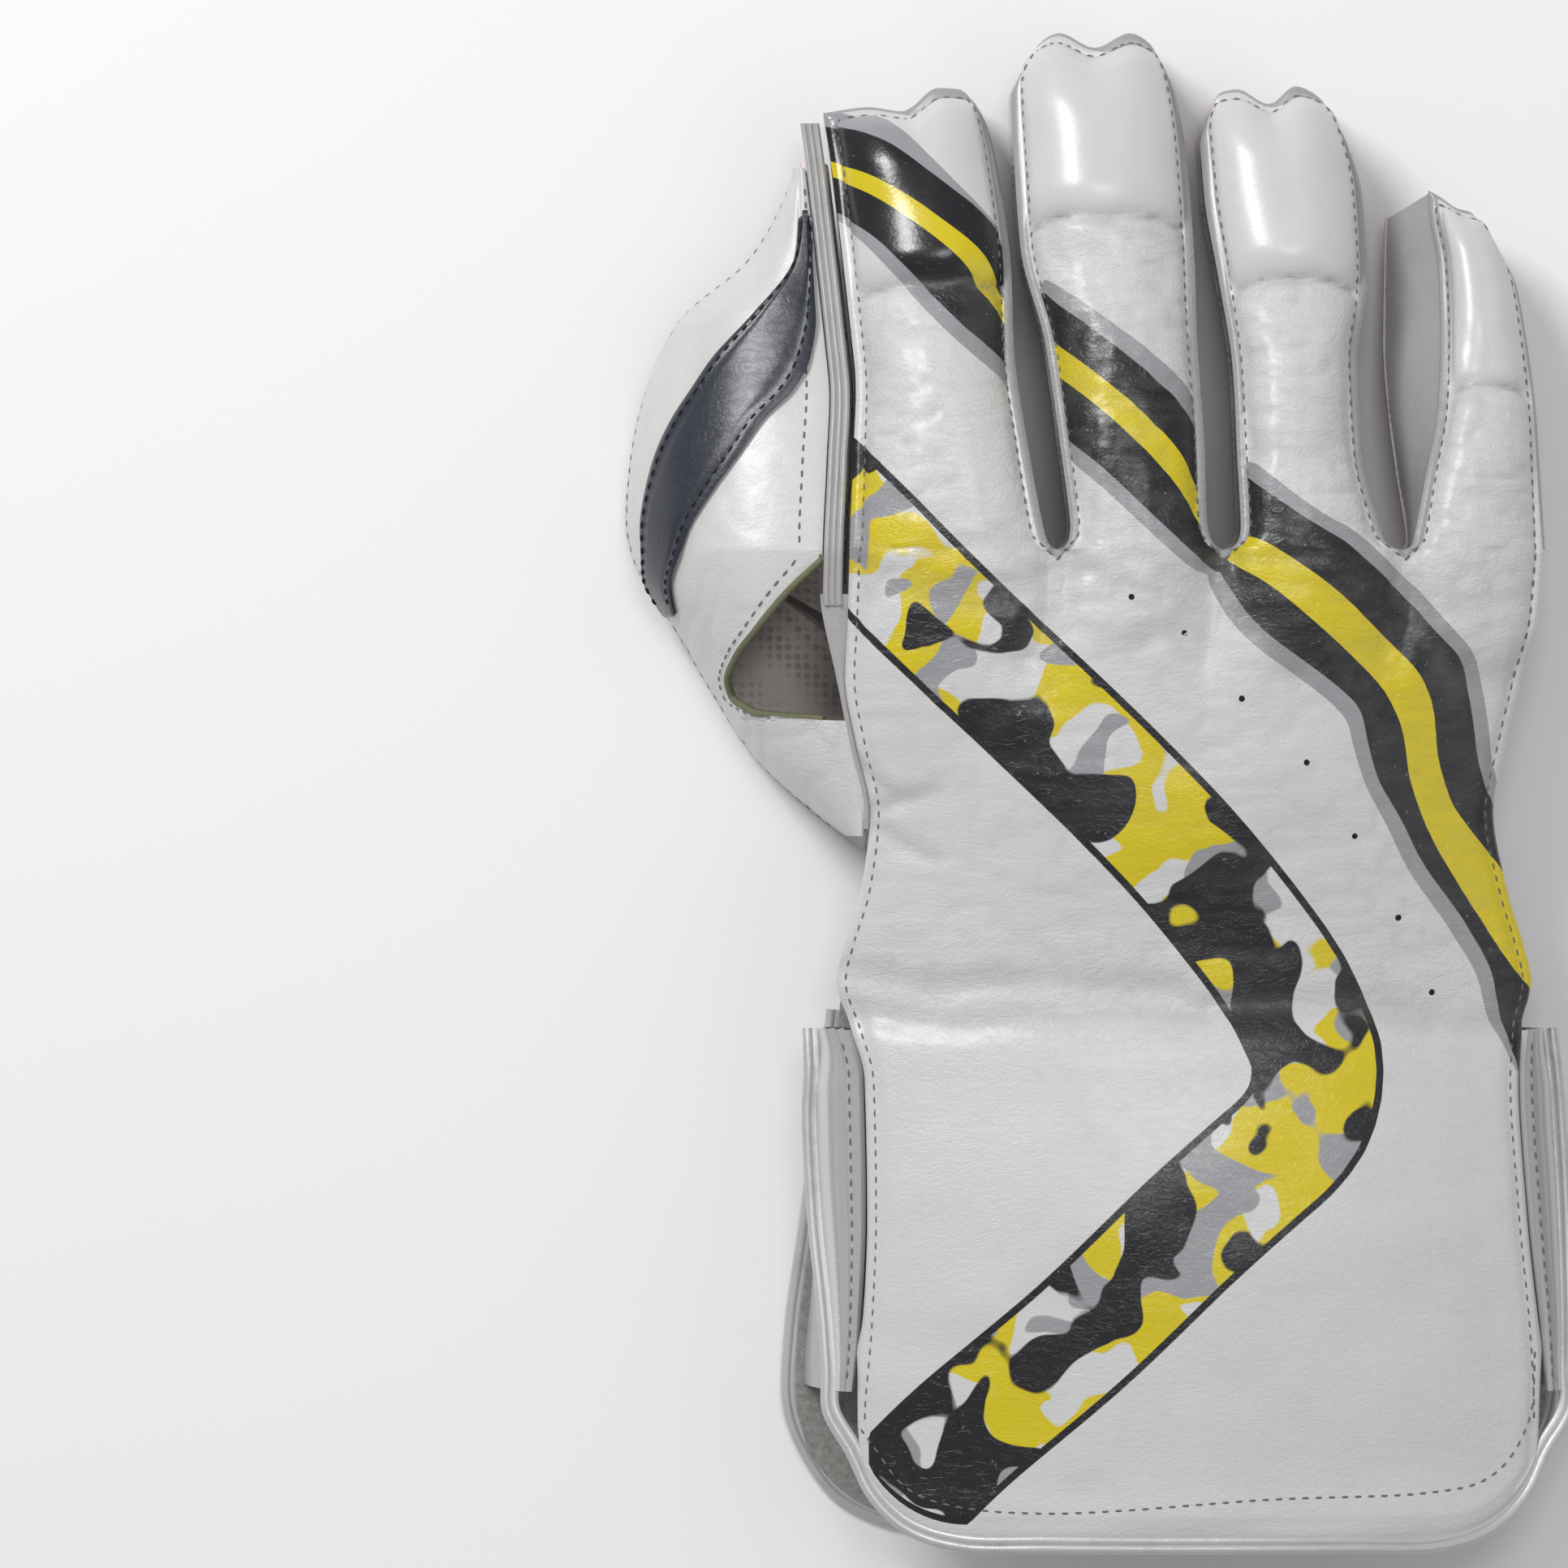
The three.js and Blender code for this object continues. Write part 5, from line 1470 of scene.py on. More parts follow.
@dataclass(frozen=True)
class Leather:
    """Dyed or printed leather with grain, soiling, painted shade in its creases and a little coat."""

    name: str
    colour: Colour
    roughness: float = 0.4
    coat: float = 0.25
    scale: float = 1150.0
    depth: float = 0.00009
    soiled: float = 0.25
    printed: bool = False
    lipped: bool = False
    creased: bool = False
    banded: bool = False

    def material(self) -> Material:
        """The finish as a material.

        Returns:
            The material.
        """
        material, nodes, shader = surfaced(
            self.name, {"Coat Weight": self.coat, "Coat Roughness": 0.22, "Specular IOR Level": 0.5}
        )
        where = nodes.where()
        mark = EFFECTS.placed(nodes, Effect.SOILING, {"Where": where, "Amount": self.soiled})["Mask"]
        colour = nodes.mixed(mark, self.colour, dimmed(self.colour, 0.72))
        wrinkling: object = 0.35
        rough: object = self.roughness
        if self.printed:
            layers = {"Plain": colour, "Where": where} | {
                name: nodes.kept(name.lower()) for name in ("Silver", "Black", "Yellow", "Sash")
            }
            inked = EFFECTS.placed(nodes, Effect.PRINTED, layers)
            colour = inked["Colour"]
            rough = nodes.passed(inked["Ink"], 0.0, 1.0, self.roughness, self.roughness - 0.12)
        if self.lipped:
            colour = nodes.mixed(nodes.passed(nodes.kept("lip"), -LIP_EDGE, LIP_EDGE), colour, LIP_GREY)
        if self.banded:
            colour = nodes.mixed(nodes.passed(nodes.kept("tone"), 0.0, 1.0), colour, BAND_GREY)
        if self.creased:
            wrinkling = nodes.kept("worked")
            rough = nodes.math("ADD", rough, nodes.passed(wrinkling, 0.0, 1.0, -0.08, 0.06))
            # Painted shade: the leather is darkened along its creases and folds.
            colour = nodes.mixed(nodes.math("MULTIPLY", nodes.kept("crease"), 0.5), colour, CREASE_PAINTED_SHADE)
        grain = EFFECTS.placed(
            nodes, Effect.GRAIN, {"Where": where, "Scale": self.scale, "Wrinkling": wrinkling}
        )
        shine = nodes.passed(grain["Shine"], 0.0, 1.0, -0.04, 0.06)
        dressed(nodes, shader, colour, nodes.math("ADD", rough, shine), (grain["Height"], 0.55, self.depth))
        return material


@dataclass(frozen=True)
class Rubber:
    """Matt dusty rubber; the reverse has the moulded pattern of a net, with painted shade in its dents."""

    name: str
    colour: Colour
    dust: Colour
    netted: bool = False
    net_scale: float = 480.0

    def material(self) -> Material:
        """The finish as a material.

        Returns:
            The material.
        """
        material, nodes, shader = surfaced(self.name, {"Specular IOR Level": 0.35})
        where = nodes.where()
        skin = EFFECTS.placed(nodes, Effect.SKIN, {"Where": where})
        colour = nodes.mixed(skin["Dust"], self.colour, self.dust)
        height = skin["Height"]
        if self.netted:
            dents = nodes.passed(nodes.cells(where, self.net_scale, spread=0.12), 0.2, 0.5, 1.0, 0.0)
            # Painted shade: the net's dents are darkened.
            colour = nodes.mixed(dents, colour, dimmed(self.colour, 0.7))
            height = nodes.math("SUBTRACT", height, nodes.math("MULTIPLY", dents, 3.0))
        rough = nodes.passed(skin["Dust"], 0.0, 1.0, 0.62, 0.85)
        dressed(nodes, shader, colour, rough, (height, 0.6, 0.00015))
        return material


@dataclass(frozen=True)
class Cloth:
    """Brushed lining cloth."""

    name: str
    colour: Colour
    scale: float = 420.0

    def material(self) -> Material:
        """The finish as a material.

        Returns:
            The material.
        """
        material, nodes, shader = surfaced(
            self.name, {"Sheen Weight": 0.5, "Sheen Roughness": 0.5, "Specular IOR Level": 0.2}
        )
        pile = EFFECTS.placed(nodes, Effect.PILE, {"Where": nodes.where(), "Scale": self.scale})
        colour = nodes.mixed(pile["Tuft"], dimmed(self.colour, 0.62), self.colour)
        rough = nodes.passed(pile["Tuft"], 0.0, 1.0, 0.8, 0.98)
        dressed(nodes, shader, colour, rough, (pile["Height"], 0.9, 0.0004))
        return material


@dataclass(frozen=True)
class Thread:
    """Twisted sewing thread."""

    name: str
    colour: Colour

    def material(self) -> Material:
        """The finish as a material.

        Returns:
            The material.
        """
        material, nodes, shader = surfaced(self.name, {"Specular IOR Level": 0.3})
        twist = nodes.noise(nodes.where(), 5200.0, 2.0, 0.6)
        colour = nodes.mixed(nodes.passed(twist, 0.35, 0.65), dimmed(self.colour, 0.6), self.colour)
        dressed(nodes, shader, colour, nodes.passed(twist, 0.3, 0.7, 0.55, 0.8), (twist, 0.7, 0.0001))
        return material


@dataclass(frozen=True)
class SilverVinyl:
    """Silvery coated piping, scuffed in patches."""

    name: str
    colour: Colour

    def material(self) -> Material:
        """The finish as a material.

        Returns:
            The material.
        """
        material, nodes, shader = surfaced(
            self.name, {"Metallic": 0.25, "Coat Weight": 0.3, "Coat Roughness": 0.25}
        )
        where = nodes.where()
        mark = EFFECTS.placed(nodes, Effect.SOILING, {"Where": where, "Amount": 0.7})["Mask"]
        brushed = nodes.noise(nodes.stretched(where, (1.0, 1.0, 3.0)), 1500.0, 3.0, 0.6)
        rough = nodes.passed(brushed, 0.3, 0.7, 0.3, 0.46)
        dressed(nodes, shader, nodes.mixed(mark, self.colour, SCUFFED), rough, (brushed, 0.4, 0.00008))
        return material


FINISH_KINDS = {
    "printed": Leather("printed_white_leather", WHITE, printed=True, lipped=True, creased=True),
    "white": Leather("white_leather", WHITE),
    "web": Leather("web_white_leather", WHITE, creased=True),
    "grey": Leather("grey_leather", GREY, roughness=0.34, coat=0.35, soiled=0.4),
    "banded": Leather("banded_leather", GREY, roughness=0.34, coat=0.35, banded=True),
    "navy": Leather("navy_leather", (0.018, 0.021, 0.036), 0.38, coat=0.35, scale=900.0, depth=0.00012),
    "rubber": Rubber("pimpled_rubber", (0.43, 0.355, 0.345), (0.55, 0.48, 0.465)),
    # Painted highlight: the pimples are the palm's own rubber, coloured lighter so that their crowns stand
    # out.
    "pimple": Rubber("pimple_painted_highlight", (0.56, 0.49, 0.475), (0.66, 0.6, 0.585)),
    # Painted light: the reverse is coloured far lighter than the rubber's own tone, to stand in for the
    # strong light seen inside the hole.
    "reverse": Rubber("rubber_reverse_painted_light", (0.8, 0.7, 0.68), (0.84, 0.76, 0.74), netted=True),
    "lining": Cloth("lining_cloth", (0.42, 0.42, 0.4), scale=700.0),
    "fleece": Cloth("grey_fleece", (0.45, 0.48, 0.45)),
    "silver": SilverVinyl("silver_piping", (0.55, 0.55, 0.57)),
    "rim": Leather("olive_cut_edge", (0.15, 0.155, 0.085), 0.6, coat=0.05, scale=1800.0, depth=0.0002),
    "grey_thread": Thread("grey_thread", (0.2, 0.2, 0.2)),
    "dark_thread": Thread("black_thread", (0.012, 0.012, 0.014)),
}


@dataclass
class Finishes:
    """Every finish of the glove, each made once."""

    printed: Material = field(init=False)
    white: Material = field(init=False)
    web: Material = field(init=False)
    grey: Material = field(init=False)
    banded: Material = field(init=False)
    navy: Material = field(init=False)
    rubber: Material = field(init=False)
    pimple: Material = field(init=False)
    reverse: Material = field(init=False)
    lining: Material = field(init=False)
    fleece: Material = field(init=False)
    silver: Material = field(init=False)
    rim: Material = field(init=False)
    grey_thread: Material = field(init=False)
    dark_thread: Material = field(init=False)

    def __post_init__(self) -> None:
        """Make the materials."""
        for name, kind in FINISH_KINDS.items():
            setattr(self, name, kind.material())


def softened(corners: Array) -> Array:
    """A closed outline with its corners cut twice, so that it bends softly.

    Args:
        corners: The outline's corners.

    Returns:
        The corners of the soft outline.
    """
    for _ in range(2):
        ahead = np.roll(corners, -1, 0)
        corners = np.stack([mix(corners, ahead, 0.2), mix(corners, ahead, 0.8)], 1).reshape(-1, 2)
    return corners


def from_photo(pixels: Sequence[tuple[float, float]]) -> Line:
    """Turns places marked on the picture into millimetres from the middle of the hem."""
    return [((x - PHOTO_HEM[0]) * PIXEL, (PHOTO_HEM[1] - y) * PIXEL) for x, y in pixels]


INDEX_STRIPE = {
    "black": [
        (990, 143), (1017, 152), (1080, 170), (1145, 212), (1200, 260), (1240, 310), (1262, 345), (1270, 480),
        (1255, 465), (1215, 430), (1170, 390), (1125, 340), (1080, 292), (1034, 260), (990, 238),
    ],
    "yellow": [
        (990, 180), (1032, 199), (1075, 215), (1130, 250), (1180, 290), (1205, 315), (1230, 355), (1242, 382),
        (1262, 420), (1262, 432), (1240, 402), (1215, 370), (1190, 330), (1145, 290), (1080, 242),
        (1032, 217), (990, 200),
    ],
    "silver": [
        (990, 120), (1025, 132), (1080, 148), (1125, 175), (1155, 203), (1200, 255), (1245, 312), (1262, 345),
        (1268, 500), (1245, 482), (1205, 447), (1160, 407), (1116, 358), (1078, 310), (1034, 268), (990, 248),
    ],
}
MIDDLE_STRIPE = {
    "black": [
        (1275, 352), (1306, 380), (1354, 416), (1398, 450), (1447, 496), (1480, 545), (1500, 570),
        (1500, 712), (1490, 702), (1461, 680), (1398, 620), (1350, 574), (1299, 533), (1275, 512),
    ],
    "yellow": [
        (1268, 400), (1279, 409), (1350, 465), (1398, 504), (1447, 555), (1476, 613), (1490, 640),
        (1490, 675), (1476, 651), (1442, 596), (1410, 559), (1350, 504), (1279, 448), (1268, 440),
    ],
    "silver": [
        (1275, 336), (1320, 366), (1365, 398), (1410, 432), (1458, 478), (1492, 530), (1492, 716),
        (1455, 697), (1390, 637), (1342, 592), (1296, 552), (1275, 535),
    ],
}
HAND_STRIPE = {
    "black": [
        (1505, 560), (1522, 583), (1600, 640), (1657, 673), (1720, 730), (1761, 777), (1799, 815),
        (1808, 870), (1821, 957), (1850, 1010), (1880, 1040), (1890, 1330), (1872, 1321), (1845, 1242),
        (1836, 1190), (1796, 1124), (1750, 1065), (1717, 999), (1694, 964), (1680, 915), (1672, 874),
        (1642, 845), (1537, 770), (1492, 695), (1480, 670),
    ],
    "silver": [
        (1515, 550), (1610, 628), (1668, 660), (1732, 718), (1775, 765), (1815, 808), (1826, 870),
        (1838, 950), (1860, 995), (1895, 1030), (1885, 1350), (1830, 1250), (1820, 1200), (1780, 1138),
        (1733, 1075), (1700, 1008), (1678, 970), (1662, 920), (1655, 888), (1628, 860), (1522, 785),
        (1478, 712),
    ],
    "yellow": [
        (1500, 640), (1512, 655), (1560, 672), (1642, 728), (1700, 785), (1745, 830), (1762, 870),
        (1768, 940), (1790, 1000), (1846, 1065), (1905, 1140), (1905, 1240), (1880, 1210), (1860, 1190),
        (1805, 1105), (1758, 1030), (1732, 960), (1725, 900), (1700, 848), (1640, 790), (1560, 722),
        (1500, 690),
    ],
}
SASH = [
    (985, 588), (1045, 648), (1140, 745), (1250, 850), (1370, 965), (1470, 1070), (1565, 1190), (1603, 1258),
    (1618, 1297), (1618, 1338), (1605, 1377), (1579, 1410), (1550, 1435), (1460, 1515), (1330, 1640),
    (1190, 1760), (1120, 1830),
]
SASH_HALF = 14.5
HEM_SEAM = [(1039, 1611), (1046, 1723), (1078, 1782), (1138, 1841), (1289, 1858), (1552, 1841), (1750, 1835),
            (1836, 1815), (1882, 1749), (1890, 1660)]
# Dark discs of painted shade that stand in for the perforations' holes.
HOLE_SHADE_RADIUS = 0.75
HOLE_SHADE_HEIGHT = 0.16
PERFORATIONS = [(1390, 738), (1455, 782), (1525, 862), (1605, 940), (1665, 1030), (1720, 1130), (1762, 1222)]
THUMB_CREASES = ([(1050, 934), (1075, 960), (1110, 985)], [(1063, 1000), (1100, 990), (1150, 975)],
                 [(1060, 1010), (1100, 1030), (1150, 1060)])
WRIST_CREASES = ([(1040, 1190), (1150, 1215), (1300, 1205), (1450, 1215)],
                 [(1030, 1245), (1180, 1262), (1350, 1240), (1480, 1245)],
                 [(1700, 1230), (1800, 1262), (1890, 1250)], [(1500, 1240), (1640, 1235), (1760, 1260)])
FLEX_CREASES = ([(1050, 700), (1120, 722), (1200, 735), (1300, 705)], [(1320, 690), (1400, 735), (1500, 700)],
                [(1300, 679), (1290, 760), (1260, 820)], [(1505, 690), (1530, 760), (1590, 830)],
                [(1727, 692), (1740, 760), (1790, 850)], [(1500, 690), (1450, 760), (1390, 800)],
                [(1894, 800), (1850, 830), (1800, 835)])


def columns_across() -> Array:
    """Columns over one finger: close on the flanges, even between them."""
    return np.concatenate([spaced(0, 1, 0.3), spaced(1, 5, 0.18)[1:], spaced(5, LAST_COLUMN, 0.3)[1:]])


def rows_up(start: float, marks: Sequence[float] = ()) -> Array:
    """Stations from a start to the fingertips, through all marks."""
    stops = sorted({start, *marks, -1.0, 0.0, 0.94, 1.0})
    parts = [spaced(a, b, 0.005 if a >= 0.94 else 0.0125) for a, b in zip(stops[:-1], stops[1:], strict=True)]
    return np.unique(np.round(np.concatenate(parts), 6))


def edge_columns(side: int) -> list[tuple[float, float]]:
    """Places along half a fingertip and down its side to the crotch.

    Args:
        side: -1 for the side towards the thumb, 1 for the other.

    Returns:
        Column and station of each place.
    """
    last = LAST_COLUMN if side > 0 else 0.0
    side_rows = [*spaced(1.0, 0.05, 0.025), 0.035, 0.024, 0.014, 0.006]
    tip = [(3.0 + side * away, 1.0) for away in (0.0, 0.7, 1.4, 2.0)]
    return tip + [(last, float(at)) for at in side_rows]


@dataclass
class HandBack:
    """Padded leather of the fingers' backs, the hand and the cuff front, with its print and stitches."""

    finishes: Finishes
    wall: float = BACK_WALL
    seam_inset: float = 2.3
    lip_width: float = 1.8
    groove: float = 0.4
    pad_rise: float = 1.3
    pad_crease: float = 1.2
    edge_fall: float = 0.9
    edge_width: float = 1.6
    bead: float = 0.35
    swell: float = 1.3
    fold_across: float = 0.42
    fold_along: float = 0.24
    deepest: float = -0.8
    beyond_deepest: float = 0.4
    sheet: Sheet = field(init=False)
    face: Sheet = field(init=False)
    ground: Ground = field(init=False)
    worked: Array = field(init=False)
    crease: Array = field(init=False)
    lip: Array = field(init=False)

    def build(self) -> Piece:
        """Builds the leather.

        Returns:
            The piece.
        """
        self.sheet = hand(rows_up(-2.0, (0.003, 0.008, 0.016, 0.024)), columns_across(), SHAPE.back, False)
        self.face = self.sheet.pushed(self.relief())
        self.ground = Ground(self.face)
        solid = thickened(self.sheet, self.wall, 1, 2, self.face)
        values = self.printed() | {"lip": self.lip, "worked": self.worked, "crease": self.crease}
        solid.values = {name: np.tile(value, 2) for name, value in values.items()}
        finishes = (self.finishes.printed, self.finishes.lining, self.finishes.grey)
        piece = made("back_leather", solid, finishes, list(solid.values))
        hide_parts("back_panel")
        return piece

    def to_edges(self) -> tuple[Array, Array]:
        """Distance of each point to the free edges.

        Returns:
            The distance itself, and how far into the grey lip each point lies.
        """
        finger, column, station = (self.sheet.values[k] for k in ("finger", "column", "station"))
        distance, lip = np.full(len(finger), 99.0), np.full(len(finger), -99.0)
        for i, form in enumerate(FINGERS):
            mine = (finger == i) & (station > 0)
            left, right, share, y = SHAPE.finger_plan(i, column[mine], station[mine])
            tip = SHAPE.finger_plan(i, column[mine], np.ones(mine.sum()))[3] - y
            from_left, from_right = share * (right - left), (1 - share) * (right - left)
            wide = self.lip_width
            folds = (-1.0 if i == 0 else wide) - from_left, (0.8 if i == 3 else wide) - from_right
            at_tip = (mix(0.7, 3.0, ease(share, 0.48, 0.2)) if i < 3 else 0.9) - tip
            distance[mine] = np.minimum(np.minimum(from_left, from_right), tip)
            lip[mine] = np.maximum(np.maximum(*folds), at_tip)
        body = station <= 0
        points = self.sheet.points
        for i in range(len(FINGERS) - 1):
            crotch = np.array([SHAPE.roots[i][1], BODY_LENGTH])
            away = np.linalg.norm(points[:, :2] - crotch, axis=1)
            distance = np.where(body, np.minimum(distance, away), distance)
            lip = np.where(body, np.maximum(lip, self.lip_width - away), lip)
        side_left = points[:, 0] - SHAPE.body_edge(-1, station)
        side_right = SHAPE.body_edge(1, station) - points[:, 0]
        hem = points[:, 1] - SHAPE.hem_rise((side_left / (side_left + side_right)), side_left + side_right)
        around = np.minimum(np.minimum(side_left, side_right), np.where(station < -1.5, hem, 99))
        return np.where(body, np.minimum(distance, around), distance), lip

    def relief(self) -> Array:
        """How far each point stands off the plain form.

        Returns:
            The heights in millimetres.
        """
        finger, column, station = (self.sheet.values[k] for k in ("finger", "column", "station"))
        x, y = self.sheet.points[:, 0], self.sheet.points[:, 1]
        plan = self.sheet.points[:, :2]
        distance, self.lip = self.to_edges()
        height = -self.edge_fall * np.clip(1 - distance / self.edge_width, 0, 1) ** 2
        height -= self.groove * bump(distance - self.seam_inset, 0.55)
        height += self.bead * ease(distance, self.seam_inset, 2.2) * (1 - ease(distance, 5, 7))
        worked, crease = np.zeros(len(x)), np.zeros(len(x))
        noise, folds = SoftNoise(7), SoftNoise(19)
        for i, form in enumerate(FINGERS):
            mine = (finger == i) & (station > 0)
            bow = np.abs(2 * np.clip((column[mine] - 1) / 4, 0, 1) - 1) ** 2
            past = (station[mine] - form.pad_end) * form.length - 1.5 + 3.0 * bow
            inner = ease(distance[mine], 1.5, 2.0)
            line = bump(past, 1.3) * inner
            height[mine] += (-self.pad_crease * line + self.pad_rise * ease(past, 0, 7)) * inner
            height[mine] += 0.25 * self.pad_rise * ease(-past, 0, 6) * inner * ease(station[mine], 0.0, 0.25)
            worked[mine] = 1 - 0.92 * ease(past, -1, 4)
            crease[mine] = 0.8 * bump(past, 0.8) * inner
        hand_part = station <= 0
        low = y[hand_part]
        worked[hand_part] = 0.55 + 0.4 * bump(low - BODY_LENGTH, 22) + 0.4 * bump(low - 120, 14)
        for creases, depth, width in (
            (THUMB_CREASES, 0.8, 1.6), (WRIST_CREASES, 1.0, 3.0), (FLEX_CREASES, 0.6, 3.2)
        ):
            for line in creases:
                near = bump(to_line(plan, from_photo(line)), width) * hand_part
                height -= depth * near * (0.6 + 0.8 * noise(x / 9, y / 9))
                crease = np.maximum(crease, 0.35 * near)
        inner = ease(distance, 1.0, 3.0)
        height += self.swell * (noise.layered(x / 23 + 5, y / 17, 2) - 0.5) * inner
        across = folds.creased(x / 8.5 + 3 * noise(x / 30, y / 30), y / 3.2) * worked
        along = folds.creased(x / 3.6 + 40, y / 9 + 2 * noise(y / 25, x / 25)) * worked
        flex = np.where(hand_part, ease(y, 104, 36), 1.0)
        height -= (self.fold_across * across + self.fold_along * along) * flex * inner
        softer = self.deepest + self.beyond_deepest * (height - self.deepest)
        height = np.where(height < self.deepest, softer, height)
        self.worked = np.clip(worked, 0, 1)
        # The crease value says where the leather's finish paints shade into creases and folds.
        self.crease = np.clip(crease + 0.3 * across * flex * inner, 0, 1)
        return height

    def printed(self) -> dict[str, Array]:
        """How far inside each printed shape each point lies.

        Returns:
            The distances by name of the shape's colour.
        """
        finger, station = self.sheet.values["finger"], self.sheet.values["station"]
        plan = self.sheet.points[:, :2]
        up = station > 0
        areas = (
            ((finger == 0) & up, INDEX_STRIPE),
            ((finger == 1) | ~up, MIDDLE_STRIPE),
            ((finger > 1) | ~up, HAND_STRIPE),
        )
        values = {}
        for tone in ("silver", "black", "yellow"):
            best = np.full(len(plan), -20.0)
            for mine, shapes in areas:
                corners = np.array(from_photo(shapes[tone]))
                inside = within(plan[mine], [tuple(point) for point in softened(corners)])
                best[mine] = np.maximum(best[mine], inside)
            values[tone] = best
        middle = smoothed(np.array(from_photo(SASH)), 4.0)
        sash = SASH_HALF - to_line(plan, [tuple(point) for point in middle])
        hemmed = self.to_edges()[0] - self.seam_inset - 0.7 + 40 * ease(plan[:, 1], 50, 30)
        values["sash"] = np.where((finger == 0) | ~up, np.minimum(sash, hemmed), -20.0)
        return values

    def beside(self, side: int, start: float, end: float) -> Line:
        """The stitch row along a side of the cuff and hand, from one station to another.

        Args:
            side: -1 for the thumb side, 1 for the outer side.
            start: First station.
            end: Last station.

        Returns:
            The corners of the row.
        """
        return [
            (float(SHAPE.body_edge(side, at)) - side * self.seam_inset, float(SHAPE.along(at)))
            for at in spaced(start, end, 0.03)
        ]

    def seam(self) -> list[Line]:
        """The plan of the stitch rows.

        Returns:
            One row round the fingers and sides, and one along the hem.
        """
        inset = self.seam_inset
        line = self.beside(-1, -1.78, -0.02)
        for i, form in enumerate(FINGERS):
            top = 1 - inset / form.length
            near, far = 1.05, LAST_COLUMN - 1.05
            ends = [(near, at) for at in spaced(0.03, top - 0.02, 0.03)]
            ends += [(column, top) for column in spaced(near + 0.12, far - 0.12, 0.2)]
            ends += [(far, at) for at in spaced(top - 0.02, 0.03, 0.03)]
            for column, at in ends:
                line.append(tuple(SHAPE.back(i, np.array([column]), np.array([at]))[0, :2]))
            if i < len(FINGERS) - 1:
                line.append((SHAPE.roots[i][1], BODY_LENGTH - inset))
        return [line + self.beside(1, -0.02, -1.78), smoothed(np.array(from_photo(HEM_SEAM)), 2.0)]

    def stitch(self) -> list[Piece]:
        """Sews the seams and paints the row of perforations beside the sash as dark dots of painted shade.

        Returns:
            The stitches and the painted shade of the perforations.
        """
        rows = [row for line in self.seam() for row in laid(self.ground, line, Side.ABOVE, 0.8)]
        sewn = made("back_stitches", StitchKind(lift=-0.05).sewn(rows), [self.finishes.grey_thread])
        marks = []
        for x, y in from_photo(PERFORATIONS):
            found = self.ground.under(x, y, Side.ABOVE)
            if found is not None:
                place, up = found
                # Painted shade: each perforation is a dark disc on the leather, standing in for the shade
                # inside the hole.
                marks.append(disc(place - up * 0.1, up, HOLE_SHADE_RADIUS, HOLE_SHADE_HEIGHT))
        holes = made("perforations", joined(marks), [self.finishes.dark_thread])
        return [sewn, holes]


def disc(place: Array, up: Array, radius: float, height: float, sides: int = 12) -> Solid:
    """A low round button.

    Args:
        place: Middle of its foot.
        up: The way it stands.
        radius: Its radius.
        height: Its height.
        sides: Corners round it.

    Returns:
        The button.
    """
    ring = circle(up, (1.0, 0.0, 0.0), sides)
    points = np.concatenate([place + ring * radius, place + ring * radius * 0.85 + up * height])
    faces = [(i, (i + 1) % sides, sides + (i + 1) % sides, sides + i) for i in range(sides)]
    faces += [tuple(reversed(range(sides))), tuple(range(sides, 2 * sides))]
    return Solid(points, faces, [0] * len(faces))


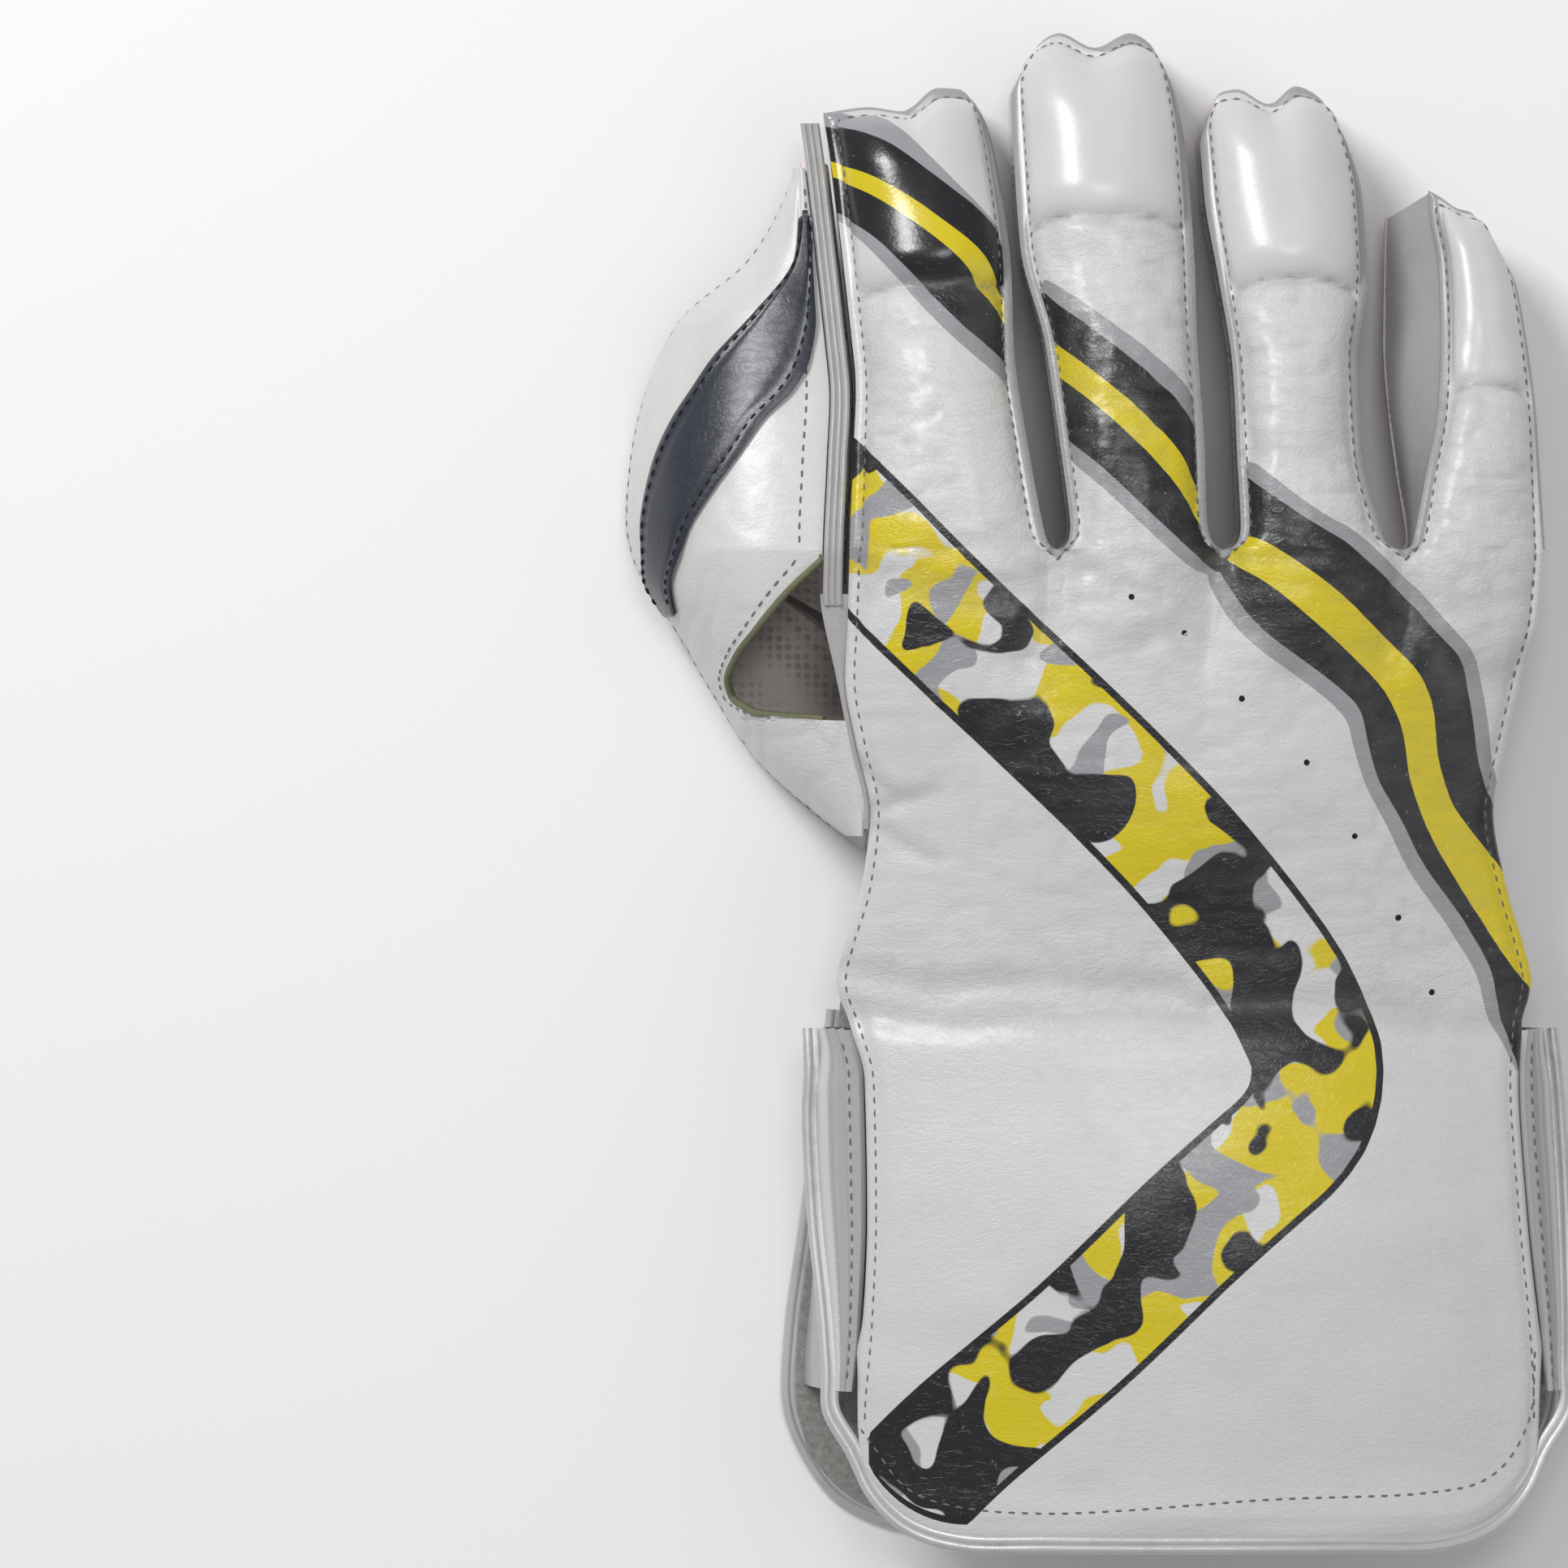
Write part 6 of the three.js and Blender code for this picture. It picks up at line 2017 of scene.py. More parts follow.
@dataclass
class FingerWalls:
    """Grey side walls of the fingers and the ribbed strip beside the index finger."""

    finishes: Finishes
    wall: float = GUSSET_WALL
    gap: float = BACK_WALL + SEAM_GAP
    height_steps: int = 9
    pucker: float = 0.3
    end_gap: float = 0.12

    def path(self, name: str) -> list[tuple[int, float, float]]:
        """Places along a wall.

        Args:
            name: The wall's node.

        Returns:
            Finger, column and station of each place.
        """
        if name == "index_side_gusset":
            down = [(0, c, s) for c, s in edge_columns(-1)]
            down += [(0, 0.0, at) for at in (-0.03, -0.06, -0.1)]
            return down[::-1]
        if name == "little_side_gusset":
            down = [(3, c, s) for c, s in edge_columns(1)]
            return down + [(3, LAST_COLUMN, float(at)) for at in spaced(-0.02, -0.96, 0.02)]
        left = {"gusset_index_middle": 0, "gusset_middle_ring": 1, "gusset_ring_little": 2}[name]
        down = [(left, c, s) for c, s in edge_columns(1)]
        up = [(left + 1, c, s) for c, s in edge_columns(-1)[::-1]]
        return [*down, (left + 1, 0.0, 0.0), *up]

    def line(
        self, face: Callable[[int, Array, Array], Array], places: Sequence[tuple[int, float, float]]
    ) -> Array:
        """Points of a face along a wall's path.

        Args:
            face: Gives points for a finger, columns and stations.
            places: The path.

        Returns:
            The points, clear of the wall beside this one at both ends.
        """
        points = np.array([face(f, np.array([c]), np.array([s]))[0] for f, c, s in places])
        for end, inner in ((0, 1), (-1, -2)):
            way = points[inner] - points[end]
            length = float(np.linalg.norm(way[:2]))
            points[end] += way * min(0.9, self.end_gap / max(length, 0.01))
        return points

    def build_wall(self, name: str) -> Piece:
        """Builds one wall.

        Args:
            name: The node that it stands for.

        Returns:
            The piece.
        """
        places = self.path(name)
        top, bottom = self.line(SHAPE.back, places), self.line(SHAPE.palm, places)
        way = unit(np.gradient((top + bottom)[:, :2] / 2, axis=0))
        inward = np.stack([way[:, 1], -way[:, 0], 0 * way[:, 0]], -1)
        under, seat = top[:, 2] - self.gap, bottom[:, 2] + self.gap
        lean = ((top - bottom) * inward).sum(1)
        tilt = self.wall * lean / np.maximum(np.hypot(lean, under - seat), 1e-6)
        low, high = seat + np.maximum(0, tilt), under + np.minimum(0, tilt)
        rows = np.linspace(0, 1, self.height_steps)
        along = np.append(0, np.cumsum(np.linalg.norm(np.diff(top, axis=0), axis=1)))
        noise = SoftNoise(sum(map(ord, name)))

        def place(index: Array, share: Array) -> Array:
            """Points of the wall at places of its path and shares of its height.

            Args:
                index: Numbers of the places.
                share: Shares of the height.

            Returns:
                The points, one row each.
            """
            i = index.astype(int)
            flat = mix(bottom[i, :2], top[i, :2], share[:, None]) + inward[i, :2] * GUSSET_INSET
            push = self.pucker * np.sin(math.pi * share) * (noise(along[i] / 5, share * 3) - 0.2)
            flat += inward[i, :2] * np.maximum(push, -0.1)[:, None]
            return np.column_stack([flat, mix(low[i], high[i], share)])

        sheet = grid(np.arange(len(places)), rows, place, False)
        solid = thickened(sheet, self.wall)
        piece = made(name.replace("gusset", "wall"), solid, [self.finishes.grey])
        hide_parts(name)
        return piece

    def build_strip(self) -> Piece:
        """Builds the ribbed strip of the index seam.

        Returns:
            The piece.
        """
        def place(at: Array, share: Array) -> Array:
            """Points of the strip along the seam and across it.

            Args:
                at: Shares of the web's length.
                share: Shares of the width.

            Returns:
                The points, one row each.
            """
            seam = SHAPE.web_seam(at)
            ridge = np.abs(np.sin(3 * math.pi * share)) ** 0.7
            lift = SEAM_RIB * ridge * (1 + 0.06 * np.sin(at * 900))
            return seam + np.stack([SEAM_GAP + share * SEAM_STRIP_WIDTH, 0 * at, lift - SEAM_GAP], -1)

        sheet = grid(spaced(0.33, 0.985, 0.008), spaced(0, 1, 0.05), place, False)
        piece = made("index_strip", thickened(sheet, self.wall), [self.finishes.grey])
        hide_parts("index_seam_strip")
        return piece

    def build(self) -> list[Piece]:
        """Builds all walls and the strip."""
        names = ("index_side_gusset", "gusset_index_middle", "gusset_middle_ring", "gusset_ring_little",
                 "little_side_gusset")
        return [*(self.build_wall(name) for name in names), self.build_strip()]


@dataclass
class ThumbSide:
    """White web and thumb leather with its hole, the dark insert and the rubber below."""

    finishes: Finishes
    seam_inset: float = 2.0
    bulge: float = 0.3
    ground: Ground = field(init=False)

    def leather(self, at: Array, share: Array) -> Array:
        """Outer face of the leather, between the hole or seam and the outer edge."""
        return SHAPE.web(at, self.turned(at, share))

    def turned(self, at: Array, share: Array) -> Array:
        """The web's turn at a share of the way from the hole or seam to the outer edge."""
        return mix(SHAPE.hole_turn(at), 1.0, share)

    def build_leather(self) -> Piece:
        """Builds the white leather.

        Returns:
            The piece.
        """
        start, end = THUMB_HOLE[0][0], THUMB_HOLE[-1][0]
        stops = [0.02, start - 0.004, start + 0.0005, 0.21, end - 0.0005, end + 0.005, 0.925]
        steps = [0.006, 0.002, 0.002, 0.006, 0.003, 0.006]
        parts = [spaced(a, b, step) for a, b, step in zip(stops[:-1], stops[1:], steps, strict=True)]
        sheet = grid(np.unique(np.concatenate(parts)), spaced(0, 1, 0.022), self.leather, True)
        at, share = sheet.values["row"], sheet.values["column"]
        x, y = sheet.points[:, 0], sheet.points[:, 1]
        noise, folds = SoftNoise(31), SoftNoise(43)
        wide = np.linalg.norm(SHAPE.web(at, np.ones_like(at)) - self.leather(at, 0 * at), axis=1)
        edge = np.minimum(share, 1 - share) * wide
        inner = ease(edge, 1, 3) * (1 - ease(at, 0.9, 0.025))
        worked = 0.35 + 0.6 * bump(at - 0.2, 0.14)
        creases = folds.creased(x / 4 + 2 * noise(x / 20, y / 20), y / 9) * worked
        push = 0.5 * (noise.layered(x / 19, y / 19, 2) - 0.5) * inner - 0.35 * creases * inner
        push -= 0.3 * bump(edge - self.seam_inset, 0.5) + 0.5 * np.clip(1 - edge / 1.2, 0, 1) ** 2
        face = sheet.pushed(np.minimum(push, self.bulge))
        self.ground = Ground(face)
        solid = thickened(sheet, WEB_WALL, 1, face=face)
        # The crease value paints faint shade into the web's folds.
        solid.values = {"worked": np.tile(worked, 2), "crease": np.tile(0.25 * creases, 2)}
        piece = made("web_leather", solid, [self.finishes.web, self.finishes.lining], ["worked", "crease"])
        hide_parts("web_thumb_back")
        return piece

    def build_insert(self) -> Piece:
        """Builds the dark wave sewn on the web.

        Returns:
            The piece.
        """
        inner, outer = SHAPE.insert_inner, SHAPE.insert_outer
        start, end = INSERT_INNER[0][0], INSERT_INNER[-1][0]
        noise = SoftNoise(53)

        def place(at: Array, share: Array) -> Array:
            """Points of the insert along the web and across it.

            Args:
                at: Shares of the web's length.
                share: Shares of the width.

            Returns:
                The points, one row each.
            """
            turn = mix(SHAPE.turn_at(inner(at)), SHAPE.turn_at(outer(at)), share)
            edge = np.minimum(np.minimum(share, 1 - share) * 12, np.minimum(at - start, end - at) * 150)
            rise = INSERT_WALL + SEAM_GAP + INSERT_LIFT - 0.4 * np.clip(1 - edge, 0, 1) ** 2
            point = SHAPE.web(at, turn)
            rise += 0.25 * (noise(point[..., 0] / 7, point[..., 1] / 7) - 0.5)
            rise -= 0.2 * bump(edge - 1.9, 0.5)
            return point + SHAPE.web_normal(at, turn) * rise[..., None]

        sheet = grid(spaced(start, end, 0.004), spaced(0, 1, 0.04), place, True)
        piece = made("dark_insert", thickened(sheet, INSERT_WALL + 0.3), [self.finishes.navy])
        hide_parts("navy_insert")
        rows = []
        for share in (0.1, 0.9):
            at = spaced(0.335, 0.85, 0.004)
            line = place(at, np.full_like(at, share))
            turn = mix(SHAPE.turn_at(inner(at)), SHAPE.turn_at(outer(at)), share)
            rows.append((line, SHAPE.web_normal(at, turn)))
        sewn = made("insert_stitches", StitchKind(lift=0.05).sewn(rows), [self.finishes.dark_thread])
        return piece

    def build_trim(self) -> list[Piece]:
        """Builds the hole's rim, the binding beside it and the web's stitches.

        Returns:
            The pieces.
        """
        at = spaced(THUMB_HOLE[0][0] + 0.002, THUMB_HOLE[-1][0] - 0.002, 0.003)
        turn = SHAPE.hole_turn(at)
        rim = SHAPE.web(at, turn) - SHAPE.web_normal(at, turn) * 0.7
        piece = made("hole_rim", tube(smoothed(rim[::2], 0.8), 0.85), [self.finishes.rim])
        fold = grid(spaced(0.03, 0.345, 0.006), spaced(0, 1, 0.1), self.binding, False)
        bound = made("seam_binding", thickened(fold, 0.9), [self.finishes.grey])
        rows = []
        for start, end, inset in ((0.03, 0.9, None), (0.18, 0.395, 0.06), (0.41, 0.9, 0.05)):
            along = spaced(start, end, 0.004)
            turns = np.full_like(along, 0.955) if inset is None else SHAPE.hole_turn(along) + inset
            line = [self.ground.near(point) for point in SHAPE.web(along, turns)]
            rows.append((np.array(line), SHAPE.web_normal(along, turns)))
        sewn = made("web_stitches", StitchKind(lift=0.0).sewn(rows), [self.finishes.grey_thread])
        return [piece, bound, sewn]

    def binding(self, at: Array, share: Array) -> Array:
        """Folded strip that closes the seam between the hand and the hole.

        Args:
            at: Shares of the web's length.
            share: Shares of its width.

        Returns:
            The points, one row each.
        """
        seam = SHAPE.web_seam(at)
        side = SHAPE.body_edge(-1, SHAPE.station(np.minimum(seam[:, 1], BODY_LENGTH))) + 0.3
        drop = 1.0 - 0.6 * np.sin(math.pi * share)
        return np.stack([mix(seam[:, 0] - 0.2, side, share), seam[:, 1], seam[:, 2] - drop], -1)

    def build_rubber(self) -> Piece:
        """Builds the pimpled rubber under the web.

        Returns:
            The piece.
        """
        sheet = grid(spaced(0, 0.9, 0.014), spaced(0, 7, 0.25), SHAPE.web_rubber, False)
        piece = pimpled("web_rubber_sheet", sheet, WEB_RUBBER_WALL, self.finishes)
        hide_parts("web_rubber")
        return piece

    def build(self) -> list[Piece]:
        """Builds the whole thumb side."""
        return [self.build_leather(), self.build_insert(), *self.build_trim(), self.build_rubber()]


def pimples(face: Sheet) -> Solid:
    """Low rubber domes in staggered rows on a face that looks down.

    Args:
        face: The face.

    Returns:
        All domes as one solid.
    """
    ground, low, high = Ground(face), face.points.min(0), face.points.max(0)
    points, faces, row, count = [], [], 0, PIMPLE_SIDES
    y = low[1]
    while y < high[1]:
        for x in np.arange(low[0] + (row % 2) * PIMPLE_PITCH / 2, high[0], PIMPLE_PITCH):
            found = ground.under(float(x), float(y), Side.BELOW)
            if found is None or found[1][2] > PIMPLE_STEEPEST or ground.to_rim(found[0]) < PIMPLE_CLEARANCE:
                continue
            place, up = found
            ring = circle(up, (0.0, 1.0, 0.0), count)
            start = len(points) * (2 * count + 1)
            points.append(np.concatenate([
                place + ring * PIMPLE_RADIUS - up * 0.1,
                place + ring * PIMPLE_SHOULDER * PIMPLE_RADIUS + up * PIMPLE_SHOULDER * PIMPLE_HEIGHT,
                (place + up * PIMPLE_HEIGHT)[None],
            ]))
            for i in range(start, start + count):
                j = start + (i + 1 - start) % count
                faces += [(i, j, count + j, count + i), (count + i, count + j, start + 2 * count)]
        y += PIMPLE_PITCH * math.sqrt(3) / 2
        row += 1
    return Solid(np.concatenate(points), faces, [2] * len(faces))


def pimpled(name: str, sheet: Sheet, wall: float, finishes: Finishes) -> Piece:
    """Makes a piece of pimpled rubber.

    Args:
        name: The piece's name.
        sheet: The face on which the crowns of the pimples lie.
        wall: Thickness of the rubber with its pimples.
        finishes: The glove's finishes.

    Returns:
        The piece.
    """
    face = sheet.pushed(np.full(len(sheet.points), -PIMPLE_HEIGHT))
    solid = joined([thickened(face, wall - PIMPLE_HEIGHT, 1), pimples(face)])
    # Finish 2, on the pimples, is the lighter rubber of their painted highlight.
    return made(name, solid, [finishes.rubber, finishes.reverse, finishes.pimple])


def in_slit(finger: int, column: Array, station: Array) -> Array:
    """Whether places on the palm lie in the slit between thumb and palm."""
    return (finger == 0) & (column < SLIT_COLUMNS) & (station > SLIT[0]) & (station < SLIT[1])


def cuff_palm_face(share: Array, across: Array) -> Array:
    """Outer face of the cuff's palm panel, along it and across it."""
    return SHAPE.cuff_palm(across, share)


@dataclass
class PalmSide:
    """Pimpled rubber of the palm, finger fronts and thumb, and the cuff's palm panel."""

    finishes: Finishes
    rubber_wall: float = RUBBER_WALL
    panel_wall: float = CUFF_PALM_WALL
    panel_raise: float = 0.3

    def rubber_sheet(self) -> Sheet:
        """Outer face of the rubber, with the thumb joined to the palm's edge.

        Returns:
            The face as one sheet.
        """
        parts = ((PALM_START, THUMB_BLOCK[0]), THUMB_BLOCK, SLIT, (SLIT[1], 0), (0, 1))
        rows = np.unique(np.concatenate([spaced(a, b, 0.0185) for a, b in parts]))
        parts = ((0, 1, 0.5), (1, 5, 0.25), (5, LAST_COLUMN, 0.5))
        columns = np.unique(np.concatenate([spaced(*part) for part in parts]))
        palm = hand(rows, columns, SHAPE.palm, True, in_slit)
        block = rows[(rows >= THUMB_BLOCK[0] - 1e-9) & (rows <= THUMB_BLOCK[1] + 1e-9)]
        thumb = grid(block, spaced(0, 1, 0.05), SHAPE.thumb_rubber, False)
        return welded([palm, thumb])

    def build_rubber(self) -> Piece:
        """Builds the rubber.

        Returns:
            The piece.
        """
        piece = pimpled("palm_rubber_skin", self.rubber_sheet(), self.rubber_wall, self.finishes)
        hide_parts("palm_rubber")
        return piece

    def build_panel(self) -> list[Piece]:
        """Builds the cuff's palm panel and its stitches.

        Returns:
            The panel and the stitches.
        """
        noise, folds = SoftNoise(61), SoftNoise(67)
        sheet = grid(spaced(0, 1, 0.014), spaced(0, 1, 0.01), cuff_palm_face, True)
        share, across = sheet.values["row"], sheet.values["column"]
        x, y = sheet.points[:, 0], sheet.points[:, 1]
        from_sides = np.minimum(across, 1 - across) * CUFF_WIDTH
        edge = np.minimum(from_sides, np.minimum(share, 1 - share) * CUFF_LENGTH)
        push = -self.panel_raise + self.panel_raise * (noise.layered(x / 14, y / 14, 2) - 0.3)
        push -= 0.5 * np.clip(1 - edge / 1.5, 0, 1) ** 2 + 0.2 * folds.creased(x / 9, y / 5)
        face = sheet.pushed(np.minimum(push, 0.0))
        solid = thickened(sheet, self.panel_wall, 1, face=face)
        piece = made("cuff_palm_leather", solid, [self.finishes.white, self.finishes.lining])
        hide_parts("cuff_palm_panel")
        ground, across = Ground(face), spaced(0.03, 0.97, 0.01)
        lines = [SHAPE.cuff_palm(across, height) for height in (0.05, 0.9, 0.945)]
        lines += [SHAPE.cuff_palm(np.full(60, side), np.linspace(0.05, 0.97, 60)) for side in (0.02, 0.98)]
        rows = [row for line in lines for row in laid(ground, line[:, :2], Side.BELOW)]
        sewn = made("cuff_palm_stitches", StitchKind(lift=-0.12).sewn(rows), [self.finishes.grey_thread])
        return [piece, sewn]

    def build(self) -> list[Piece]:
        """Builds the rubber and the panel."""
        return [self.build_rubber(), *self.build_panel()]


def welded(sheets: Sequence[Sheet]) -> Sheet:
    """Several sheets as one, joined where their points meet.

    Args:
        sheets: The sheets.

    Returns:
        The one sheet, without values.
    """
    points = np.concatenate([sheet.points for sheet in sheets])
    starts = np.cumsum([0, *(len(sheet.points) for sheet in sheets[:-1])])
    cells = np.concatenate([sheet.cells + start for sheet, start in zip(sheets, starts, strict=True)])
    _, kept, same = np.unique(np.round(points, 3), axis=0, return_index=True, return_inverse=True)
    return Sheet(points[kept], same.reshape(-1)[cells])


@dataclass
class Cuff:
    """Ribbed sides of the cuff, silver piping round both hems, and the fleece at the wrist."""

    finishes: Finishes
    front_away: float = 2.05
    palm_away: float = 1.8
    rib_power: float = 0.7

    def foot(self, side: int, y: Array) -> Array:
        """Foot of the cuff's side wall on its palm panel.

        Args:
            side: -1 for the thumb side, 1 for the outer side.
            y: Distances from the hem.

        Returns:
            The points, one row each.
        """
        top = SHAPE.cuff_palm_top + CUFF_PALM_SHOULDER * (1 if side < 0 else 0)
        share = np.clip((y - HEM_CORNER) / (top - HEM_CORNER), 0, 1)
        base = SHAPE.cuff_palm(np.full_like(y, 0.0 if side < 0 else 1.0), share)
        lift = CUFF_PALM_WALL + SEAM_GAP + CHORD_GAP
        return np.stack([base[:, 0] - side * (CUFF_SIDE_WALL + CHORD_GAP), y, base[:, 2] + lift], -1)

    def rib(self, side: int, station: Array, share: Array) -> Array:
        """Ribbed band beside the cuff front.

        Args:
            side: -1 for the thumb side, 1 for the outer side.
            station: Stations along the glove.
            share: Shares of the band's width.

        Returns:
            The points, one row each.
        """
        width, fall, edge, level = SHAPE.cuff_band(side, station)
        rise = BAND_RIB * (1.3 * np.abs(np.sin(3 * math.pi * share)) ** self.rib_power - 0.3) / math.sqrt(2)
        rise = rise * ease(share, 0, 0.08)
        x = edge + side * (width * share + rise)
        return np.stack([x, SHAPE.along(station), level - fall * share + rise], -1)

    def build_side(self, side: int) -> Piece:
        """Builds one side of the cuff.

        Args:
            side: -1 for the thumb side, 1 for the outer side.

        Returns:
            The piece.
        """
        noise = SoftNoise(71 + side)

        def place(station: Array, way: Array) -> Array:
            """Points of the side at stations; the way runs over the band (0 to 1) and down (1 to 2).

            Args:
                station: Stations along the glove.
                way: How far over the first part (0 to 1) and the second (1 to 2).

            Returns:
                The points, one row each.
            """
            band = self.rib(side, station, np.clip(way, 0, 1))
            foot = self.foot(side, band[:, 1])
            down = np.clip(way - 1, 0, 1)
            point = mix(band, foot, down[:, None])
            arched = np.sin(math.pi * down)
            bow = SIDE_BOW * arched + 0.5 * arched * (noise(band[:, 1] / 6, down * 2) - 0.5)
            point[:, 0] += side * bow
            return point

        ways = np.concatenate([spaced(0, 1, 0.035), spaced(1, 2, 0.08)[1:]])
        sheet = grid(spaced(-1.72, -1.02, 0.012), ways, place, side < 0)
        solid = thickened(sheet, CUFF_SIDE_WALL)
        tone = 1 - ease(np.abs(sheet.values["column"] - 0.86), 0.13, 0.03)
        solid.values = {"tone": np.tile(tone, 2)}
        name = "left" if side < 0 else "right"
        piece = made(f"cuff_wall_{name}", solid, [self.finishes.banded], ["tone"])
        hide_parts(f"cuff_side_{name}")
        stations = spaced(-1.7, -1.04, 0.01)
        line = self.rib(side, stations, np.full_like(stations, 1 / 6))
        facing = np.tile([side * 0.6, 0.0, 0.8], (len(line), 1))
        stitches = StitchKind(lift=0.1).sewn([(line, facing)])
        sewn = made(f"cuff_stitches_{name}", stitches, [self.finishes.grey_thread])
        return piece

    def front_path(self) -> Array:
        """Middle of the piping round the cuff front.

        Returns:
            The points of the path.
        """
        sides = (-1.02, -1.1, -1.2, -1.38, -1.56, -1.68, -1.76)
        away = self.front_away

        def beside(side: int, station: float) -> Array:
            """Place of the piping beside the ribbed band at a station."""
            width, fall, edge, level = SHAPE.cuff_band(side, station)
            return np.array([edge + side * (width + away), SHAPE.along(station), level - fall], float)

        points = [beside(-1, at) for at in sides]
        left, right = float(SHAPE.body_edge(-1, -2)), float(SHAPE.body_edge(1, -2))
        for across in (0.004, 0.03, 0.08, 0.16, 0.28, 0.4, 0.5, 0.6, 0.72, 0.84, 0.92, 0.97, 0.996):
            rise = float(SHAPE.hem_rise(across, right - left))
            out = (across - 0.5) * 2 * (rise / HEM_CORNER) * away
            level = float(SHAPE.seam_level(across, -2)) - 1.1
            y = rise - away * (1 - rise / HEM_CORNER)
            points.append(np.array([mix(left, right, across) + out, y, level]))
        points += [beside(1, at) for at in reversed(sides)]
        return np.array(points)

    def palm_path(self) -> Array:
        """Middle of the piping round the cuff's palm panel.

        Returns:
            The points of the path.
        """
        away, shares = self.palm_away, (0.98, 0.8, 0.6, 0.4, 0.2)
        lift = np.array([0, 0, PIPING_RADIUS])
        left, right = (np.array([edge]) for edge in (0.0, 1.0))
        points = [SHAPE.cuff_palm(left, share)[0] + lift - (away, 0, 0) for share in shares]
        for across in (0.0, 0.03, 0.08, 0.16, 0.3, 0.5, 0.7, 0.84, 0.92, 0.97, 1.0):
            rise = float(SHAPE.hem_rise(across, CUFF_WIDTH)) / HEM_CORNER
            place = SHAPE.cuff_palm(np.array([across]), 0.0)[0] + lift
            points.append(place + ((across - 0.5) * 2 * rise * away, -(1 - rise) * away, 0))
        points += [SHAPE.cuff_palm(right, share)[0] + lift + (away, 0, 0) for share in reversed(shares)]
        return np.array(points)

    def build_piping(self) -> list[Piece]:
        """Builds the piping of both hems, each a cord with a folded flat edge beside it.

        Returns:
            The pieces.
        """
        pieces = []
        for name, path, inset in (("front", self.front_path(), 1.7), ("palm", self.palm_path(), 1.2)):
            line = smoothed(path, 1.5)
            way = np.gradient(line, axis=0)
            inward = unit(np.stack([-way[:, 1], way[:, 0], 0 * way[:, 0]], -1))
            fold = line + inward * inset + np.array([0, 0, 0.35 if name == "front" else 0.1])
            solid = joined([tube(line, PIPING_RADIUS, 12), tube(fold, 1.15, flat=0.5)])
            piece = made(f"piping_{name}", solid, [self.finishes.silver])
            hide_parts(f"hem_piping_{name}")
            pieces.append(piece)
        return pieces

    def build_lining(self) -> Piece:
        """Builds the fleece on the thumb side of the wrist.

        Returns:
            The piece.
        """
        noise = SoftNoise(83)

        def place(station: Array, way: Array) -> Array:
            """Points of the fleece at stations; the way runs over the floor (0 to 1) and up (1 to 2).

            Args:
                station: Stations along the glove.
                way: How far over the first part (0 to 1) and the second (1 to 2).

            Returns:
                The points, one row each.
            """
            side = SHAPE.body_edge(-1, station) + LINING_INSET
            rest = CUFF_PALM_WALL + FLOOR_LIFT + CUFF_LIFT - 0.05
            top = SHAPE.seam_level(0.0, station) - BACK_WALL - SEAM_GAP
            floor, climb = np.clip(way, 0, 1), np.clip(way - 1, 0, 1)
            corner = 2.2 * bump(way - 1, 0.09)
            x = side * mix(0.42, 1.0, floor) + corner
            z = mix(rest, top, climb) + corner
            fluff = 0.35 * noise(SHAPE.along(station) / 2.5, way * 9)
            return np.stack([x + fluff * (climb > 0), SHAPE.along(station), z + fluff * (climb == 0)], -1)

        ways = np.concatenate([spaced(0, 0.9, 0.05), spaced(0.9, 1.15, 0.025)[1:], spaced(1.15, 2, 0.05)[1:]])
        sheet = grid(spaced(-1.16, -0.66, 0.012), ways, place, False)
        piece = made("wrist_fleece", thickened(sheet, LINING_WALL), [self.finishes.fleece])
        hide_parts("wrist_lining")
        flat_size(sheet)
        log.info("fleece cut flat: %.3f x %.3f m", *flat_size(sheet))
        return piece

    def build(self) -> list[Piece]:
        """Builds the cuff's own pieces."""
        return [self.build_side(-1), self.build_side(1), *self.build_piping(), self.build_lining()]


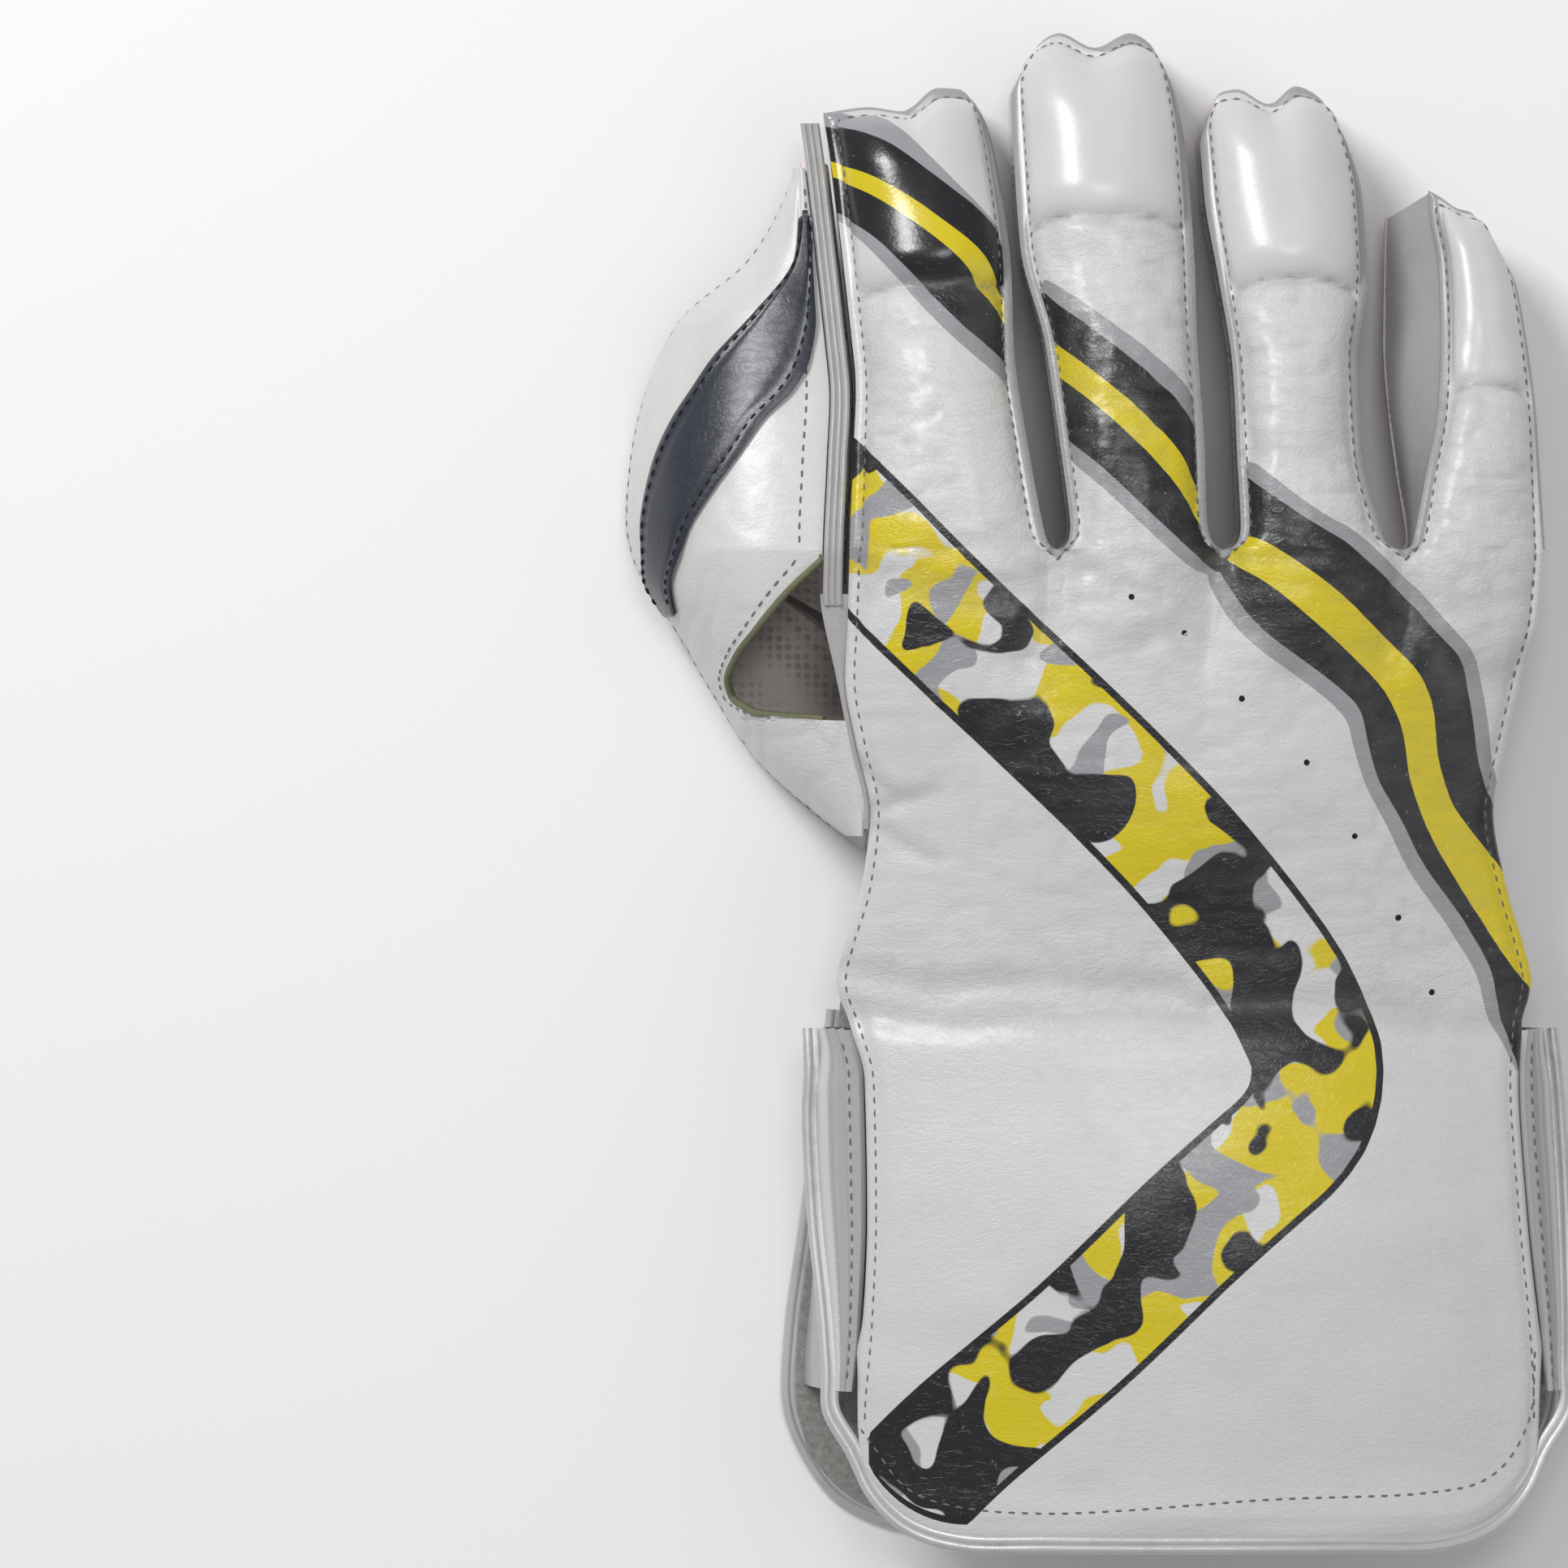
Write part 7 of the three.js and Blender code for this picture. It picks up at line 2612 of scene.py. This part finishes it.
@dataclass
class Studio:
    """Pale floor, soft lights and a camera straight above."""

    aim: tuple[float, float] = (-0.0695, 0.00115)
    distance: float = 2.2
    focus_height: float = 0.03
    seen_width: float = 0.3447
    sensor: float = 36.0
    floor_size: float = 6.0

    def floor(self) -> Piece:
        """Lays a pale seamless floor.

        Returns:
            The floor.
        """
        material, nodes, shader = surfaced("pale_floor", {"Roughness": 0.75, "Specular IOR Level": 0.2})
        cloud = nodes.noise(nodes.where(), 3.0, 2.0, 0.5)
        nodes.feed(shader.inputs["Base Color"], nodes.mixed(cloud, (0.93, 0.93, 0.935), (0.95, 0.95, 0.955)))
        half = self.floor_size / 2
        mesh = bpy.data.meshes.new("floor")
        corners = [(-half, -half, 0), (half, -half, 0), (half, half, 0), (-half, half, 0)]
        mesh.from_pydata(corners, [], [(0, 1, 2, 3)])
        mesh.materials.append(material)
        piece = bpy.data.objects.new("floor", mesh)
        bpy.context.scene.collection.objects.link(piece)
        return piece

    def light(self, name: str, place: tuple[float, float, float], size: float, power: float) -> None:
        """Hangs a soft square light that looks at the glove.

        Args:
            name: Its name.
            place: Where it hangs.
            size: Its side in metres.
            power: Its power in watts.
        """
        lamp = bpy.data.lights.new(name, "AREA")
        lamp.shape, lamp.size, lamp.energy = "SQUARE", size, power
        rig = bpy.data.objects.new(name, lamp)
        rig.location = place
        rig.rotation_euler = (-Vector(place)).to_track_quat("-Z", "Y").to_euler()
        bpy.context.scene.collection.objects.link(rig)

    def camera(self) -> None:
        """Sets the camera above the glove, with the fingers up in the picture."""
        lens = bpy.data.cameras.new("camera")
        lens.sensor_width = self.sensor
        lens.lens = self.sensor * self.distance / self.seen_width
        lens.clip_start, lens.clip_end = 0.05, 20.0
        rig = bpy.data.objects.new("camera", lens)
        rig.location = (*self.aim, self.distance + self.focus_height)
        bpy.context.scene.collection.objects.link(rig)
        bpy.context.scene.camera = rig

    def build(self) -> None:
        """Sets up the floor, the lights and the camera."""
        self.floor()
        self.light("key", (-0.8, 0.9, 1.2), 0.5, 15.0)
        self.light("fill", (1.2, -0.4, 1.1), 1.2, 2.6)
        self.light("top", (0.15, 0.6, 2.3), 0.7, 9.0)
        self.camera()
        world = bpy.data.worlds.new("studio")
        world.use_nodes = True
        world.node_tree.nodes["Background"].inputs[0].default_value = (1.0, 1.0, 1.0, 1.0)
        world.node_tree.nodes["Background"].inputs[1].default_value = 0.33
        bpy.context.scene.world = world
        bpy.context.scene.view_settings.view_transform = "Standard"


@dataclass
class Glove:
    """The whole glove."""

    finishes: Finishes = field(default_factory=Finishes)

    def build(self) -> None:
        """Builds and dresses every part of the glove."""
        back = HandBack(self.finishes)
        back.build()
        back.stitch()
        for part in (FingerWalls, ThumbSide, PalmSide, Cuff):
            log.info("building %s", part.__name__)
            part(self.finishes).build()


def main() -> None:
    """Builds the glove and the studio."""
    logging.basicConfig(level=logging.INFO, format="%(name)s: %(message)s")
    Glove().build()
    Studio().build()
    bpy.context.view_layer.update()


if __name__ == "__main__":
    main()
